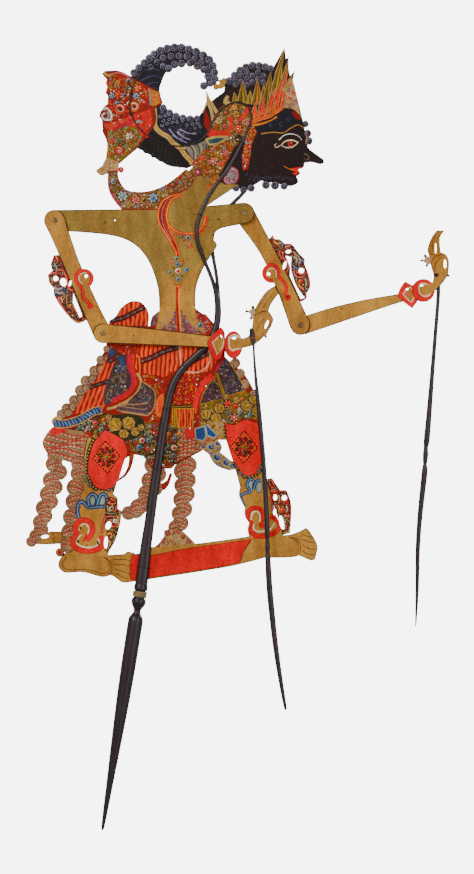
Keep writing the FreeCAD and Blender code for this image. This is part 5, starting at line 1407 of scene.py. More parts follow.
def draw_collar_wing(art):
    """Wing of the collar from the ear down to the neck, with its drop and flames."""
    art.paint(outline((72, 498), [(82, 501), (96, 501)], [(90, 494)], [(76, 491)]), "hide_pale")
    art.paint(outline((75, 497), [(86, 499), (92, 498)], [(84, 494)], [(77, 493)]), "teal")
    wing = outline((56, 469), [(63, 478), (70, 486), (80, 491), (96, 497)], [(106, 500)],
                   [(98, 483), (88, 464)], [(76, 458)], [(60, 462)])
    filigree(art, wing, "hide_dark", ("orange", "tan", "peach", "red", "mint", "hide_pale"), 3.8, "brown",
             0.16, 0.5, 0.3)
    blossoms(art, ((80, 475.5, 4.2, "pink", "cream"), (65, 464.5, 4.0, "magenta", "pink"),
                   (63, 474, 2.8, "rose", "cream"), (93, 484, 3.4, "pink", "rose"),
                   (80, 487, 3.0, "pink", "olive"), (70, 479, 3.2, "orange", "red"),
                   (88, 473, 3.0, "orange", "red")), 7, "brown")
    drop = outline((98, 470), [(104, 467), (105, 460), (102, 454), (95, 453), (91, 457), (94, 465)])
    art.paint(inset(drop, -1.2), "deep_red")
    filigree(art, drop, "lilac", ("pink", "rose", "mauve"), 2.3, "brown", 0.0, 0.2, 0.3)
    flower(art, 98, 461.5, 3.4, "mint", "grey", 7, "mauve")
    collar = outline((80, 436), [(90, 443), (99, 448.6)], [(106, 452)], [(100, 452.5), (92, 452), (86, 448)])
    art.paint(collar, "trunk")
    commas(art, ((76, 449.4, 0.9, "orange"), (79, 452, 0.6, "red"), (81.6, 455.4, 0.9, "flame"),
                 (77.4, 454.4, 1.6, "olive"), (74.2, 451.6, 1.2, "gold"), (84.4, 458.4, 0.7, "orange"),
                 (80, 458.6, 1.8, "red")), 4.4, 0.7, 1.5, "deep_red")


def draw_face(art):
    """A dark profile in the manner of flat puppets: long eye, arched brow, drooping nose and curled beard."""
    art.line([(146, 497), (151, 501.5), (158, 503), (165, 501), (169, 496.5)], "white", 1.2, 0.5)
    art.paint(outline((147, 491.5), [(152, 496.2), (159, 497.4), (166, 494.6)],
                      [(160, 489.4), (153, 488.6)]), "cream")
    art.paint(outline((148.6, 491.8), [(153, 495), (159, 496), (164.2, 494.2)],
                      [(159.4, 490.6), (153, 489.8)]), "face")
    art.paint(circle(157.2, 493, 2.5), "scarlet")
    art.paint(circle(157.4, 493, 1.6), "black")
    # White dot on the pupil: a painted glint in the eye.
    art.paint(circle(158, 493.7, 0.5, 6), "white")
    art.line([(147, 491.4), (143.4, 489.4), (141.6, 491.6), (143.6, 493.4)], "cream", 0.9, 0.5)
    art.line([(171, 483), (174.6, 481.6), (176, 478.4), (173.2, 476.8), (171.4, 479)], "grey", 0.8, 0.4)
    art.line([(188.6, 476.4), (185, 476), (180, 477.4)], "face_light", 0.5, 0.3)
    art.paint(outline((157, 468.4), [(163, 469.4), (168.4, 470.2)], [(166.4, 466.8), (161, 465.4)]),
              "scarlet", SKULL)
    art.paint(outline((158.6, 463.4), [(163, 465), (166.6, 464.6)], [(163, 461.8)]), "red", SKULL)
    art.line([(151, 470.6), (157, 467.6), (164, 465.8), (167, 465.4)], "peach", 0.7, 0.4, clip=SKULL)
    for x, z, r in ((146, 476, 2.3), (139, 470, 1.9), (134, 481, 1.9)):
        swirl(art, x, z, r, "face_light", 0.4, 1, 1.1, 0.5)
    for k in range(9):
        x, z = 126 + k * 4.0, 463.5 - 0.5 * abs(k - 4)
        swirl(art, x, z - 3.6, 1.9, "hair_mid", rng.uniform(0, TURN), 1, 1.0, 0.5)
    for k in range(6):
        swirl(art, 113 + k * 2.4, 462 - k * 0.4 - (k % 2) * 4, 1.8, "hair_mid", 1.2, -1, 1.0, 0.45)
    art.line([(172.6, 493), (174, 500), (172.6, 508)], "hide", 0.8, 0.5)


def draw_openings(art):
    """Large cut openings, the pins' holes, and two red lines beside the ankle crest."""
    art.holes((ellipse(-88, 100.4, 4.0, 1.7, 0.14), ellipse(-24.6, 111.6, 2.6, 4.2, -0.35),
               ellipse(-27, 94.6, 1.9, 6.2, -0.07), ellipse(142.2, 139.6, 1.9, 3.2),
               ellipse(151.3, 139.2, 2.6, 2.6), ellipse(141.7, 125, 1.5, 3.2, -0.07),
               ellipse(148.6, 114.5, 2.2, 7.2, 0.21), circle(85, 554, 1.5),
               circle(*LEFT_SHOULDER, PIN_HOLE), circle(*RIGHT_SHOULDER, PIN_HOLE)))
    art.line([(139, 136), (139.4, 143), (144, 143.6)], "red", 1.4)
    art.line([(147.6, 136), (151, 134.6), (155, 137)], "red", 1.6)


# Later parts are drawn over earlier ones.
BODY_PARTS = (draw_trunk, draw_collar_bands, draw_necklace, draw_tails, draw_cloth, draw_sashes,
              draw_floral_leaf, draw_apron, draw_striped_panel, draw_hip_cloths, draw_middle_field,
              draw_dark_fields, draw_gold_leaves, draw_left_ribbon, draw_right_ribbon, draw_flounce,
              draw_frills, draw_belly, draw_crescent, draw_legs, draw_soles, draw_thigh_cloths,
              draw_knee_scrolls, draw_ankle_bands, draw_ankle_crests, draw_curled_horn, draw_bun,
              draw_hanging_hair, draw_back_mask, draw_tail_ribbon, draw_skull, draw_crown, draw_brow,
              draw_ear_fan, draw_collar_wing, draw_face, draw_openings)


# ------------------------------------------------------------------ drawing the arms
def draw_left_upper(art):
    """Left upper arm with its armlet."""
    limb = outline((-88.4, 413), [(-80, 396), (-68, 368), (-52.5, 331), (-39.3, 301)], [(-20.5, 306)],
                   [(-33, 329), (-51, 369), (-59.5, 392), (-68.2, 419)])
    crest = outline((-68, 372), [(-73, 382)], [(-79, 381.6)], [(-82, 372.5)], [(-80.4, 366)], [(-85, 362)],
                    [(-83.5, 354), (-79, 348.5)], [(-78, 340), (-68, 325), (-56, 313.6), (-46, 317)],
                    [(-50, 326)], [(-58, 346)])
    art.mass([crest], "hide")
    draw_crest(art, crest, (([(-77.4, 382), (-76.2, 379), (-74.6, 375)], "red", 3.0),
                            ([(-80.6, 372), (-77.4, 369.4), (-73, 372.6), (-70, 374)], "black", 2.8),
                            ([(-78.6, 373.6), (-76.4, 369.6), (-76, 366.4)], "mint", 1.5),
                            ([(-84.4, 362.2), (-80.6, 363.6), (-76, 364.4)], "scarlet", 2.6),
                            ([(-75, 366.6), (-70.4, 366.4), (-67.8, 362.4), (-71.6, 361.6)], "rose", 2.2),
                            ([(-68.6, 364), (-66, 358), (-65.6, 352), (-62.6, 347.4), (-59.6, 346)],
                             "scarlet", 2.5), ([(-83, 360), (-83.2, 354.6), (-79, 350)], "olive", 2.2),
                            ([(-80.8, 356.6), (-80.8, 352.8)], "orange", 1.9),
                            ([(-79, 349.4), (-74.6, 347.6), (-70, 349)], "lilac", 3.4),
                            ([(-77.6, 345), (-73, 343.6), (-69.4, 345)], "mint", 3.0),
                            ([(-74.4, 340), (-70.8, 336.6), (-68.2, 340), (-70, 344)], "pink", 1.5),
                            ([(-71.4, 339.6), (-70.4, 334)], "cream", 1.2),
                            ([(-63.6, 344), (-62.2, 339.4), (-62.6, 336.4)], "black", 1.2),
                            ([(-66.6, 341), (-65.8, 334), (-64.6, 329)], "olive", 2.2),
                            ([(-75.4, 339), (-70.6, 330.6), (-65.6, 323.6), (-61, 319.6)], "red", 1.9),
                            ([(-59.4, 330), (-57.2, 325.4), (-55.4, 321.6)], "rose", 2.3),
                            ([(-61.4, 318), (-56, 315.4), (-50.4, 315)], "peach", 1.6),
                            ([(-51.6, 321), (-50, 319), (-48, 316.8)], "red", 1.4)),
               ((-76.5, 342.4, 1.9, "blue", "teal"), (-68.2, 346.4, 2.1, "blue", "teal"),
                (-62, 330.8, 2.6, "peach", "red"), (-59.8, 321.2, 2.3, "olive", "mint"),
                (-70.4, 363.6, 1.5, "olive", "mint")), ("pink", "mint", "tan", "grey", "rose"))
    art.mass([limb, circle(*LEFT_SHOULDER, SHOULDER_DISC), circle(*LEFT_ELBOW, ELBOW_DISC),
              circle(-48.6, 358.4, 9.7)], "hide")
    band = [(-43.6, 351), (-40.6, 357), (-42.6, 364), (-48.6, 367), (-55, 364), (-56.8, 357),
            (-52.6, 350.6), (-50, 345), (-49, 339), (-44, 334), (-42.4, 331)]
    art.line(band, "deep_red", 4.6, 3.2)
    art.line(band, "scarlet", 3.6, 2.4)
    art.paint(circle(-42.4, 330.8, 3.2), "red")
    art.line([(-46, 363.6), (-49.6, 364), (-53.4, 361), (-53.6, 356.6), (-50.4, 353)], "cream", 0.9)
    art.line([(-51.6, 345), (-51, 338.6), (-46, 333)], "hide_dark", 0.7)
    art.holes((circle(-77, 358.2, 2.6), ellipse(-69.4, 354.6, 3.2, 4.2, 0.26),
               ellipse(-62.6, 353.4, 1.2, 3.0, -0.26), outline((-59.4, 343.5), [(-52.6, 326.5)],
                                                               [(-50.8, 321), (-53, 319.5)],
                                                               [(-59.8, 334)]), circle(-46.6, 360.6, 1.7),
               circle(*LEFT_SHOULDER, PIN_HOLE), circle(*LEFT_ELBOW, PIN_HOLE)))
    for x, z, r in ((-31.5, 319, 0.9), (-74, 402, 0.7), (-63, 384, 0.6)):
        art.paint(circle(x, z, r), "hide_dark")


def draw_hand(art, lines):
    """Fine lines that shape the fingers."""
    for line, width, ink in lines:
        art.line(line, ink, width, width * 0.6)


def draw_left_forearm(art):
    """Left forearm with cuff, bracelet and hand."""
    limb = outline((-30, 313.3), [(0, 310.2), (40, 305.8), (76, 301.2)], [(92, 301)], [(92, 289)],
                   [(76, 289.3), (30, 291.3), (-30, 293.7)])
    cuff = outline((74, 294), [(80, 303), (88, 309.8)], [(92, 303), (91, 287)], [(87.5, 277.5)],
                   [(82, 276.2)], [(77, 284)])
    hand = outline((100, 299), [(109, 298.4), (115.5, 301), (119.3, 311), (119.8, 319)],
                   [(122.5, 329), (132, 344), (142, 351)], [(146, 343.5)], [(138.5, 333.5), (135.4, 325.6)],
                   [(140, 318.5), (138.8, 312), (133, 301.8)], [(130.6, 300)],
                   [(126, 295.6), (119, 291.2), (108, 288.4)], [(100, 288.6)])
    charm = [(122, 328), (119.4, 330), (117.5, 327), (113.6, 325.4), (117.4, 322.8), (117.6, 318.4),
             (121.5, 319.5)]
    art.mass([limb, circle(*LEFT_ELBOW, ELBOW_DISC), hand], "hide")
    art.ground(charm, "curl_light")
    for x, z, r in ((119.8, 329.6, 1.7), (113.6, 325.4, 1.4), (118, 318.6, 1.6), (132.6, 300.2, 1.4)):
        art.ground(circle(x, z, r), "black")
        # Grey spot at each black bead's upper left: a painted highlight.
        art.paint(circle(x - 0.2, z + 0.3, r * 0.45, 7), "grey")
    art.mass([cuff], "scarlet", "deep_red", 0.6)
    inner = [(79, 294.6), (88.4, 303.2), (91.6, 296), (90, 289), (84, 281.6)]
    art.paint(inner, "cream")
    art.paint(inset(inner, 1.3), "hide")
    ring = ellipse(100.4, 292, 9.4, 13.7, 0, 30)
    art.mass([ring], "scarlet", "deep_red", 0.6)
    art.paint(outline((95.5, 300), [(101, 303), (106, 301), (109.6, 299)], [(109.6, 288)],
                      [(104, 287), (99.6, 285.4), (96, 288), (95, 294)]), "cream")
    art.paint(outline((97, 297.6), [(103, 299), (110, 298.4)], [(110, 288.6)],
                      [(103, 288.4), (98.6, 287.8), (96.6, 292)]), "hide")
    draw_hand(art, (([(125, 322), (130, 325), (137, 324)], 0.7, "edge"),
                    ([(121, 321), (127, 325), (133, 325.6)], 0.6, "edge"),
                    ([(126, 316), (130, 320), (134, 318)], 0.9, "hide_pale"),
                    ([(124, 306), (127, 313), (132, 319)], 0.7, "hide_dark"),
                    ([(127, 330), (132, 338), (140, 346)], 0.9, "hide_pale"),
                    ([(130, 329), (135, 337), (142, 344)], 0.6, "edge"),
                    ([(124, 326), (128, 333), (136, 344)], 0.6, "edge"),
                    ([(122, 301), (126, 305), (129, 312)], 0.6, "hide_pale"),
                    ([(131, 304), (128, 300), (123, 297)], 0.6, "edge"),
                    ([(134, 306), (137, 312), (137, 318)], 0.5, "edge")))
    art.paint(ellipse(119.3, 304.5, 2.2, 3.6, 0.2), "brown")
    art.holes((ellipse(133.6, 312.4, 1.3, 4.6, -0.38), ellipse(87.4, 299.8, 1.7, 1.5),
               ellipse(101, 298.6, 2.2, 1.2), circle(*LEFT_ELBOW, PIN_HOLE),
               circle(*LEFT_TIE, TIE_HOLE, 8)))
    for x, z in ((0.9, 301.3), (58, 297)):
        art.paint(circle(x, z, 0.9), "hide_dark")


def draw_right_upper(art):
    """Right upper arm with its armlet."""
    limb = outline((120.4, 428.5), [(138, 395), (155, 362), (170, 330), (177.2, 315)], [(157.3, 309)],
                   [(152, 325), (142, 352), (127, 384), (103.6, 416.4)])
    crest = outline((136, 398), [(139.8, 402.6)], [(142, 398.2)], [(147, 398)], [(152, 393.4)],
                    [(158.5, 393.8)], [(166, 384)], [(172, 378)], [(171.6, 373.4)],
                    [(176, 362), (177.4, 351), (173.5, 343.6)], [(173.6, 338.6), (167, 335)], [(155, 360)],
                    [(140, 380)])
    art.mass([crest], "hide")
    draw_crest(art, crest, (([(139.6, 402), (140.2, 398.6), (143, 396.6)], "rose", 2.2),
                            ([(141, 396), (144, 393.4), (146.6, 394)], "peach", 2.6),
                            ([(145.6, 397), (149, 395.6), (152, 391.4)], "black", 3.0),
                            ([(146.4, 395), (149, 393), (149.6, 390.6)], "mint", 1.3),
                            ([(152, 390), (156, 391.6), (160, 393.2)], "pink", 2.4),
                            ([(153, 388.4), (158, 390)], "rust", 1.6),
                            ([(147, 387), (146.6, 382.4), (149.6, 379.4)], "scarlet", 2.0),
                            ([(149.4, 385.4), (150, 382.6)], "peach", 1.8),
                            ([(150, 379.6), (154.6, 374), (155.4, 369), (153, 363.6)], "red", 2.3),
                            ([(158.6, 389), (162.4, 387.4), (165, 383)], "black", 1.4),
                            ([(160.4, 385.6), (163.6, 382), (166.6, 380)], "tan", 2.2),
                            ([(160.6, 380.6), (164, 378), (163, 374)], "mint", 3.0),
                            ([(165.4, 379), (167.6, 376.6), (165.4, 373)], "lilac", 3.0),
                            ([(160, 372), (162.6, 369.4), (164.8, 369)], "blue", 3.0),
                            ([(168.8, 377.4), (171, 375), (171.4, 372.6)], "blue", 2.4),
                            ([(163.4, 366), (167.6, 362.8), (173, 365)], "scarlet", 1.6),
                            ([(161, 366.4), (162.4, 361.6), (166.4, 359.8), (171.6, 361)], "pink", 1.6),
                            ([(171.4, 373), (174.2, 366), (175.8, 357), (176, 351)], "red", 1.5),
                            ([(172.2, 358.6), (173.4, 353), (172.6, 350)], "mint", 1.9),
                            ([(163.6, 358.6), (163.8, 355), (166, 351.6)], "olive", 1.5),
                            ([(165.4, 352), (168.6, 349.6), (171, 347.6)], "peach", 2.0),
                            ([(172, 345), (173, 341), (171, 337), (167, 337)], "rose", 1.4)),
               ((167.4, 355.4, 2.8, "flame", "red"), (173.8, 348.4, 2.2, "olive", "mint")),
               ("pink", "mint", "tan", "grey", "rose"))
    art.mass([limb, circle(*RIGHT_SHOULDER, SHOULDER_DISC), circle(*RIGHT_ELBOW, ELBOW_DISC),
              circle(138.8, 364, 9.9)], "hide")
    band = [(140, 356), (134, 357), (131, 364), (134, 371), (140, 372), (145, 368), (145.6, 361),
            (150, 356.4), (153.6, 350), (152.6, 343), (155, 339.6)]
    art.line(band, "deep_red", 4.8, 3.0)
    art.line(band, "scarlet", 3.8, 2.2)
    art.paint(circle(155, 339.6, 3.4), "red")
    art.paint(circle(155, 340.2, 1.6), "deep_red")
    art.line([(133.8, 361), (134.6, 366.6), (139, 369), (143, 366), (143.2, 360)], "cream", 0.9)
    art.holes((outline((152.5, 381.4), [(158.5, 380)], [(158, 368), (162.6, 353), (169, 343)],
                       [(171.4, 339.4), (167.6, 338.4)], [(157, 361)], [(157.4, 370)]),
               ellipse(155.4, 385.6, 2.8, 1.8, 0.2), ellipse(151.6, 371.8, 1.5, 4.4, -0.28),
               ellipse(168.4, 366.6, 2.8, 2.6), circle(135.6, 363.2, 1.8),
               circle(*RIGHT_SHOULDER, PIN_HOLE), circle(*RIGHT_ELBOW, PIN_HOLE)))


def draw_right_forearm(art):
    """Right forearm with cuff, bracelet and hand."""
    limb = outline((172, 321.4), [(200, 330), (232, 337.6), (266, 343.4)], [(284, 346)], [(284, 337)],
                   [(268, 335), (230, 322.4), (172, 302.6)])
    cuff = outline((264, 340.8), [(268, 350), (272.4, 355.8)], [(284, 350)], [(285.6, 337)],
                   [(279.6, 328.8)], [(273, 333.6)])
    hand = outline((292, 353), [(299, 354), (301, 361), (298.4, 371)], [(296.6, 381)],
                   [(295, 388), (298, 398), (304, 407)], [(311.8, 406.6)], [(307.2, 399), (308, 385)],
                   [(313.5, 382.4), (316.4, 375), (315.4, 362)], [(310.6, 355)], [(304.5, 347.8)],
                   [(298, 343)], [(292, 341)])
    charm = [(298, 380), (292.4, 381.8), (292, 378.6), (288.4, 376.8), (293, 374.4), (294.2, 371.6),
             (298, 373.6)]
    art.mass([limb, circle(*RIGHT_ELBOW, ELBOW_DISC), hand], "hide")
    art.ground(charm, "curl_light")
    for x, z, r in ((292.4, 381.6, 1.5), (288.6, 376.8, 1.2), (294.2, 371.8, 1.4), (316, 361.7, 1.3)):
        art.ground(circle(x, z, r), "black")
        # Grey spot at each black bead's upper left: a painted highlight.
        art.paint(circle(x - 0.2, z + 0.3, r * 0.45, 7), "grey")
    art.mass([cuff], "scarlet", "deep_red", 0.6)
    inner = outline((269.6, 343), [(273, 348), (277.4, 351)], [(281, 347), (282.6, 341)],
                    [(279, 334.6), (274, 338)])
    art.paint(inner, "cream")
    art.paint(inset(inner, 1.2), "hide")
    art.paint(circle(274.6, 343, 2.2), "pink")
    art.mass([circle(290.6, 346.8, 11.6)], "scarlet", "deep_red", 0.6)
    inner = outline((285.4, 350), [(288, 354.4), (294, 354)], [(301, 350)],
                    [(297, 341.6), (291, 340.4), (286.4, 344)])
    art.paint(inner, "cream")
    art.paint(outline((286.8, 349), [(290, 352), (296, 353)], [(302, 356)], [(303, 348)],
                      [(297, 343.4), (291, 342), (287.6, 345)]), "hide")
    draw_hand(art, (([(298, 384), (303, 382), (309, 383)], 0.7, "edge"),
                    ([(303, 379), (308, 380), (312, 377)], 0.6, "hide_dark"),
                    ([(300, 386), (300, 396), (306, 405)], 0.6, "edge"),
                    ([(302, 366), (303, 374), (308, 379)], 0.7, "edge"),
                    ([(306, 366), (306, 374), (310, 378)], 0.6, "hide_pale"),
                    ([(307, 358), (309, 366), (310, 372)], 0.6, "hide_pale"),
                    ([(304, 398), (307, 402), (311, 405)], 0.6, "edge"),
                    ([(299, 376), (302, 380), (308, 382)], 0.6, "edge")))
    art.paint(ellipse(303.5, 362.4, 2.6, 1.8, 0.1), "brown")
    art.holes((ellipse(312.4, 373.4, 1.5, 4.6), ellipse(303.1, 389, 0.9, 5.4),
               ellipse(274.6, 348, 1.5, 1.1, 0.35), ellipse(289, 351.8, 1.6, 1),
               circle(*RIGHT_ELBOW, PIN_HOLE), circle(*RIGHT_TIE, TIE_HOLE, 8)))
    art.paint(circle(209, 328.7, 1.0), "hide_dark")


# ------------------------------------------------------------------ sheets from artwork
RIM_COLOUR = linear("6B4A1E")  # raw hide, on the cut edges


def flat_map(art):
    """Triangles of the artwork: places, corner numbers and a colour for each triangle."""
    corners, edges = [], []
    for kind, places, _, _ in art.shapes:
        first = len(corners)
        corners += [Vector(p) for p in places]
        count = len(places)
        edges += [(first + k, first + (k + 1) % count) for k in range(count)]
    result = delaunay_2d_cdt(corners, edges, [], 0, 1e-4, False)
    spots = np.array([tuple(v) for v in result[0]])
    tris = np.array([f for f in result[2] if len(f) == 3])
    middle = spots[tris].mean(axis=1)
    order = np.argsort(middle[:, 0])
    tris, middle = tris[order], middle[order]
    px, pz = middle[:, 0].copy(), middle[:, 1].copy()
    colour = np.zeros((len(tris), 3))
    alive = np.zeros(len(tris), dtype=bool)
    for kind, places, tint, clip in art.shapes:
        xs = [p[0] for p in places]
        zs = [p[1] for p in places]
        low, high = np.searchsorted(px, (min(xs), max(xs)))
        near = low + np.nonzero((pz[low:high] >= min(zs)) & (pz[low:high] <= max(zs)))[0]
        if not len(near):
            continue
        near = near[winding(px[near], pz[near], places)]
        if clip is not None and len(near):
            near = near[winding(px[near], pz[near], clip)]
        if kind == "hole":
            alive[near] = False
            continue
        if kind == "ground":
            alive[near] = True
        colour[near] = tint
    tris, colour = tris[alive], colour[alive]
    a, b, c = (spots[tris[:, k]] for k in range(3))
    cross = (b[:, 0] - a[:, 0]) * (c[:, 1] - a[:, 1]) - (c[:, 0] - a[:, 0]) * (b[:, 1] - a[:, 1])
    tris[cross < 0] = tris[cross < 0][:, ::-1]
    return spots, tris, colour


def sheet_piece(name, spots, tris, colour, walls, level, thickness, node, body):
    """A closed slab for some triangles of a map, painted alike on both faces."""
    used, packed = np.unique(np.concatenate([tris.ravel(), walls.ravel()]), return_inverse=True)
    tri_index = packed[:tris.size].reshape(tris.shape)
    wall_index = packed[tris.size:].reshape(walls.shape)
    x, z = spots[used, 0], spots[used, 1]
    y = level(x, z)
    front = np.stack([x, y - thickness / 2, z], axis=1) * MM
    back = np.stack([x, y + thickness / 2, z], axis=1) * MM
    count = len(used)
    quads = np.stack([wall_index[:, 1], wall_index[:, 0], wall_index[:, 0] + count,
                      wall_index[:, 1] + count], axis=1)
    mesh = bpy.data.meshes.new(name)
    faces = tri_index.tolist() + (tri_index[:, ::-1] + count).tolist() + quads.tolist()
    mesh.from_pydata(np.concatenate([front, back]).tolist(), [], faces)
    layer = mesh.attributes.new("paint", "FLOAT_COLOR", "CORNER")
    one = np.ones((len(colour) * 3, 1))
    flat = np.concatenate([np.repeat(colour, 3, axis=0), one], axis=1)
    edge = np.tile(np.array(RIM_COLOUR + [1.0]), (len(quads) * 4, 1))
    layer.data.foreach_set("color", np.concatenate([flat, flat, edge]).ravel().astype(np.float32))
    mesh.materials.append(HIDE)
    obj = bpy.data.objects.new(name, mesh)
    bpy.context.scene.collection.objects.link(obj)
    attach(obj, body)
    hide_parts(node)


def hide_sheets(art, zones, level, thickness, node, body):
    """Cut one map into named zones. A zone is a test on the middle of a triangle."""
    spots, tris, colour = flat_map(art)
    middle = spots[tris].mean(axis=1)
    sides = np.concatenate([tris[:, [0, 1]], tris[:, [1, 2]], tris[:, [2, 0]]])
    owner = np.tile(np.arange(len(tris)), 3)
    size = len(spots)
    forward = sides[:, 0] * size + sides[:, 1]
    backward = sides[:, 1] * size + sides[:, 0]
    border = ~np.isin(forward, backward)
    left = np.ones(len(tris), dtype=bool)
    for name, test in zones:
        mine = left & test(middle[:, 0], middle[:, 1])
        left &= ~mine
        walls = sides[border & mine[owner]]
        sheet_piece(name, spots, tris[mine], colour[mine], walls, level, thickness, node, body)


# ------------------------------------------------------------------ materials
class Nodes:
    """Short hand for building a material's node tree."""

    def __init__(self, name):
        self.material = bpy.data.materials.new(name)
        self.material.use_nodes = True
        self.tree = self.material.node_tree
        self.surface = self.tree.nodes["Principled BSDF"]
        self.place = self.add("ShaderNodeTexCoord").outputs["Object"]

    def add(self, kind, **settings):
        node = self.tree.nodes.new(kind)
        for key, value in settings.items():
            setattr(node, key, value)
        return node

    def link(self, source, target):
        self.tree.links.new(source, target)

    def feed(self, node, values):
        """Sets a node's inputs to numbers, or links them."""
        for key, value in values.items():
            socket = node.inputs[key]
            if hasattr(value, "is_output"):
                self.link(value, socket)
            else:
                socket.default_value = value
        return node

    def noise(self, scale, detail=4.0, rough=0.55, place=None):
        """Cloudy noise, as a number from 0 to 1."""
        node = self.feed(self.add("ShaderNodeTexNoise"), {
            "Scale": scale, "Detail": detail, "Roughness": rough, "Vector": place or self.place})
        return node.outputs["Fac"]

    def cells(self, scale, feature="DISTANCE_TO_EDGE"):
        """Distance inside small cells."""
        node = self.feed(self.add("ShaderNodeTexVoronoi", feature=feature),
                         {"Scale": scale, "Vector": self.place})
        return node.outputs["Distance"]

    def ramp(self, value, low, high, start=0.0, end=1.0):
        """Maps low to high onto start to end."""
        node = self.feed(self.add("ShaderNodeMapRange"), {
            "Value": value, "From Min": low, "From Max": high, "To Min": start, "To Max": end})
        return node.outputs["Result"]

    def math(self, operation, a, b):
        """One sum of two values."""
        node = self.add("ShaderNodeMath", operation=operation)
        self.feed(node, {0: a, 1: b})
        return node.outputs[0]

    def mix(self, factor, a, b, blend="MIX"):
        """Mixes two colours."""
        node = self.add("ShaderNodeMix", data_type="RGBA", blend_type=blend)
        self.feed(node, {0: factor, 6: a, 7: b})
        return node.outputs[2]

    def stretched(self, scale, turn=(0, 0, 0)):
        """Object coordinates, stretched and turned."""
        node = self.feed(self.add("ShaderNodeMapping"),
                         {"Vector": self.place, "Scale": scale, "Rotation": turn})
        return node.outputs["Vector"]

    def bump(self, height, strength, distance, under=None):
        """Surface relief from a height, over another one if given."""
        values = {"Height": height, "Strength": strength, "Distance": distance}
        if under:
            values["Normal"] = under
        return self.feed(self.add("ShaderNodeBump"), values).outputs["Normal"]

    def finish(self, **values):
        """Sets the surface's inputs and gives the material."""
        self.feed(self.surface, {key.replace("_", " "): value for key, value in values.items()})
        return self.material


def rgba(code):
    """Colour with alpha from a six-digit sRGB code."""
    return tuple(linear(code)) + (1.0,)


def painted_hide():
    """The paint attribute, worn, stained, cracked and grained like old hide."""
    n = Nodes("painted_hide")
    paint = n.add("ShaderNodeVertexColor", layer_name="paint").outputs["Color"]
    broad = n.noise(14, 5, 0.6)
    patch = n.noise(38, 4, 0.55)
    fine = n.noise(520, 3, 0.6)
    brush = n.noise(80, 6, 0.65, n.stretched((1.0, 1.0, 0.25), (0, 0.5, 0)))
    speck = n.noise(260, 8, 0.75)
    tone = n.mix(n.ramp(broad, 0.40, 0.66, 0.0, 0.48), paint, rgba("B88230"), "MULTIPLY")
    tone = n.mix(n.ramp(patch, 0.54, 0.36, 0.0, 0.20), tone, rgba("A8A8A0"), "MULTIPLY")
    tone = n.mix(n.ramp(brush, 0.40, 0.62, 0.0, 0.38), tone, rgba("7A5230"), "MULTIPLY")
    light = n.add("ShaderNodeHueSaturation")
    n.feed(light, {"Saturation": 1.05, "Value": n.ramp(fine, 0.34, 0.68, 0.84, 1.22), "Color": tone})
    tone = light.outputs["Color"]
    worn = n.ramp(speck, 0.63, 0.70, 0.0, 0.30)
    tone = n.mix(worn, tone, rgba("6A4A20"))
    crack = n.ramp(n.cells(210), 0.0, 0.035, 0.32, 0.0)
    tone = n.mix(crack, tone, rgba("2A1A0C"), "MULTIPLY")
    pores = n.cells(900, "F1")
    height = n.math("ADD", n.math("MULTIPLY", fine, 0.5), n.math("MULTIPLY", brush, 0.8))
    normal = n.bump(height, 0.35, 0.00025)
    normal = n.bump(n.math("ADD", pores, n.math("MULTIPLY", crack, -2.0)), 0.18, 0.00012, normal)
    rough = n.ramp(n.math("ADD", brush, n.math("MULTIPLY", worn, 0.6)), 0.3, 0.9, 0.38, 0.66)
    return n.finish(Base_Color=tone, Roughness=rough, Normal=normal, IOR=1.40, Specular_IOR_Level=0.28)


def horn():
    """Dark polished buffalo horn with a long grain."""
    n = Nodes("polished_horn")
    grain = n.noise(60, 8, 0.65, n.stretched((9.0, 9.0, 0.55), (0, -0.14, 0)))
    cloud = n.noise(22, 4, 0.5)
    scratch = n.noise(300, 2, 0.5, n.stretched((1.0, 1.0, 14.0), (0, 0.6, 0.2)))
    tone = n.mix(n.ramp(grain, 0.40, 0.62), rgba("120908"), rgba("2A1610"))
    tone = n.mix(n.ramp(cloud, 0.60, 0.72, 0.0, 0.6), tone, rgba("38201A"))
    tone = n.mix(n.ramp(scratch, 0.70, 0.76, 0.0, 0.25), tone, rgba("4A3C3A"))
    height = n.math("ADD", n.math("MULTIPLY", grain, 0.6), n.math("MULTIPLY", scratch, 0.25))
    rough = n.ramp(n.math("ADD", grain, n.ramp(cloud, 0.3, 0.7, 0.0, 0.5)), 0.3, 1.1, 0.32, 0.52)
    return n.finish(Base_Color=tone, Roughness=rough, Normal=n.bump(height, 0.2, 0.0003), IOR=1.50,
                    Specular_Tint=(0.90, 0.82, 0.92, 1.0), Coat_Weight=0.12, Coat_Roughness=0.25)


def bone():
    """Stained bone of the pins and washers."""
    n = Nodes("aged_bone")
    grain = n.noise(700, 6, 0.6)
    stain = n.noise(160, 4, 0.6)
    tone = n.mix(n.ramp(stain, 0.35, 0.62), rgba("A8843E"), rgba("4E3416"))
    tone = n.mix(n.ramp(grain, 0.5, 0.7, 0.0, 0.5), tone, rgba("2C1C0C"))
    return n.finish(Base_Color=tone, Roughness=n.ramp(grain, 0.3, 0.7, 0.3, 0.55),
                    Normal=n.bump(grain, 0.4, 0.0001), IOR=1.5)


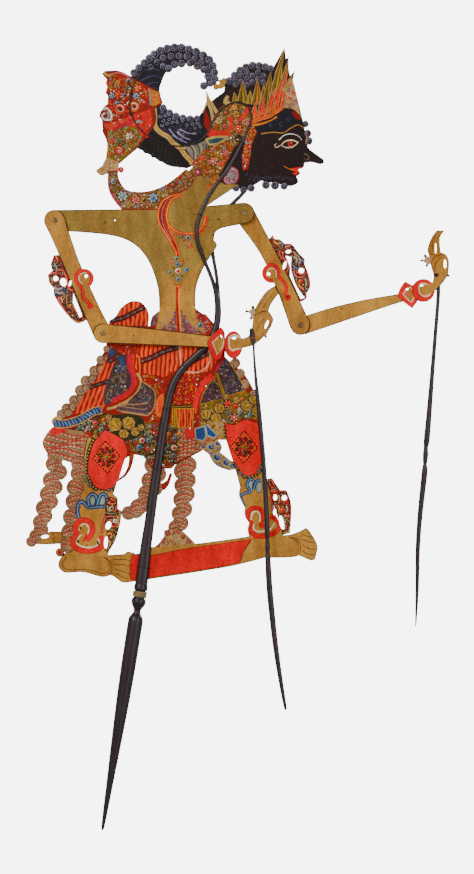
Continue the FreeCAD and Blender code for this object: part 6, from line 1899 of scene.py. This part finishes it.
def thread(name, light, dark):
    """Twisted thread with a slight fuzz, and painted shade in the grooves of its twist."""
    n = Nodes(name)
    twist = n.add("ShaderNodeTexWave", wave_type="BANDS", bands_direction="DIAGONAL")
    n.feed(twist, {"Scale": 900.0, "Distortion": 1.5, "Detail": 2.0, "Vector": n.place})
    fuzz = n.noise(1500, 3, 0.7)
    # Dark where the twist's relief is low: painted shade in the grooves between the plies.
    tone = n.mix(n.ramp(twist.outputs["Fac"], 0.2, 0.8), rgba(dark), rgba(light))
    tone = n.mix(n.ramp(fuzz, 0.45, 0.7, 0.0, 0.5), tone, rgba(dark))
    height = n.math("ADD", twist.outputs["Fac"], fuzz)
    return n.finish(Base_Color=tone, Roughness=n.ramp(fuzz, 0.3, 0.7, 0.6, 0.9),
                    Normal=n.bump(height, 0.7, 0.00012))


HIDE = painted_hide()
HORN = horn()
BONE = bone()
PALE_THREAD = thread("waxed_thread", "B89A66", "5A4020")
DARK_THREAD = thread("dark_thread", "4A3524", "1E140E")
RED_THREAD = thread("red_thread", "C8605A", "7A2420")


# ------------------------------------------------------------------ solid pieces
def add_mesh(name, verts, faces, material, body, nodes):
    """A smooth mesh in mm that rides on a body and stands for CAD nodes."""
    mesh = bpy.data.meshes.new(name)
    mesh.from_pydata([tuple(c * MM for c in v) for v in verts], [], faces)
    mesh.materials.append(material)
    mesh.polygons.foreach_set("use_smooth", [True] * len(mesh.polygons))
    obj = bpy.data.objects.new(name, mesh)
    bpy.context.scene.collection.objects.link(obj)
    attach(obj, body)
    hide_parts(*nodes)
    return obj


class Solid:
    """Collects rings of vertices into one mesh."""

    def __init__(self):
        self.verts = []
        self.faces = []

    def rings(self, rows, joined=False):
        """Joins rings of equal size, and closes the ends unless the last ring meets the first."""
        first = len(self.verts)
        width = len(rows[0])
        for row in rows:
            self.verts += row
        last = len(rows) if joined else len(rows) - 1
        for r in range(last):
            a = first + r * width
            b = first + ((r + 1) % len(rows)) * width
            for k in range(width):
                m = (k + 1) % width
                self.faces.append((a + k, a + m, b + m, b + k))
        if not joined:
            self.faces.append(tuple(range(first + width - 1, first - 1, -1)))
            end = first + (len(rows) - 1) * width
            self.faces.append(tuple(range(end, end + width)))

    def tube(self, places, radius, count=8, joined=False, tip=None):
        """Round tube along 3-D places, in mm."""
        path = [Vector(p) for p in places]
        rows = []
        size = len(path)
        side = Vector((0.31, 0.83, 0.47))
        for i, spot in enumerate(path):
            before = path[i - 1] if joined or i else spot
            after = path[(i + 1) % size] if joined or i < size - 1 else spot
            along = (after - before).normalized()
            side = (side - along * side.dot(along)).normalized()
            other = along.cross(side)
            r = radius if tip is None else radius + (tip - radius) * i / (size - 1)
            rows.append([tuple(spot + r * (math.cos(TURN * k / count) * side
                                           + math.sin(TURN * k / count) * other)) for k in range(count)])
        self.rings(rows, joined=joined)

    def lathe(self, profile, origin, axis, count=32):
        """Profile of (distance along the axis, radius) turned about an axis."""
        axis = Vector(axis).normalized()
        side = axis.orthogonal().normalized()
        other = axis.cross(side)
        rows = []
        for along, radius in profile:
            centre = Vector(origin) + axis * along
            rows.append([tuple(centre + radius * (math.cos(TURN * k / count) * side
                                                  + math.sin(TURN * k / count) * other))
                         for k in range(count)])
        self.rings(rows)

    def place(self, name, material, body, slot):
        """Makes the piece that stands for the CAD node of the same name."""
        return add_mesh(name, self.verts, self.faces, material, body, [name])


# The horn rod's two halves: x, z, width and depth at each station, from the handle up.
EAR_SCROLL = (105.6, 498.4)
SHARED_RUN = [(7.8, 49.4, 12.6, 4.9), (9.2, 60, 12.3, 4.8), (10.5, 70, 12.0, 4.5), (12.9, 90, 11.0, 3.9),
              (15.8, 110, 10.2, 3.6), (18.6, 130, 9.6, 3.4), (21.4, 150, 9.3, 3.3), (24.2, 168, 9.0, 3.3),
              (27.2, 188, 8.7, 3.3), (30.2, 208, 8.4, 3.2), (33.6, 228, 8.0, 3.2), (38.0, 247, 7.7, 3.2),
              (44.0, 260, 7.6, 3.2), (52.0, 270.5, 7.6, 3.2), (61.0, 279, 7.5, 3.2),
              (70.0, 287.5, 7.2, 3.2), (77.0, 296.5, 7.0, 3.1), (82.3, 307, 6.8, 3.1),
              (84.7, 319, 6.7, 3.0), (84.9, 331, 6.2, 3.0)]
FRONT_PRONG = [(83.2, 343, 4.9, 2.8), (80.2, 354, 4.1, 2.6), (76.2, 365, 3.9, 2.4), (71.6, 376, 3.9, 2.3),
               (67.2, 387, 4.0, 2.1), (64.1, 398, 4.1, 2.0), (63.8, 410, 4.1, 1.9), (67.0, 422, 4.0, 1.8),
               (72.2, 434, 3.9, 1.7), (78.2, 445, 3.8, 1.6), (85.6, 455.5, 3.8, 1.5),
               (93.4, 465.5, 3.7, 1.4), (100.3, 477, 3.4, 1.3), (106.6, 489, 2.7, 1.2),
               (112.0, 500.5, 2.2, 1.2), (116.2, 511, 2.0, 1.1), (118.2, 520.5, 1.9, 1.1),
               (115.0, 530, 1.8, 1.1), (106.0, 534.6, 1.8, 1.1), (96.0, 532.6, 1.8, 1.1),
               (87.2, 526.5, 1.8, 1.1), (80.8, 517.5, 1.8, 1.1), (76.0, 506.5, 1.7, 1.1),
               (68.0, 497, 1.7, 1.1), (55.5, 491.6, 1.6, 1.1), (42.0, 490.8, 1.6, 1.0),
               (28.5, 494.2, 1.5, 1.0), (16.0, 500.5, 1.5, 1.0), (5.5, 509.5, 1.5, 1.0),
               (-1.0, 521.5, 1.5, 1.0), (-3.2, 535.5, 1.5, 1.0), (-1.0, 549.5, 1.4, 0.9),
               (6.5, 561.5, 1.3, 0.9), (17.0, 570, 1.2, 0.8), (29.0, 576, 1.0, 0.7)]
BACK_PRONG = [(84.9, 343, 4.4, 2.8), (84.2, 355, 3.7, 2.6), (82.6, 367, 3.5, 2.4), (80.2, 380, 3.6, 2.2),
              (78.8, 393, 3.7, 2.0), (80.6, 406, 3.7, 1.9), (85.8, 417.5, 3.8, 1.7),
              (93.6, 427.5, 3.9, 1.5), (102.2, 436, 3.9, 1.4), (110.4, 444.5, 3.8, 1.4),
              (117.0, 455, 3.6, 1.3), (122.4, 467.5, 3.3, 1.2), (126.8, 481, 2.9, 1.1),
              (130.2, 494.5, 2.4, 1.0), (132.6, 507, 1.6, 0.8)]
# The arm rods: x, z and width at each station, from the hand down.
LEFT_ROD = [(117.9, 308.5, 2.4), (118.4, 306, 4.4), (119.6, 298.8, 5.0), (120.3, 293.5, 3.6),
            (120.6, 289, 2.4), (121.2, 278, 2.5), (122.6, 260, 3.1), (124.6, 240, 3.9), (126.6, 220, 4.4),
            (128.3, 200, 4.6), (130.0, 180, 4.7), (131.4, 160, 4.7), (132.7, 138, 4.8), (133.7, 116, 4.9),
            (134.1, 104, 4.9), (134.3, 97.5, 3.7), (134.4, 91, 4.9), (134.5, 84.5, 3.8), (134.8, 78, 5.5),
            (136.2, 52, 6.1), (138.6, 26, 6.0), (141.4, 0, 5.6), (144.9, -26, 5.0), (148.7, -50, 4.2),
            (151.9, -68, 3.1), (152.5, -71.5, 1.6)]
RIGHT_ROD = [(303.0, 369.5, 2.4), (303.1, 367, 4.4), (303.9, 361, 5.0), (305.4, 353.5, 4.4),
             (305.9, 345, 3.9), (305.0, 330, 3.8), (303.6, 312, 3.9), (302.2, 294, 4.0), (300.8, 276, 4.2),
             (299.4, 258, 4.5), (298.0, 240, 5.0), (296.6, 222, 5.5), (295.2, 205, 6.0), (294.3, 196, 6.1),
             (293.6, 189.5, 4.5), (293.3, 183, 5.6), (292.9, 176.5, 4.9), (292.6, 172.5, 4.1),
             (292.4, 166, 6.0), (290.8, 150, 5.9), (288.4, 128, 5.4), (286.6, 106, 4.9), (285.5, 84, 4.5),
             (285.2, 62, 4.0), (284.8, 40, 3.2), (284.0, 20, 2.0), (283.6, 9.5, 1.2)]


def direction(stations, index):
    """Unit vector along a row of stations at one of them."""
    a = stations[max(index - 1, 0)]
    b = stations[min(index + 1, len(stations) - 1)]
    return Vector((b[0] - a[0], 0, b[1] - a[1])).normalized()


def half_rod(solid, stations, side):
    """One half of the split rod: flat against the hide, round outside."""
    line = smooth(stations, steps=3)
    rows = []
    for index, (x, z, width, depth) in enumerate(line):
        along = direction(line, index)
        across = Vector((along.z, 0, -along.x))
        row = []
        for k in range(15):
            angle = math.pi * k / 14
            spot = Vector((x, 0, z)) + across * (width / 2 * math.cos(angle))
            row.append((spot.x, side * (HALF_SLIT + depth * math.sin(angle) ** 0.86), spot.z))
        rows.append(row if side > 0 else row[::-1])
    solid.rings(rows)


def main_rod_piece():
    """The horn rod: spiked handle, two halves that part into prongs, and a scroll by the ear."""
    solid = Solid()
    profile = smooth([(-195.3, 0.3), (-194.3, 1.3), (-184, 2.1), (-165, 2.9), (-145, 3.6), (-124, 4.5),
                      (-103, 5.3), (-82, 6.1), (-60, 6.8), (-30, 7.35), (-15, 7.5), (0, 7.5), (15, 7.5),
                      (18.5, 7.1), (21, 6.2), (23, 4.6), (25, 3.7), (26.5, 3.4), (28, 3.8), (30.2, 5.0),
                      (32.5, 6.4), (35, 7.2), (37.4, 7.1), (38.6, 6.7), (39.4, 5.7), (43.5, 5.6),
                      (47.4, 5.7), (48.2, 6.7), (50, 6.8), (53.4, 6.4), (53.9, 5.4)], steps=4)
    solid.lathe(profile, (0, 0, 0), HANDLE_AXIS, 40)
    half_rod(solid, SHARED_RUN + FRONT_PRONG, -1)
    half_rod(solid, SHARED_RUN + BACK_PRONG, 1)
    x, z = EAR_SCROLL
    ring = [(x + 3.0 * math.cos(a), -1.25, z + 3.0 * math.sin(a)) for a in np.linspace(0, TURN, 25)[:-1]]
    solid.tube(ring, 0.85, 8, joined=True)
    solid.tube([(x + (2.2 - 0.3 * t) * math.cos(t), -1.3, z + (2.2 - 0.3 * t) * math.sin(t))
                for t in np.linspace(0, 5, 14)], 0.6, 6, tip=0.3)
    solid.place("main_rod", HORN, "figure", "horn")


def arm_rod_piece(name, stations, tie, level, side, body):
    """An arm rod, thin at its eye and thicker below it, on the side away from the hide."""
    line = smooth(stations, steps=3)
    solid = Solid()
    rows = []
    for index, (x, z, width) in enumerate(line):
        along = direction(line, index)
        across = Vector((along.z, 0, -along.x))
        reach = max(tie[1] - z, 0)
        y = level + side * ROD_TAPER * reach
        depth = min(width / 2, 0.75 + ROD_TAPER * reach)
        rows.append([(x + across.x * width / 2 * math.cos(a), y + depth * math.sin(a),
                      z + across.z * width / 2 * math.cos(a)) for a in (TURN * k / 16 for k in range(16))])
    solid.rings(rows)
    solid.place(name, HORN, body, "horn")


def stitch_loop(solid, stations, index, low, high):
    """Two turns of thread round the rod and through the hide."""
    x, z, width, _ = stations[index]
    along = direction(stations, index)
    across = Vector((along.z, 0, -along.x))
    reach = width / 2 + 0.42
    for shift in (-0.34, 0.34):
        path = []
        for k in range(20):
            angle = TURN * k / 20
            c, s = math.cos(angle), math.sin(angle)
            u = reach * abs(c) ** 0.62 * (1 if c > 0 else -1)
            y = (low + high) / 2 + (high - low) / 2 * abs(s) ** 0.75 * (1 if s > 0 else -1)
            spot = Vector((x, 0, z)) + across * u + along * (shift + 0.10 * math.sin(angle * 2))
            path.append((spot.x, y, spot.z))
        solid.tube(path, 0.28, 6, joined=True)


def rod_binding():
    """Four turns of thread round the rod where the split starts, with a loose end."""
    axis = Vector(HANDLE_AXIS)
    side = Vector((axis.z, 0, -axis.x))
    other = Vector((0, 1, 0))
    binding = Solid()
    turn_steps = 28
    steps = 4 * turn_steps
    start, rise, reach = 40.8, 5.1, 6.4
    path = []
    for k in range(steps + 1):
        angle = TURN * k / turn_steps
        centre = axis * (start + rise * k / steps)
        path.append(tuple(centre + reach * (math.cos(angle) * side + math.sin(angle) * other)))
    binding.tube(path, 0.80, 8)
    end = Vector(path[-1])
    binding.tube([tuple(end), tuple(end + side * 0.5 + axis * 1.0), tuple(end + side * 0.3 + axis * 2.3)],
                 0.5, 6, tip=0.3)
    binding.place("rod_binding", PALE_THREAD, "figure", "thread")


def stitches(name, stations, indexes, in_front, behind):
    """Thread loops at some stations. A loop goes round the horn on the sides where there is horn."""
    face = 1.05  # mm from the middle of the hide to a thread that lies on it
    solid = Solid()
    for index in indexes:
        depth = stations[index][3]
        low = -face - depth if in_front else -face
        high = face + depth if behind else face
        stitch_loop(solid, stations, index, low, high)
    solid.place(name, DARK_THREAD, "figure", "thread")


def rod_threads():
    """All the threads that hold the split rod and the hide together."""
    rod_binding()
    split = len(SHARED_RUN)
    stitches("rod_stitches", SHARED_RUN, (2, 7, 10, 13), True, True)
    front_places = [split + k for k in (4, 7, 10, 15, 18, 20, 24, 29, 33)]
    stitches("front_prong_stitches", SHARED_RUN + FRONT_PRONG, front_places, True, False)
    back_places = [split + k for k in (3, 6, 11, 13)]
    stitches("back_prong_stitches", SHARED_RUN + BACK_PRONG, back_places, False, True)


def pin_and_washer(name, place, head_y, washer_y, body):
    """A bone pin with a domed head in front, and the riveted washer on its far end."""
    origin = (place[0], head_y, place[1])
    start = washer_y - head_y
    pin = Solid()
    pin.lathe([(-0.98, 0.1), (-0.96, 0.9), (-0.80, 1.9), (-0.52, 2.6), (-0.2, 2.95), (-0.02, 2.9), (0.0, 1.5),
               (start + 0.9, 1.5), (start + 1.0, 1.2)], origin, INTO_SHEET, 28)
    pin.place(name + "_pin", BONE, body, "bone")
    washer = Solid()
    washer.lathe([(start, 1.5), (start, 3.7), (start + 0.2, 3.98), (start + 0.6, 3.9), (start + 0.86, 3.3),
                  (start + 0.9, 1.5)], origin, INTO_SHEET, 28)
    washer.place(name + "_washer", BONE, body, "bone")


def pins():
    """The four pins that the arms turn on, and the collar behind the right shoulder."""
    pin_and_washer("left_shoulder", LEFT_SHOULDER, -2.47, 0.82, "figure")
    pin_and_washer("left_elbow", LEFT_ELBOW, -6.48, -3.53, "left_upper_arm")
    pin_and_washer("right_shoulder", RIGHT_SHOULDER, -0.82, 3.9, "figure")
    pin_and_washer("right_elbow", RIGHT_ELBOW, 4.3, 7.18, "right_upper_arm")
    spacer = Solid()
    origin = (RIGHT_SHOULDER[0], 0.82, RIGHT_SHOULDER[1])
    profile = [(0, 1.6), (0.02, 3.8), (0.2, 3.98), (1.4, 3.98), (1.58, 3.8), (1.6, 1.6)]
    spacer.lathe(profile, origin, INTO_SHEET, 28)
    spacer.place("right_shoulder_spacer", HORN, "figure", "horn")


def hand_tie(name, place, near, far, body, material):
    """Knotted thread through the hand and the rod's eye."""
    solid = Solid()
    x, z = place
    solid.tube([(x, near - 0.1, z), (x, far + 0.1, z)], 0.58, 8)
    for y, reach in ((near - 0.22, 1.05), (far + 0.2, 0.95)):
        for turn, size in ((0.0, 1.0), (0.9, 0.86), (2.1, 0.72)):
            ring = [(x + reach * size * math.cos(a) * math.cos(turn) - 0.5 * math.sin(a) * math.sin(turn),
                     y + 0.14 * math.sin(2 * a + turn),
                     z + reach * size * math.cos(a) * math.sin(turn) + 0.5 * math.sin(a) * math.cos(turn))
                    for a in (TURN * k / 14 for k in range(14))]
            solid.tube(ring, 0.30, 6, joined=True)
    for dx, dz in ((1.6, -2.2), (-0.9, -2.6)):
        solid.tube([(x, near - 0.3, z), (x + dx * 0.5, near - 0.4, z + dz * 0.6),
                    (x + dx, near - 0.3, z + dz)], 0.26, 6, tip=0.14)
    solid.place(name, material, body, "red_thread")


# ------------------------------------------------------------------ assembly
def everywhere(x, z):
    """Zone test that takes all places."""
    return np.ones(len(x), dtype=bool)


# Zones of the body sheet, each with a test on places. Each takes what the ones before it left.
BODY_ZONES = (
    ("hide_head", lambda x, z: (z > 444) & (x > 84)),
    ("hide_hair", lambda x, z: (z > 470) & (x > 16)),
    ("hide_back_mask", lambda x, z: (z > 468)),
    ("hide_chest", lambda x, z: (z > 312)),
    ("hide_skirt_left", lambda x, z: (z > 205) & (x < 20)),
    ("hide_skirt_right", lambda x, z: (z > 205)),
    ("hide_leg_left", lambda x, z: (x < 0)),
    ("hide_tails_centre", lambda x, z: (x < 68) & (z > 108)),
    ("hide_leg_right", everywhere))


def flat(level):
    """Level of a sheet that lies in one plane."""
    return lambda x, z: level + 0 * x


def sloped(start, end, levels):
    """Level of a sheet that passes evenly from one layer at a pivot to another at the next."""
    run = (end[0] - start[0], end[1] - start[1])
    length_squared = run[0] ** 2 + run[1] ** 2

    def level(x, z):
        share = ((x - start[0]) * run[0] + (z - start[1]) * run[1]) / length_squared
        return levels[0] + (levels[1] - levels[0]) * share

    return level


def body_sheets():
    """The painted body in nine pieces."""
    art = Artwork()
    for draw_part in BODY_PARTS:
        draw_part(art)
    hide_sheets(art, BODY_ZONES, flat(0), BODY_THICKNESS, "body_hide", "figure")


def arm_sheet(name, draw, level):
    """One painted arm sheet. Its CAD node and its body have the same name."""
    art = Artwork()
    draw(art)
    hide_sheets(art, ((name + "_hide", everywhere),), level, ARM_THICKNESS, name, name)


body_sheets()
arm_sheet("left_upper_arm", draw_left_upper, sloped(LEFT_SHOULDER, LEFT_ELBOW, (-1.75, -4.25)))
arm_sheet("left_forearm", draw_left_forearm, flat(-5.8))
arm_sheet("right_upper_arm", draw_right_upper, sloped(RIGHT_SHOULDER, RIGHT_ELBOW, (3.2, 5.0)))
arm_sheet("right_forearm", draw_right_forearm, flat(6.5))
main_rod_piece()
arm_rod_piece("left_arm_rod", LEFT_ROD, LEFT_TIE, -7.35, -1, "left_rod")
arm_rod_piece("right_arm_rod", RIGHT_ROD, RIGHT_TIE, 8.05, 1, "right_rod")
rod_threads()
pins()
hand_tie("left_hand_tie", LEFT_TIE, -8.2, -5.15, "left_rod", RED_THREAD)
hand_tie("right_hand_tie", RIGHT_TIE, 5.85, 8.9, "right_rod", DARK_THREAD)


# ------------------------------------------------------------------ light, room and camera, in m
PUPPET_MIDDLE = (0.08, 0, 0.25)
ROOM_REACH = 15.0        # every camera stands inside the room
PAPER_GLOW = 6.6
WORLD_STRENGTH = 0.42
LENS = 123.6             # mm
CAMERA_PLACE = (0.104, -3.0, 0.200)


def area_light(name, place, target, size, power, colour):
    """A rectangular lamp that cameras don't see."""
    data = bpy.data.lights.new(name, "AREA")
    data.shape = "RECTANGLE"
    data.size, data.size_y = size
    data.energy = power
    data.color = colour
    obj = bpy.data.objects.new(name, data)
    obj.location = place
    obj.rotation_euler = (Vector(target) - Vector(place)).to_track_quat("-Z", "Y").to_euler()
    obj.visible_camera = False
    bpy.context.scene.collection.objects.link(obj)


def soft_world():
    """Even, slightly cool light from all round."""
    world = bpy.data.worlds.new("studio")
    world.use_nodes = True
    background = world.node_tree.nodes["Background"]
    background.inputs["Color"].default_value = (0.97, 0.985, 1.0, 1.0)
    background.inputs["Strength"].default_value = WORLD_STRENGTH
    bpy.context.scene.world = world


def paper_room():
    """A closed room of glowing paper, so that the ground is pale from all sides."""
    paper = Nodes("white_paper")
    glow = paper.add("ShaderNodeEmission")
    paper.feed(glow, {"Color": (1.0, 1.0, 1.0, 1.0), "Strength": PAPER_GLOW})
    paper.link(glow.outputs[0], paper.tree.nodes["Material Output"].inputs["Surface"])
    reach = (-ROOM_REACH, ROOM_REACH)
    corners = [(x, y, z) for x in reach for y in reach for z in reach]
    sides = [(0, 1, 3, 2), (4, 5, 7, 6), (0, 1, 5, 4), (2, 3, 7, 6), (0, 2, 6, 4), (1, 3, 7, 5)]
    mesh = bpy.data.meshes.new("backdrop")
    mesh.from_pydata(corners, [], sides)
    mesh.materials.append(paper.material)
    room = bpy.data.objects.new("backdrop", mesh)
    bpy.context.scene.collection.objects.link(room)
    room.visible_diffuse = False
    room.visible_glossy = False
    room.visible_shadow = False


def front_camera():
    """Looks straight at the sheets from 3 m in front of them."""
    data = bpy.data.cameras.new("camera")
    data.lens = LENS
    data.sensor_width = 36
    camera = bpy.data.objects.new("camera", data)
    camera.location = CAMERA_PLACE
    camera.rotation_euler = (math.pi / 2, 0, 0)
    bpy.context.scene.collection.objects.link(camera)
    bpy.context.scene.camera = camera


soft_world()
paper_room()
area_light("key", (-1.3, -2.2, 1.5), PUPPET_MIDDLE, (1.0, 1.4), 56, (1.0, 0.96, 0.90))
area_light("fill", (1.8, -2.0, 0.4), (0.08, 0, 0.2), (1.4, 1.8), 26, (0.94, 0.96, 1.0))
area_light("back", (1.5, 2.2, 1.4), PUPPET_MIDDLE, (1.2, 1.6), 58, (1.0, 0.97, 0.92))
front_camera()
